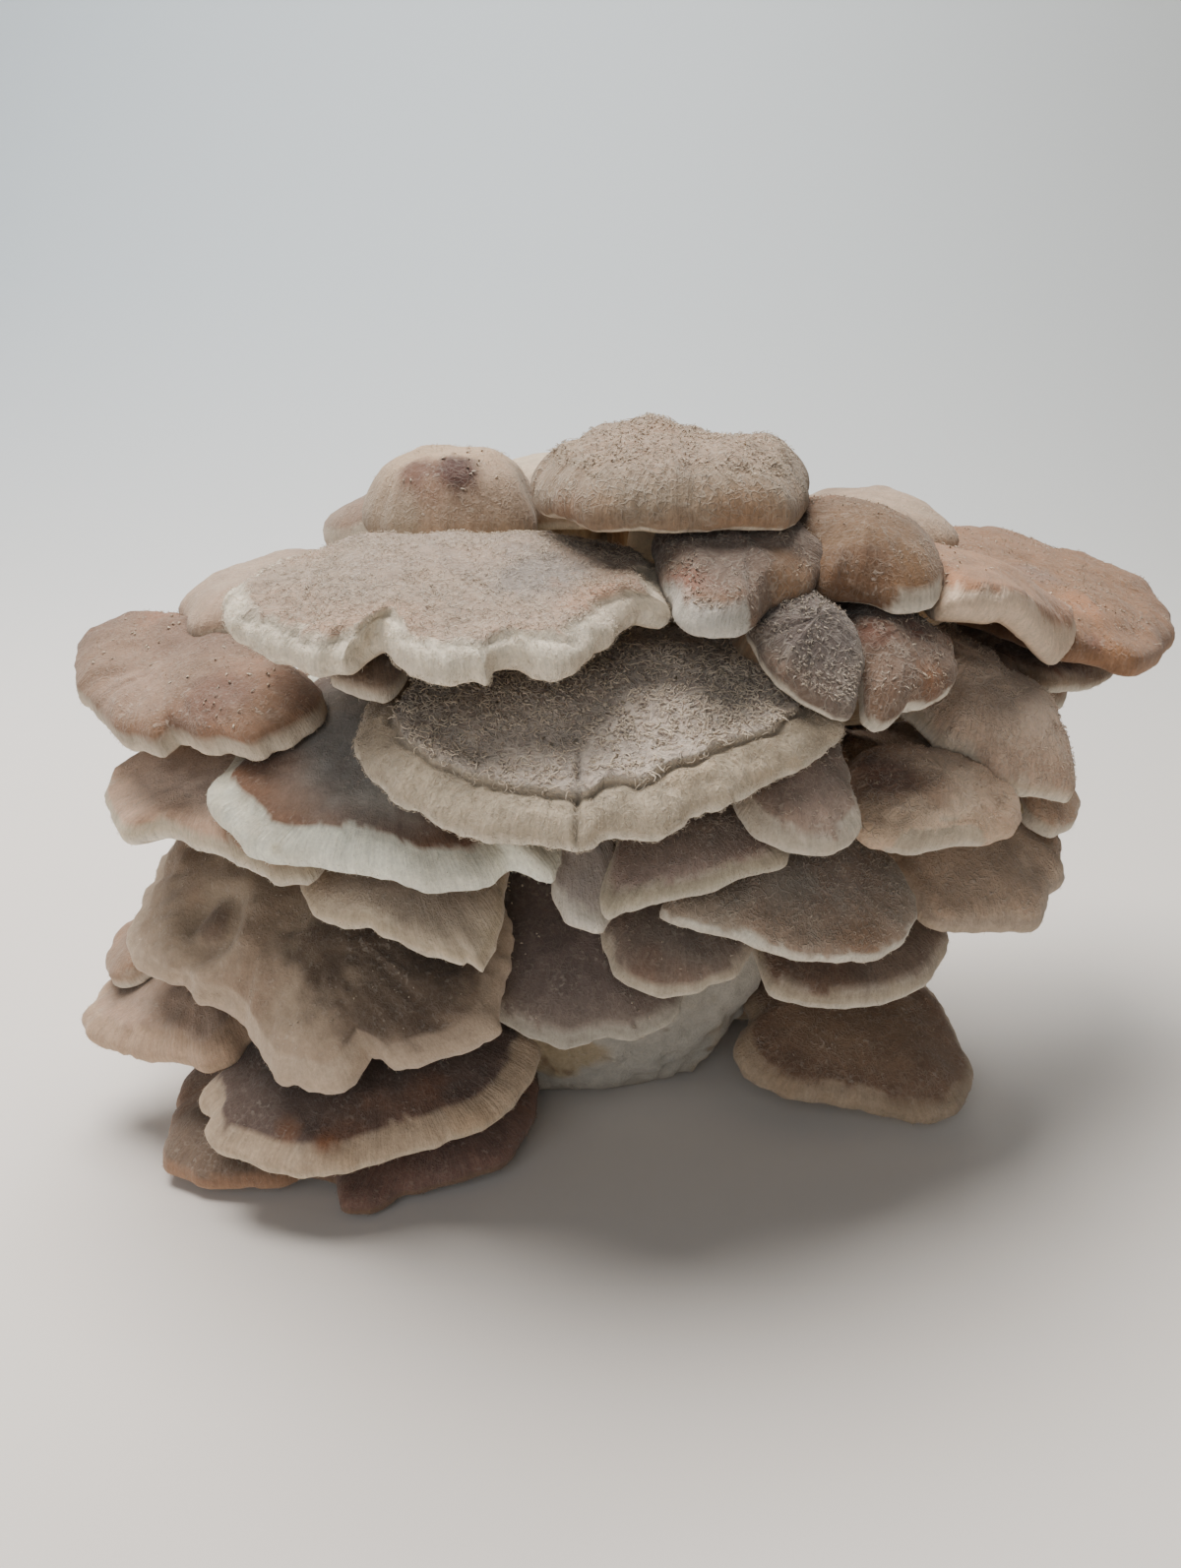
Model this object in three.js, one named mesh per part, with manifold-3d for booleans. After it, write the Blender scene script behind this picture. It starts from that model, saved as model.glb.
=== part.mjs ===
// A shiitake cluster: many mushrooms growing from one rounded block of white
// mycelium. Each mushroom is a single solid (cap, gill side and stem in one),
// the block is another, and every stem ends in the block's surface.
//
// Units: millimetres. +X to the right, +Y to the back, +Z up. The origin is in
// the middle of the flat that the block stands on.
//
// How one mushroom is made. Its rim is a closed loop of points in space. Rings
// are laid from the apex outwards over the crown, round the rolled edge and back
// in under the gill side to the root of the stem. The stem is a second shape
// that is joined to the cap. The crown rises above the rim's surface by
//     rise * (1 - t^fall)      t = 0 at the apex, 1 at the rim
// and the edge is a half circle of radius `roll`.
import * as THREE from 'three';
import Module from 'manifold-3d';

// ---------------------------------------------------------------- dimensions
const GAP = 0.42;                        // room kept between neighbouring solids
const FLOOR_CLEARANCE = 0.3;             // lowest that any cap reaches

const BLOCK_CENTRE = [0, 0, 63];         // middle of the mycelium block
const BLOCK_HALF = [60, 42, 68];         // its half width, half depth, half height
const BLOCK_ROUND = 2.6;                 // superellipsoid exponent, 2 is an ellipsoid
const BLOCK_LUMP = 0.018;                // relative height of its low swellings
const BLOCK_SEGMENTS = 24;               // round the block
const BLOCK_RINGS = 10;                  // from its top to the flat

const CROWN_STEP = 0.52;                 // where the crown's inner ring lies, 0 apex, 1 rim
const SHOULDER = 2.2;                    // crown's outer ring, mm inside the roll
const ROLL_ANGLES = [0.55, -0.75];       // rings round the rolled edge, radians
const ROLL_FULL_LENGTH = 26;             // cap radius from which the roll has its full size
const STEM_FLARE = 1.35;                 // radius of the gill side's flat middle over the stem's
const STEM_SIDES = 8;

// Colours of the plain solids
const BROWN = '#8d7462', TAN = '#a68c72', GREY_BROWN = '#8a7868';
const ORANGE_BROWN = '#a27a58', DARK_BROWN = '#6f5a4c', WHITE = '#d9d3c6';

// ------------------------------------------------------------------ mushrooms
// apex: point of the rim's surface under the crown's top; root: the same under
// the stem; end: where the stem ends, inside the block; stem: its radius.
// Earlier rows lie on top of or in front of later ones and keep their shape
// where two of them meet.
const MUSHROOMS = [
  { name: 'cap_top_centre', normal: [0.002, -0.035, 0.999], apex: [27, -44.7, 172.1], root: [26.3, -35.3, 172.4], end: [12.6, -7.1, 120.9],
    stem: 7, roll: 4.5, rise: 8.5, fall: 3.4,
    rim: [[28.5, -13.1, 173.2], [10.1, -16.5, 173.1], [-2.7, -29.5, 172.7], [-4.5, -48, 172.1], [1.7, -65.6, 171.4], [16.1, -76.5, 171], [34.7, -74.5, 171], [51.7, -68.2, 171.3], [57.6, -50.5, 171.8], [57.4, -32, 172.5], [46.5, -17.3, 173.1]] },
  { name: 'cap_top_left', normal: [-0.007, -0.069, 0.998], apex: [-26.1, -10.5, 160.4], root: [-25.4, -3.8, 160.9], end: [-13, -1, 121.2],
    stem: 7, roll: 4.2, rise: 12.5, fall: 3.2,
    rim: [[-27.7, 12, 162], [-41.2, 7.7, 161.6], [-48, -4.7, 160.7], [-47.8, -18.6, 159.7], [-38, -29.2, 159], [-24.2, -32.1, 158.9], [-10.1, -29.3, 159.3], [-4.7, -17, 160.1], [-5.4, -2.6, 161.1], [-13.8, 8.6, 161.9]] },
  { name: 'cap_front_centre', normal: [0.015, -0.438, 0.899], apex: [8.2, -78.8, 128.5], root: [7.8, -67.9, 133.8], end: [4.2, -19, 115.2],
    stem: 7, roll: 3.6, rise: 6, fall: 2.6,
    rim: [[15.1, -39.8, 135.3], [-3, -41.5, 134.9], [-20.3, -47.1, 134], [-34.1, -58.7, 132.2], [-40.2, -75.4, 129.9], [-41.8, -92.4, 125], [-30.5, -104.9, 118.8], [-14.8, -112.9, 114.6], [3, -115.9, 112.8], [19.9, -111.9, 114.5], [35.5, -104.5, 117.8], [50.3, -94.9, 122.2], [61.9, -83.1, 127.8], [56.9, -66.7, 132.1], [48.7, -50.9, 134.1], [33.1, -42, 135.2]] },
  { name: 'cap_upper_left', normal: [-0.036, -0.256, 0.966], apex: [-22.2, -68.1, 153.6], root: [-20.6, -56.9, 156.7], end: [-10.3, -13.1, 119.2],
    stem: 7, roll: 4, rise: 4, fall: 2.4,
    rim: [[-22.3, -31.3, 154.6], [-39.5, -32.8, 154.1], [-54.9, -40.2, 153.6], [-65.4, -53.6, 152.8], [-70, -70.2, 152.3], [-66.2, -85.8, 148.6], [-53.1, -96.1, 146.4], [-39, -96.1, 146.9], [-28.1, -102.9, 145.5], [-12.8, -105.8, 145.3], [-1.1, -102.6, 146.7], [10.9, -92.1, 149.9], [23.5, -83.6, 152.6], [24.9, -68.3, 154.5], [22.4, -51.4, 154.9], [11.1, -38.6, 155], [-5.1, -33, 154.9]] },
  { name: 'cap_upper_right_inner', normal: [0.083, -0.332, 0.94], apex: [39, -65.4, 158.9], root: [37.2, -58.1, 161.7], end: [17.8, -11.6, 118.7],
    stem: 7, roll: 2.8, rise: 6.5, fall: 2.6,
    rim: [[42, -43, 166.6], [28.3, -46.9, 166.4], [21.5, -58.6, 162.9], [23.1, -72, 158], [25.1, -85.4, 153.1], [34.7, -92, 149.9], [44.2, -82.1, 152.6], [54.9, -73.4, 154.7], [59.8, -60.6, 158.8], [54.5, -48.4, 163.6]] },
  { name: 'cap_right_front_small', normal: [0.149, -0.597, 0.788], apex: [50.3, -80.3, 118.4], root: [48.8, -74.4, 123.2], end: [26.3, -21.6, 107.6],
    stem: 7, roll: 2.5, rise: 6, fall: 2,
    rim: [[47.1, -60.2, 134.3], [38.1, -66.9, 130.9], [36.7, -77, 123.5], [38.1, -86.9, 115.7], [42.5, -95.8, 108.2], [54, -97.8, 104.5], [65.2, -93.4, 105.7], [64.5, -83.5, 113.3], [61.5, -74, 121.1], [56.7, -65.1, 128.7]] },
  { name: 'cap_right_front_low', normal: [0.161, -0.441, 0.883], apex: [50.6, -62.9, 90.8], root: [47.2, -53.6, 96.1], end: [32.2, -27.3, 85.3],
    stem: 7, roll: 2.5, rise: 7, fall: 2.2,
    rim: [[43.7, -31.2, 107.8], [27.5, -37.4, 107.7], [21.8, -52.6, 101.1], [24.1, -68.2, 93], [25.1, -83.2, 85.3], [38.2, -87.5, 80.8], [54.8, -91.5, 75.7], [72.1, -87.9, 74.4], [83.4, -75.6, 78.5], [79, -60.7, 86.7], [71.3, -46.9, 95.1], [59.9, -35.7, 102.7]] },
  { name: 'cap_right_torn', normal: [0.235, -0.442, 0.866], apex: [85.9, -66.5, 104.5], root: [83.9, -62.7, 107], end: [43.6, -16.3, 90.7],
    stem: 7, roll: 2.6, rise: 6, fall: 2,
    rim: [[90.1, -52.6, 110.4], [78.4, -54.8, 112.5], [68.5, -61.1, 112], [68.7, -71.4, 106.7], [69.3, -81.7, 101.2], [80.6, -81.2, 98.5], [91.4, -76, 98.2], [102.6, -71.7, 97.4], [107.8, -62.3, 100.7], [101.1, -54.6, 106.4]] },
  { name: 'cap_right_shoulder_inner', normal: [0.211, -0.579, 0.788], apex: [53.5, -77.1, 144], root: [51.8, -72.5, 147.8], end: [24.5, -13.8, 115.6],
    stem: 7, roll: 2.6, rise: 5, fall: 2.2,
    rim: [[51.3, -61.1, 152.4], [42.7, -65.4, 151.9], [40.8, -74.3, 148.4], [42.9, -83.1, 144.4], [48.9, -88.7, 138.8], [57, -92, 134.2], [63.7, -89.1, 134.5], [66, -81, 139.9], [63.9, -73.2, 145.6], [59.5, -65.3, 149.4]] },
  { name: 'cap_right_shoulder_mid', normal: [0.276, -0.519, 0.809], apex: [73.8, -66.7, 138.7], root: [71.6, -62.6, 142.1], end: [32, -9.4, 113.1],
    stem: 7, roll: 2.6, rise: 5.5, fall: 2.2,
    rim: [[72, -48.7, 146.3], [62.6, -54, 145.9], [60.4, -64.1, 142.5], [63.5, -73.9, 138.4], [66.6, -82.9, 132.9], [72.4, -85.5, 129.2], [80.4, -78.3, 131.1], [87.9, -70.8, 133.4], [87.5, -61.5, 139.1], [81.4, -53.1, 143]] },
  { name: 'cap_upper_right_outer', normal: [0.129, -0.243, 0.961], apex: [68.4, -50.6, 157.9], root: [65, -44.3, 160], end: [29.1, -6.6, 115.8],
    stem: 7, roll: 2.8, rise: 8, fall: 2.6,
    rim: [[64.8, -28.5, 164], [52.4, -33.9, 164.3], [48.9, -46.5, 161.6], [53, -59, 157.8], [58.1, -71.2, 154.1], [71.1, -70.4, 152.6], [83.4, -68.6, 151.3], [88, -56.1, 153.9], [85.8, -43.3, 157.5], [77, -33.4, 161.1]] },
  { name: 'cap_right_middle', normal: [0.383, -0.321, 0.866], apex: [95.8, -33.2, 119.2], root: [87.6, -26.4, 125.3], end: [39.8, -4.2, 106.8],
    stem: 7, roll: 3, rise: 13, fall: 2.2,
    rim: [[77.7, -8, 136.6], [63.3, -16.9, 139.6], [68.3, -32.1, 131.8], [79.1, -43.7, 122.7], [89.9, -55.2, 113.6], [102.9, -60.7, 105.8], [119.5, -55.3, 100.5], [125.8, -40.7, 103.1], [121.2, -26.7, 110.4], [107.9, -18, 119.5], [93.7, -10.8, 128.4]] },
  { name: 'cap_right_curled', normal: [0.387, -0.206, 0.899], apex: [97.1, -35.2, 144.8], root: [90.2, -31.6, 148.6], end: [35.7, -2.2, 110.8],
    stem: 7, roll: 4, rise: 7, fall: 2.4,
    rim: [[99.1, -12.7, 141.3], [83.2, -17, 146.3], [70, -26.7, 151.5], [68.3, -42.2, 154.3], [81.7, -52.7, 152.2], [88.1, -67.4, 150.9], [102.2, -58.2, 147.7], [112.8, -46.9, 140.4], [121.6, -35.2, 131.2], [129.7, -21.7, 133], [115.7, -14.3, 137]] },
  { name: 'cap_front_left', normal: [-0.11, -0.441, 0.891], apex: [-34.7, -67.9, 113.6], root: [-32.2, -57.9, 118.8], end: [-20.1, -24.3, 106.1],
    stem: 7, roll: 3.3, rise: 7, fall: 2,
    rim: [[-41.3, -31.5, 130.8], [-57.4, -35.9, 126.6], [-68.5, -47.4, 119.6], [-74.5, -61.8, 111.7], [-76.3, -76.1, 104.4], [-65.4, -88.3, 99.7], [-48.7, -93.4, 99.3], [-32.1, -98.8, 98.6], [-15.4, -103.1, 98.5], [-1.2, -102.4, 100.6], [2.7, -88.8, 107.9], [3.9, -73.2, 115.7], [0.1, -57.7, 122.9], [-9.4, -44.2, 128.4], [-24.2, -35.3, 131]] },
  { name: 'cap_mid_front', normal: [0.065, -0.465, 0.883], apex: [29.1, -78.9, 105.3], root: [28.1, -71.7, 109.2], end: [17.1, -28.7, 96],
    stem: 7, roll: 2.8, rise: 5, fall: 2.2,
    rim: [[29, -54.5, 118.2], [16.2, -61.8, 115.4], [12.8, -75.4, 108.4], [13.5, -89.3, 101.1], [11, -102.9, 94], [24.9, -100.3, 94.5], [39, -93.7, 96.8], [51.5, -87.2, 99.4], [47.1, -74.1, 106.6], [41.6, -61.3, 113.7]] },
  { name: 'cap_narrow_front', normal: [0.0, -0.574, 0.819], apex: [6.4, -79, 99.5], root: [6.4, -72.2, 104.2], end: [4, -30.3, 91.5],
    stem: 7, roll: 2.5, rise: 6, fall: 2,
    rim: [[6, -56.5, 115.3], [1.4, -64.4, 109.7], [0.3, -73.6, 103.3], [0.1, -82.9, 96.8], [0.1, -92.1, 90.3], [7.5, -98.6, 85.7], [12.9, -92.1, 90.3], [12.8, -82.8, 96.8], [12.3, -73.5, 103.3], [11, -64.3, 109.7]] },
  { name: 'cap_lower_left', normal: [-0.204, -0.505, 0.839], apex: [-58.8, -51.6, 66.7], root: [-54.6, -41.4, 73.8], end: [-40.1, -24.4, 64.8],
    stem: 7, roll: 2.8, rise: 11, fall: 2.2,
    rim: [[-79.5, -8.6, 87.5], [-95.4, -13.2, 80.9], [-104.1, -26, 71], [-108.7, -40.6, 61.1], [-103.1, -55.1, 53.8], [-87.9, -65, 51.6], [-73.3, -75.6, 48.6], [-63, -89.3, 43], [-46.4, -92, 45.4], [-33.1, -92.1, 48.5], [-16, -89.5, 54.3], [-11.5, -76.2, 63.4], [-11.5, -60.6, 72.7], [-19.2, -45.7, 79.8], [-31.4, -32.9, 84.5], [-46, -22.1, 87.5], [-62, -13.4, 88.9]] },
  { name: 'cap_left_upper', normal: [-0.231, -0.295, 0.927], apex: [-89.1, -41.2, 124.8], root: [-84.9, -35.8, 127.6], end: [-38, -5.4, 108.9],
    stem: 7, roll: 3.4, rise: 6, fall: 2.6,
    rim: [[-108.4, -3, 130.7], [-122.7, -11.2, 127.1], [-120.9, -27.7, 122.2], [-113.2, -43.3, 119.2], [-103.5, -57.8, 117], [-89.8, -68.2, 117.1], [-77.9, -71.8, 119], [-62.7, -77.5, 120.9], [-52.1, -66.1, 125], [-57.7, -49.7, 126.5], [-67.9, -35.4, 127.8], [-79.6, -22.3, 129], [-92.6, -10.4, 130.1]] },
  { name: 'cap_left_middle', normal: [-0.196, -0.28, 0.94], apex: [-73.4, -47.8, 103.2], root: [-68.2, -40.3, 106.5], end: [-42.5, -16.9, 93.7],
    stem: 7, roll: 3.2, rise: 4, fall: 2.2,
    rim: [[-76.9, -12.3, 113], [-93.3, -17.1, 108.1], [-105.2, -29.2, 102.1], [-111.7, -42.9, 96.7], [-104, -58.8, 93.5], [-88.6, -65.5, 94.8], [-74.7, -76.9, 94.2], [-60.6, -88.2, 93.8], [-48.5, -80.6, 98.6], [-41.8, -65, 104.7], [-41.2, -47.8, 109.9], [-48, -31.6, 113.3], [-60.5, -18.8, 114.5]] },
  { name: 'cap_right_outer', normal: [0.252, -0.112, 0.961], apex: [132.3, 25, 131.9], root: [121, 30, 135.4], end: [42.3, 0, 108],
    stem: 7, roll: 3.2, rise: 7, fall: 2.3,
    rim: [[137.6, 71.2, 135.9], [121, 67.5, 139.8], [106.6, 58, 142.4], [96, 44.2, 143.7], [89, 28.2, 143.6], [88.1, 10.9, 141.8], [95.2, -4.5, 138.1], [107.8, -15.7, 133.6], [122.5, -23.9, 128.8], [138.5, -21.8, 124.8], [152.4, -15.4, 121.9], [161.9, -0.7, 121.1], [169.3, 15.2, 121], [173.1, 32.2, 122], [174.2, 49.5, 123.8], [170.5, 65.2, 126.6], [154.4, 69.9, 131.3]] },
  { name: 'cap_lower_front_right', normal: [0.078, -0.554, 0.829], apex: [27, -68.6, 79.7], root: [26, -61.8, 84.3], end: [17.7, -31.5, 73.5],
    stem: 7, roll: 2.5, rise: 5, fall: 2.3,
    rim: [[24.8, -46, 95], [13, -52.2, 92], [9.7, -63.9, 84.4], [10.3, -75.9, 76.3], [14.7, -87, 68.5], [28.1, -89.4, 65.7], [41.3, -84.1, 67.9], [46.4, -73.1, 74.8], [43.4, -61.4, 82.9], [37.1, -50.9, 90.6]] },
  { name: 'cap_mid_lower_left', normal: [-0.104, -0.489, 0.866], apex: [-32.3, -69.7, 91.8], root: [-30.7, -62.2, 96.2], end: [-20.5, -30.5, 85],
    stem: 7, roll: 2.9, rise: 4, fall: 2.2,
    rim: [[-35.9, -43, 106.4], [-49.7, -50.9, 100.3], [-55.3, -65.2, 91.6], [-55.7, -79.6, 83.4], [-40.3, -86.4, 81.4], [-25.2, -95, 78.3], [-13.3, -94.2, 80.2], [-10.8, -79, 89.1], [-11.8, -63.6, 97.7], [-20, -49.8, 104.5]] },
  { name: 'cap_low_centre', normal: [0.022, -0.642, 0.766], apex: [5.2, -53.6, 64.4], root: [4.9, -45.6, 71.2], end: [4, -32.8, 65],
    stem: 7, roll: 2.6, rise: 7, fall: 2.4,
    rim: [[-0.9, -26.8, 87], [-13.4, -36.2, 79.6], [-15, -50.5, 67.6], [-19.9, -64.2, 56.2], [-8.4, -74.5, 47.3], [9, -74.8, 46.5], [26.9, -71.5, 48.7], [30, -58, 60], [26.1, -44, 71.9], [16, -32.2, 82]] },
  { name: 'cap_right_low', normal: [0.254, -0.376, 0.891], apex: [99.4, -29.7, 83.3], root: [93.6, -21.2, 88.6], end: [50.4, -6.1, 73],
    stem: 7, roll: 2.6, rise: 8, fall: 2.2,
    rim: [[93, 4.2, 99.5], [77.7, -3.7, 100.5], [71.1, -19, 95.9], [73.3, -34.8, 88.6], [79.8, -49.2, 80.6], [87.8, -62.8, 72.6], [103.5, -61.6, 68.7], [119, -54.5, 67.2], [127.5, -39.7, 71.1], [129.7, -23.9, 77.1], [120.1, -11.4, 85.1], [108.3, -0.9, 93]] },
  { name: 'cap_foot_left', normal: [-0.059, -0.337, 0.94], apex: [-44.3, -54.4, 33.8], root: [-42.2, -42.3, 38.3], end: [-30.9, -24.9, 30],
    stem: 7, roll: 3, rise: 8, fall: 2.4,
    rim: [[-34, -14.8, 48.6], [-51.2, -17.5, 46.6], [-65.9, -26.1, 42.6], [-75.9, -39.5, 37.1], [-80.9, -55.3, 31.2], [-87.8, -70.1, 25.4], [-81.5, -84.4, 20.7], [-64.8, -90, 19.7], [-47.5, -90.4, 20.7], [-30.7, -86.1, 23.3], [-15.5, -78.1, 27.1], [-5.5, -64.9, 32.5], [-6.7, -49, 38.1], [-7.2, -32.4, 44], [-17, -18.9, 48.2]] },
  { name: 'cap_right_lowest_front', normal: [0.178, -0.401, 0.899], apex: [68.2, -42.5, 66.1], root: [64.4, -34, 70.6], end: [45.6, -18.7, 60.7],
    stem: 7, roll: 2.5, rise: 6, fall: 2.4,
    rim: [[64.3, -12.3, 80.3], [48.3, -18.5, 80.7], [42, -33.5, 75.3], [44.6, -49.1, 67.8], [49.4, -64.3, 60.1], [61.2, -72.7, 54], [78, -68.2, 52.7], [92.1, -58, 54.4], [98, -43.3, 59.8], [90.5, -29.3, 67.5], [79.8, -17.6, 74.8]] },
  { name: 'cap_foot_right', normal: [0.117, -0.406, 0.906], apex: [78.3, -16.7, 21.5], root: [75.2, -6.1, 26.6], end: [41, -1.8, 20.6],
    stem: 7, roll: 2.6, rise: 8, fall: 2.3,
    rim: [[68.9, 18, 38.3], [53.1, 11.9, 37.5], [48.6, -3.6, 31.2], [51.6, -19.2, 23.8], [47.3, -34.3, 17.6], [59.6, -44, 11.6], [76.9, -45.1, 9], [94.2, -46.5, 6.1], [109.2, -39.3, 7.4], [112.2, -24.3, 13.7], [106.6, -9.4, 21.1], [98.3, 4.2, 28.3], [85.5, 14.5, 34.6]] },
  { name: 'cap_foot_front', normal: [0.015, -0.138, 0.99], apex: [-35.7, -42.6, 9.4], root: [-36.9, -31.1, 11.1], end: [-26.6, -17.7, 14],
    stem: 7, roll: 2.4, rise: 5, fall: 2.2,
    rim: [[-25.5, -2.8, 14.9], [-41.7, -8.6, 14.3], [-54.9, -19.9, 12.9], [-63.1, -35.1, 10.9], [-66.5, -52.1, 8.6], [-65.7, -69.2, 6.2], [-54, -79.5, 4.6], [-40.9, -78.5, 4.4], [-25, -72, 5.2], [-11.6, -61.9, 6.4], [-6, -45.6, 8.5], [-6.5, -28.3, 11], [-11.5, -11.9, 13.4]] },
  { name: 'cap_left_low', normal: [-0.312, -0.261, 0.913], apex: [-90.1, -33.7, 41.5], root: [-82.6, -27.4, 45.8], end: [-45.5, -8.5, 30.7],
    stem: 7, roll: 2.8, rise: 6, fall: 2.2,
    rim: [[-82, -5.2, 52.4], [-98.3, -7.7, 46.1], [-112.7, -15.2, 39.1], [-125.2, -25.4, 31.9], [-124.4, -40.8, 27.7], [-110.7, -51.8, 29.2], [-95.4, -60.2, 32.1], [-80.9, -66.4, 35.2], [-70.2, -54.4, 42.3], [-59.9, -42, 49.4], [-56.4, -25.9, 55.1], [-66.2, -11.7, 55.9]] },
  { name: 'cap_under_upper_left', normal: [-0.059, -0.337, 0.94], apex: [-37.7, -71.4, 144.5], root: [-36.5, -64.7, 147], end: [-18.2, -14.9, 117],
    stem: 7, roll: 3, rise: 4, fall: 2.2,
    rim: [[-35.1, -48.6, 152.9], [-41.4, -56.1, 149.8], [-44.5, -65.8, 146.2], [-47, -75.5, 142.5], [-46.8, -85.3, 139], [-38.2, -91.5, 137.3], [-32, -86.9, 139.4], [-30.6, -76.9, 143], [-29.7, -66.8, 146.7], [-30, -56.7, 150.3]] },
  { name: 'cap_top_rear', normal: [-0.003, -0.035, 0.999], apex: [2.2, 19.2, 158.7], root: [2.8, 26, 159], end: [1.5, 6.8, 121.3],
    stem: 7, roll: 4, rise: 9, fall: 2.8,
    rim: [[1.7, 41.9, 159.5], [-13.7, 36.8, 159.3], [-20.9, 22.2, 158.7], [-20.2, 6.3, 158.3], [-5.7, -1.2, 158], [10.9, -1.1, 158.1], [24.6, 7.2, 158.4], [25.7, 23.6, 158.9], [17.5, 37.5, 159.5]] },
  { name: 'cap_left_rear_upper', normal: [-0.234, -0.063, 0.97], apex: [-73.6, -12.2, 138.8], root: [-66.8, -10.4, 140.5], end: [-31.6, -2, 114.2],
    stem: 7, roll: 4, rise: 6, fall: 2.6,
    rim: [[-70.6, 12.5, 141.1], [-85.8, 10.3, 137.3], [-94.5, -1.6, 134.4], [-96.1, -16, 133.1], [-91, -30.9, 133.4], [-77.1, -35.8, 136.4], [-62.3, -34.2, 140.1], [-51.4, -23.8, 143.4], [-50.4, -8.3, 144.6], [-57, 5.9, 144]] },
  { name: 'cap_left_low_rear', normal: [-0.397, -0.144, 0.906], apex: [-104.3, -21.7, 49.6], root: [-98.2, -19.5, 52.6], end: [-47.8, -4.1, 35.2],
    stem: 7, roll: 2.6, rise: 5, fall: 2.2,
    rim: [[-92.4, -8.7, 56.9], [-103, -9.4, 52.1], [-113.4, -11.7, 47.2], [-122.6, -16.3, 42.4], [-121.5, -27.8, 41.1], [-116.1, -38, 41.8], [-106, -35.7, 46.6], [-96.7, -30.7, 51.5], [-88, -24.5, 56.3], [-83.9, -14.7, 59.7]] },
  { name: 'cap_foot_left_outer', normal: [-0.104, -0.18, 0.978], apex: [-76.5, -42.7, 12], root: [-71.4, -33.9, 14.1], end: [-37, -8.8, 17],
    stem: 7, roll: 2.5, rise: 6, fall: 2.2,
    rim: [[-71.9, -7.4, 19], [-87.3, -14.8, 15.9], [-98, -28.4, 12.3], [-102.7, -44.5, 8.9], [-100.7, -61.8, 5.9], [-88.5, -72.9, 5.1], [-71.2, -75.9, 6.4], [-59.1, -65.4, 9.6], [-52.6, -49.4, 13.3], [-50.7, -32.2, 16.7], [-57.1, -16.1, 18.9]] },
  { name: 'cap_right_middle_under', normal: [0.312, -0.261, 0.913], apex: [115.5, -24, 94.7], root: [109.7, -19.2, 98.1], end: [49.8, -3.1, 79.6],
    stem: 7, roll: 3, rise: 5, fall: 2.2,
    rim: [[97.7, -7.1, 105.6], [98.1, -15.5, 103], [105.5, -23.4, 98.3], [113.6, -30.3, 93.6], [118.9, -39.5, 89.1], [128.2, -39.6, 85.9], [133.5, -29.5, 87], [125.9, -22.2, 91.7], [117.1, -16, 96.4], [108, -10.3, 101.2]] },
  { name: 'cap_right_outer_under', normal: [0.18, -0.104, 0.978], apex: [118.2, -0.9, 122.5], root: [110.1, 3.7, 124.5], end: [42.1, 0.2, 103.6],
    stem: 7, roll: 2.4, rise: 4, fall: 2.2,
    rim: [[102.9, 19.1, 127.5], [88.9, 11.9, 129.3], [93.2, -2.5, 126.9], [105.5, -12.8, 123.6], [119, -21.4, 120.2], [131.4, -21.6, 117.9], [143.4, -10.5, 116.9], [147.9, 3.7, 117.6], [133.7, 11, 121], [118.7, 16.6, 124.3]] },
  { name: 'cap_right_rear_upper', normal: [0.052, -0.09, 0.995], apex: [82.2, 14, 151.3], root: [78.8, 19.8, 152], end: [33.2, 2.2, 112.8],
    stem: 7, roll: 3, rise: 8, fall: 2.6,
    rim: [[83.1, 37.1, 153.4], [69.6, 32.4, 153.6], [60.4, 21.6, 153.1], [60.8, 7.4, 151.7], [67.4, -5.3, 150.3], [80.9, -8.3, 149.3], [94.4, -2.9, 149.1], [105.2, 6.1, 149.3], [104.4, 20.3, 150.8], [96.3, 32, 152.3]] },
  { name: 'cap_right_side_small', normal: [0.33, -0.088, 0.94], apex: [111.3, -6.7, 119.8], root: [105, -4.9, 122.2], end: [42.9, -0.4, 102.1],
    stem: 7, roll: 3.4, rise: 6, fall: 2.2,
    rim: [[105.3, 10.5, 123.5], [94, 6.1, 127], [89.6, -5.6, 127.5], [94.9, -16.5, 124.6], [105.5, -22.2, 120.3], [117.2, -24.7, 116], [127.9, -18.5, 112.8], [133.3, -7.5, 112], [127.8, 3.7, 114.9], [117.2, 8.9, 119.1]] },
  { name: 'cap_rear_foot_right', normal: [0.256, 0.103, 0.961], apex: [70, 20.8, 15.5], root: [62.8, 17.9, 17.7], end: [38.3, 7.2, 17.9],
    stem: 7, roll: 3.4, rise: 7, fall: 2.2,
    rim: [[67.8, 52.5, 12.7], [50, 43.9, 18.3], [42.5, 25.9, 22.3], [48.4, 6.3, 22.8], [62.5, -8.1, 20.7], [81.8, -6.6, 15.4], [97.2, 5, 10], [95.2, 25.4, 8.3], [85.1, 43, 9.1]] },
  { name: 'cap_rear_foot_mid_right', normal: [0.137, 0.258, 0.956], apex: [39.1, 51.2, 14.4], root: [35.2, 43.8, 16.9], end: [23.7, 21.9, 17.5],
    stem: 7, roll: 3.6, rise: 8, fall: 2.2,
    rim: [[22.8, 78.3, 9.5], [6.8, 66, 15], [7.2, 45.1, 20.6], [23.3, 30, 22.4], [44.2, 22.1, 21.4], [64.4, 28.4, 16.9], [73.8, 47.3, 10.5], [64.2, 67, 6.5], [45, 76.9, 6.5]] },
  { name: 'cap_rear_foot_mid_left', normal: [-0.054, 0.253, 0.966], apex: [-14, 59, 14.4], root: [-12.2, 50.8, 16.6], end: [-8.1, 24.4, 17.4],
    stem: 7, roll: 3.5, rise: 7, fall: 2.2,
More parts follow.
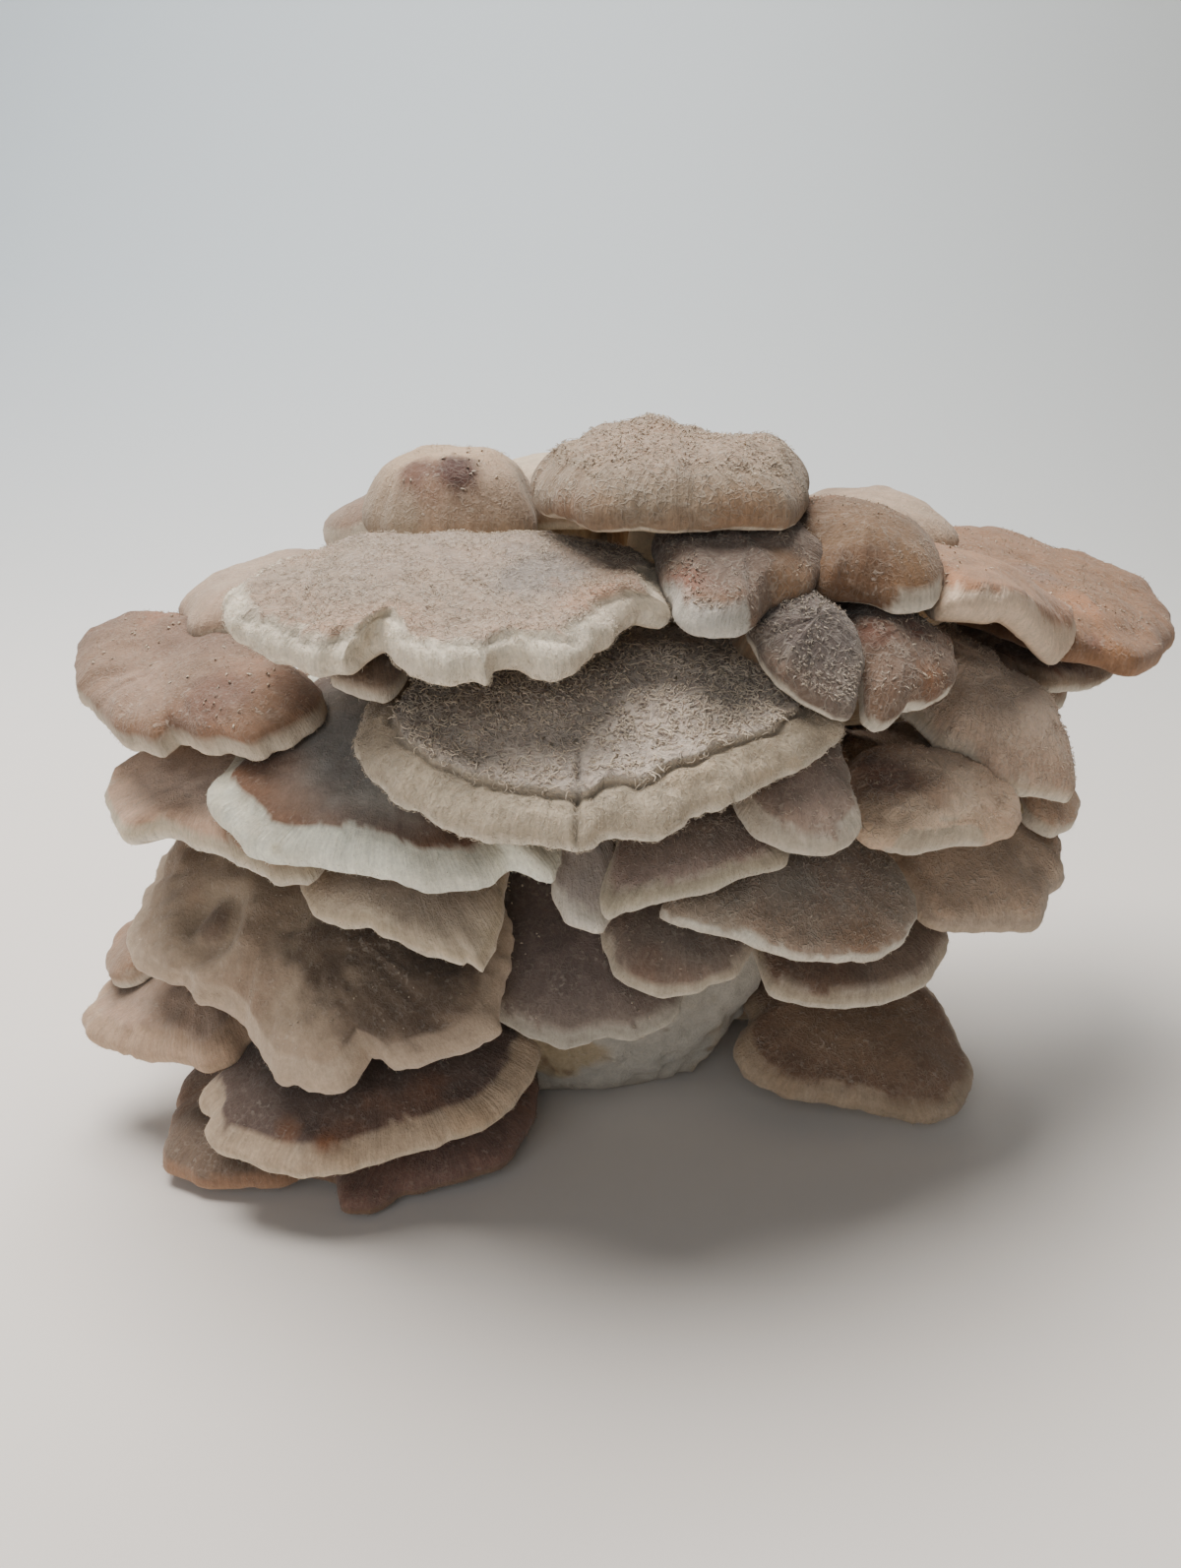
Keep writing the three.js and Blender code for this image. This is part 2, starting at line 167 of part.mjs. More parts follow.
    rim: [[-11.1, 88.1, 7], [-31.3, 81.6, 7.5], [-44, 65.6, 11.1], [-42.7, 45.5, 16.3], [-27.4, 32.6, 20.6], [-6.3, 33.6, 21.5], [12.5, 43, 20.1], [18.3, 62.1, 15.4], [7, 78.4, 10.6]] },
  { name: 'cap_rear_foot_left', normal: [-0.236, 0.172, 0.956], apex: [-59.1, 33.8, 15.1], root: [-52.6, 29.1, 17.6], end: [-35.2, 14.3, 17.8],
    stem: 7, roll: 3.5, rise: 7, fall: 2.2,
    rim: [[-55.6, 65.8, 10.3], [-73.9, 56.7, 7.3], [-86.2, 39.6, 7.5], [-86.5, 19.3, 11], [-72.1, 5.6, 17], [-52.3, 4.6, 22.1], [-36.9, 18.7, 23.4], [-29.5, 38.2, 21.7], [-38.3, 55.9, 16.3]] },
  { name: 'cap_rear_low_right', normal: [0.406, 0.014, 0.913], apex: [81.7, 0.8, 50.3], root: [74.7, 0.5, 53.5], end: [49.4, 0.2, 42],
    stem: 7, roll: 3.4, rise: 7, fall: 2.2,
    rim: [[87.1, 29.2, 47.4], [70.1, 25.4, 55], [60.1, 10.6, 59.8], [60.1, -8.4, 60.1], [68.5, -24.6, 56.6], [85.3, -27.7, 49.3], [99.6, -17.2, 42.7], [104.6, 0.9, 40.1], [100, 18.5, 42]] },
  { name: 'cap_rear_low_mid_right', normal: [0.321, 0.25, 0.913], apex: [63.5, 35.1, 55.1], root: [57, 30, 58.8], end: [44.4, 19.8, 51.3],
    stem: 7, roll: 3.8, rise: 9, fall: 2.2,
    rim: [[58.1, 67.6, 48.1], [40.3, 57.9, 57], [32.3, 39.1, 65], [41.2, 18.9, 67.4], [58.3, 4.7, 65.3], [78.6, 6.7, 57.6], [93.9, 20.3, 48.5], [90.9, 41, 43.9], [78, 59.5, 43.4]] },
  { name: 'cap_rear_low_centre', normal: [0.073, 0.416, 0.906], apex: [16.8, 58.8, 59.1], root: [15.2, 50.1, 63.2], end: [11.8, 32.6, 55.5],
    stem: 7, roll: 3.9, rise: 8, fall: 2.2,
    rim: [[18.8, 88.2, 45.4], [-1.6, 78.1, 51.6], [-20.8, 68.1, 57.9], [-18, 46.7, 67.5], [2, 34.2, 71.6], [26.1, 31.1, 71], [46.9, 40.6, 64.9], [52.4, 61.8, 54.8], [42, 81.4, 46.7]] },
  { name: 'cap_rear_low_mid_left', normal: [-0.222, 0.341, 0.913], apex: [-40.8, 49.9, 53.7], root: [-36, 42.5, 57.6], end: [-28.8, 29.3, 50.8],
    stem: 7, roll: 3.8, rise: 9, fall: 2.2,
    rim: [[-44.6, 78.4, 42.1], [-63.3, 68.1, 41.4], [-70.1, 48.7, 46.9], [-66.2, 28.9, 55.5], [-48.5, 19.5, 63.2], [-27.9, 26.4, 65.6], [-11.9, 41.3, 64], [-10.5, 61.3, 56.7], [-23.3, 76.4, 48]] },
  { name: 'cap_rear_low_left', normal: [-0.387, 0.126, 0.913], apex: [-75.8, 18.8, 58.6], root: [-68.8, 16.5, 61.9], end: [-49.6, 9.4, 52.4],
    stem: 7, roll: 3.5, rise: 7, fall: 2.2,
    rim: [[-70.2, 48.1, 57], [-87.7, 42.2, 50.3], [-98.4, 25.3, 48.1], [-103.1, 5.8, 48.9], [-90.3, -6.3, 55.8], [-72.1, -9.2, 64], [-56.7, 2, 69.1], [-50, 21, 69.3], [-54, 39.8, 65]] },
  { name: 'cap_rear_mid_right', normal: [0.419, 0.128, 0.899], apex: [78.3, 15.5, 92.4], root: [70.9, 13.2, 96.2], end: [48.8, 6.9, 85.6],
    stem: 7, roll: 3.8, rise: 8, fall: 2.2,
    rim: [[81.1, 49.1, 86.3], [62.6, 42.3, 95.9], [51.4, 26, 103.4], [54.8, 4.6, 104.9], [67, -12.9, 101.6], [86.4, -14.8, 92.9], [103.2, -5.8, 83.9], [102.9, 15.5, 80.9], [96.2, 36.4, 81.1]] },
  { name: 'cap_rear_mid_centre_right', normal: [0.232, 0.372, 0.899], apex: [43, 51.9, 99.8], root: [38.5, 44.7, 103.9], end: [28.2, 26.4, 94.9],
    stem: 7, roll: 4, rise: 9, fall: 2.2,
    rim: [[30.5, 85.2, 89.3], [14.8, 71, 99.2], [9.1, 50.5, 109.1], [22.5, 31.7, 113.5], [43.7, 20.4, 112.6], [65.6, 24, 105.5], [73.9, 43.1, 95.4], [72.9, 64.6, 86.8], [53.3, 78.1, 86.2]] },
  { name: 'cap_rear_mid_centre_left', normal: [-0.073, 0.416, 0.906], apex: [-12, 57.3, 96.9], root: [-10.5, 49.1, 100.8], end: [-7.9, 30.5, 92.4],
    stem: 7, roll: 3.9, rise: 8, fall: 2.2,
    rim: [[-2.6, 86.1, 84.5], [-25.5, 81.6, 84.7], [-42.2, 68.7, 89.2], [-45.6, 48, 98.5], [-32.5, 31.7, 107.1], [-9.8, 29.8, 109.8], [12, 37.2, 108.1], [22, 55.8, 100.3], [16.6, 76, 90.6]] },
  { name: 'cap_rear_mid_left', normal: [-0.331, 0.288, 0.899], apex: [-57.7, 38.1, 93.8], root: [-51.6, 32.8, 97.8], end: [-39.9, 21.3, 90.1],
    stem: 7, roll: 3.9, rise: 9, fall: 2.2,
    rim: [[-48.4, 72.6, 86.3], [-68.5, 63.3, 81.8], [-84.1, 46.7, 81.3], [-89.2, 24.8, 86.5], [-76.1, 9.6, 96.2], [-55.8, 6.5, 104.6], [-37.8, 20.3, 106.8], [-26.6, 40.1, 104.6], [-32.3, 59.8, 96.2]] },
  { name: 'cap_rear_side_left', normal: [-0.374, 0.026, 0.927], apex: [-82.7, 2.5, 99.3], root: [-75.7, 2.1, 102.1], end: [-48.2, 0.9, 89.8],
    stem: 7, roll: 3.5, rise: 7, fall: 2.2,
    rim: [[-84.5, 29.8, 97.8], [-99.8, 22.1, 91.9], [-104.6, 4.6, 90.4], [-104.1, -14, 91.2], [-90, -23.3, 97], [-72.8, -22.5, 104], [-61.2, -9.1, 108.3], [-59.6, 9.5, 108.4], [-67.7, 25.4, 104.7]] },
  { name: 'cap_rear_upper_right', normal: [0.311, 0.209, 0.927], apex: [61.6, 31, 131.5], root: [54.2, 26, 135.1], end: [28.8, 7.3, 115.6],
    stem: 7, roll: 4, rise: 8, fall: 2.2,
    rim: [[59.2, 66.2, 124.2], [39, 57.3, 133.1], [28.9, 37.9, 140.9], [36.8, 15.7, 143.2], [53.3, -1.3, 141.5], [75.3, -1.9, 134.3], [92.1, 12.2, 125.5], [89.6, 35.2, 121.1], [79.9, 56.8, 119.6]] },
  { name: 'cap_rear_upper_centre', normal: [0.078, 0.366, 0.927], apex: [17.9, 57.4, 136.6], root: [16, 48.3, 140.3], end: [8.9, 15.5, 118.3],
    stem: 7, roll: 4.2, rise: 9, fall: 2.2,
    rim: [[8.8, 89.9, 124.5], [-14.9, 80.9, 130], [-21.6, 57.7, 139.8], [-10.7, 36.1, 147.4], [13.8, 26.6, 149.1], [39.9, 27, 146.7], [56.5, 44.5, 138.4], [54.5, 68.3, 129.2], [34.6, 84.4, 124.5]] },
  { name: 'cap_rear_upper_left', normal: [-0.199, 0.318, 0.927], apex: [-37.3, 48.3, 130.9], root: [-32.5, 40.5, 134.6], end: [-18.7, 14.2, 117.3],
    stem: 7, roll: 4, rise: 8, fall: 2.2,
    rim: [[-30, 81.1, 121.1], [-53.2, 74.5, 118.5], [-68.5, 55.7, 121.6], [-71.5, 33.5, 128.6], [-56.7, 16.5, 137.7], [-33.2, 17.7, 142.2], [-12.3, 30.7, 142.2], [-0.6, 51.2, 137.7], [-9.1, 72, 128.7]] },
  { name: 'cap_rear_top_right', normal: [0.087, 0.15, 0.985], apex: [26.1, 29.3, 154.6], root: [22, 22.1, 156], end: [11.6, 6, 121],
    stem: 7, roll: 4, rise: 9, fall: 2.2,
    rim: [[19.3, 56, 151], [2.1, 47.9, 153.8], [-4.4, 28.8, 157.3], [4.6, 11.1, 159.3], [22.6, 1.3, 159.1], [42.1, 4.4, 156.9], [54.8, 20.2, 153.4], [54.3, 39.5, 150.5], [39.4, 53.3, 149.8]] },
  { name: 'cap_rear_top_left', normal: [-0.139, 0.154, 0.978], apex: [-33.1, 23.9, 152.9], root: [-27.7, 17.8, 154.6], end: [-14.5, 4.8, 120.6],
    stem: 7, roll: 4, rise: 9, fall: 2.2,
    rim: [[-27.9, 58.1, 148.2], [-47.2, 47.6, 147.1], [-61.7, 30.8, 147.7], [-62.9, 8.7, 151.1], [-49.6, -7.6, 155.5], [-28.1, -5.9, 158.3], [-10.6, 8, 158.6], [-0.8, 27.7, 156.9], [-9, 47.4, 152.6]] },
];

// -------------------------------------------------------------- small helpers
const V = (a) => new THREE.Vector3(...a);

/** Closed triangle mesh from rings of equal length, a first and a last point. */
function loft(first, rings, last) {
  const n = rings[0].length;
  const points = [first, ...rings.flat(), last];
  const faces = [];
  for (let i = 0; i < n; i++) faces.push(0, 1 + i, 1 + ((i + 1) % n));
  for (let k = 0; k + 1 < rings.length; k++) {
    const a = 1 + k * n, b = a + n;
    for (let i = 0; i < n; i++) {
      const j = (i + 1) % n;
      faces.push(a + i, b + i, b + j, a + i, b + j, a + j);
    }
  }
  const a = 1 + (rings.length - 1) * n, e = points.length - 1;
  for (let i = 0; i < n; i++) faces.push(a + i, e, a + ((i + 1) % n));
  return { points, faces };
}

/** Moves every point of a closed mesh outwards by a distance. */
function inflate({ points, faces }, by) {
  const normals = points.map(() => new THREE.Vector3());
  const u = new THREE.Vector3(), w = new THREE.Vector3();
  for (let i = 0; i < faces.length; i += 3) {
    const [a, b, c] = [faces[i], faces[i + 1], faces[i + 2]];
    u.subVectors(points[b], points[a]);
    w.subVectors(points[c], points[a]);
    u.cross(w);
    normals[a].add(u); normals[b].add(u); normals[c].add(u);
  }
  return { points: points.map((p, i) => p.clone().addScaledVector(normals[i].normalize(), by)), faces };
}

// -------------------------------------------------------------------- shapes
/** The mycelium block: a superellipsoid with low swellings, cut flat at z = 0. */
function blockMesh() {
  const half = BLOCK_HALF, centre = V(BLOCK_CENTRE);
  const at = (polar, turn) => {
    const d = new THREE.Vector3(Math.sin(polar) * Math.cos(turn), Math.sin(polar) * Math.sin(turn), Math.cos(polar));
    const s = Math.abs(d.x / half[0]) ** BLOCK_ROUND + Math.abs(d.y / half[1]) ** BLOCK_ROUND + Math.abs(d.z / half[2]) ** BLOCK_ROUND;
    const lump = 1 + BLOCK_LUMP * Math.sin(3 * turn + 2 * polar) * Math.sin(4 * polar + turn);
    return centre.clone().addScaledVector(d, lump * s ** (-1 / BLOCK_ROUND));
  };
  const rings = [];
  for (let k = 1; k <= BLOCK_RINGS; k++) {
    const ring = [];
    for (let i = 0; i < BLOCK_SEGMENTS; i++) {
      const turn = 2 * Math.PI * i / BLOCK_SEGMENTS;
      // the polar angle at which this meridian reaches the flat
      let lo = Math.PI / 2, hi = Math.PI;
      for (let q = 0; q < 40; q++) {
        const mid = (lo + hi) / 2;
        if (at(mid, turn).z > 0) lo = mid; else hi = mid;
      }
      const p = at(lo * k / BLOCK_RINGS, turn);
      if (k === BLOCK_RINGS) p.z = 0;
      ring.push(p);
    }
    rings.push(ring);
  }
  return loft(at(0, 0), rings, new THREE.Vector3(0, 0, 0));
}

/** Keeps every point of some rings clear of the floor. */
function lift(rings) {
  for (const ring of rings) for (const p of ring) p.z = Math.max(p.z, FLOOR_CLEARANCE);
}

/** One mushroom's cap, gill side included, as a closed mesh. */
function capMesh({ normal, apex, root, stem, roll, rise, fall, rim }) {
  const n = V(normal).normalize(), top = V(apex), foot = V(root);
  const spokes = rim.map((r) => {
    const v = V(r).sub(top), height = v.dot(n);
    return { length: v.length(), height, flat: v.clone().addScaledVector(n, -height) };
  });
  const small = (s) => Math.min(1, s.length / ROLL_FULL_LENGTH);
  const dome = (d, s) => rise * (1 - Math.max(0, Math.min(1, 1 - d / s.length)) ** fall);
  // the point d mm inside the rim and h mm above the rim's surface
  const on = (s, d, h) => {
    const t = 1 - d / s.length;
    return top.clone().addScaledVector(s.flat, t).addScaledVector(n, s.height * t * t + h);
  };
  const rings = [];
  rings.push(spokes.map((s) => { const d = s.length * (1 - CROWN_STEP); return on(s, d, roll + dome(d, s)); }));
  rings.push(spokes.map((s) => { const d = (roll + SHOULDER) * small(s); return on(s, d, roll + dome(d, s)); }));
  for (const a of ROLL_ANGLES) {
    rings.push(spokes.map((s) => {
      const d = roll * (1 - Math.cos(a)) * small(s);
      return on(s, d, roll * Math.sin(a) + dome(d, s) * (0.5 + 0.5 * Math.sin(a)));
    }));
  }
  const base = foot.clone().addScaledVector(n, -roll - 0.5);
  rings.push(spokes.map((s) => base.clone().addScaledVector(s.flat.clone().normalize(), stem * STEM_FLARE)));
  lift(rings);
  return loft(top.clone().addScaledVector(n, roll + rise), rings, base.clone().addScaledVector(n, -0.3));
}

/** Its stem as a closed mesh that starts inside the cap. */
function stemMesh({ normal, root, end, stem, roll }) {
  const n = V(normal).normalize(), foot = V(root), tip = V(end);
  const base = foot.clone().addScaledVector(n, -roll - 0.5);
  const along = tip.clone().sub(base).normalize();
  const turn = new THREE.Quaternion().setFromUnitVectors(n.clone().negate(), along);
  const u = new THREE.Vector3(0.3, 0.9, 0.2).cross(n).normalize(), w = n.clone().cross(u);
  const ring = (centre, radius, q) => Array.from({ length: STEM_SIDES }, (_, i) => {
    const t = -2 * Math.PI * i / STEM_SIDES;
    const o = u.clone().multiplyScalar(-Math.cos(t)).addScaledVector(w, Math.sin(t)).multiplyScalar(radius);
    return centre.clone().add(q ? o.applyQuaternion(q) : o);
  });
  const rings = [ring(base.clone().addScaledVector(n, 1.4), stem * 1.15, null), ring(tip, stem, turn)];
  lift(rings);
  return loft(base.clone().addScaledVector(n, 2.4), rings, tip.clone().addScaledVector(along, 0.4));
}

// ------------------------------------------------------------------ assembly
const wasm = await Module();
wasm.setup();

const solid = ({ points, faces }) => new wasm.Manifold(new wasm.Mesh({
  numProp: 3,
  vertProperties: new Float32Array(points.flatMap((p) => [p.x, p.y, p.z])),
  triVerts: new Uint32Array(faces),
}));

/** The largest of the separate bodies that a cut leaves. */
function largest(body) {
  return body.decompose().reduce((a, b) => (b.volume() > a.volume() ? b : a));
}

function mesh(name, body, colour, roughness) {
  const { numProp, vertProperties, triVerts } = body.getMesh();
  const position = new Float32Array((vertProperties.length / numProp) * 3);
  for (let i = 0; i < position.length / 3; i++) {
    for (let k = 0; k < 3; k++) position[3 * i + k] = vertProperties[numProp * i + k];
  }
  const geometry = new THREE.BufferGeometry();
  geometry.setAttribute('position', new THREE.BufferAttribute(position, 3));
  geometry.setIndex(new THREE.BufferAttribute(new Uint32Array(triVerts), 1));
  geometry.computeVertexNormals();
  const out = new THREE.Mesh(geometry, new THREE.MeshStandardMaterial({ color: colour, roughness, metalness: 0 }));
  out.name = name;
  return out;
}

const COLOURS = {
  cap_front_centre: GREY_BROWN, cap_upper_left: TAN, cap_top_centre: TAN, cap_top_left: TAN,
  cap_front_left: ORANGE_BROWN, cap_right_outer: ORANGE_BROWN, cap_right_curled: ORANGE_BROWN,
  cap_upper_right_outer: ORANGE_BROWN, cap_low_centre: DARK_BROWN, cap_lower_left: DARK_BROWN,
  cap_right_front_low: DARK_BROWN, cap_foot_right: DARK_BROWN,
};

const cluster = new THREE.Group();
const block = blockMesh();
cluster.add(mesh('mycelium_block', solid(block), WHITE, 0.95));

// Each mushroom gives way to the block and to the mushrooms above it in the
// table: it is cut back by a copy of each, made a gap larger all round.
const cutters = [solid(inflate(block, GAP))];
for (const row of MUSHROOMS) {
  const shapes = [capMesh(row), stemMesh(row)];
  const whole = shapes.map(solid).reduce((a, b) => a.add(b));
  let body = whole;
  for (const cutter of cutters) {
    const a = body.boundingBox(), b = cutter.boundingBox();
    if ([0, 1, 2].every((k) => a.min[k] <= b.max[k] && b.min[k] <= a.max[k])) body = body.subtract(cutter);
  }
  body = largest(body);
  cluster.add(mesh(row.name, body, COLOURS[row.name] ?? BROWN, 0.9));
  cutters.push(shapes.map((s) => solid(inflate(s, GAP))).reduce((a, b) => a.add(b), whole));
}

export default cluster;
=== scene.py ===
"""A shiitake cluster on its mycelium block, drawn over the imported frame.

Every mushroom is one mesh made from its rim, crown, rolled edge, gills and
stem; the block is another. Lengths in the tables are millimetres.
"""
import math
import bpy
import numpy as np
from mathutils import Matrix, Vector
from mathutils.bvhtree import BVHTree


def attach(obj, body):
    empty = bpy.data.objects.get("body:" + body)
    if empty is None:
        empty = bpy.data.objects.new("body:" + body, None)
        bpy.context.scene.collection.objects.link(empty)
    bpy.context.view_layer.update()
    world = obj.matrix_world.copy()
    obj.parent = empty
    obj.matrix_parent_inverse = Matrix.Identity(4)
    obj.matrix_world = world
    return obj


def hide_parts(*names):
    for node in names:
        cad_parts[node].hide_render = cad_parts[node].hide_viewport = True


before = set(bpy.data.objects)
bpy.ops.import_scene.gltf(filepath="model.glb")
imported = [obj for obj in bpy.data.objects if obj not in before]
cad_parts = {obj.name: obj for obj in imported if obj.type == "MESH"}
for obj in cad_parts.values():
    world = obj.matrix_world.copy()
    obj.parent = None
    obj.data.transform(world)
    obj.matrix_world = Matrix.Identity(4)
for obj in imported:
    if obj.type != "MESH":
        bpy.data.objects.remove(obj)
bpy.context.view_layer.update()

S = 0.001

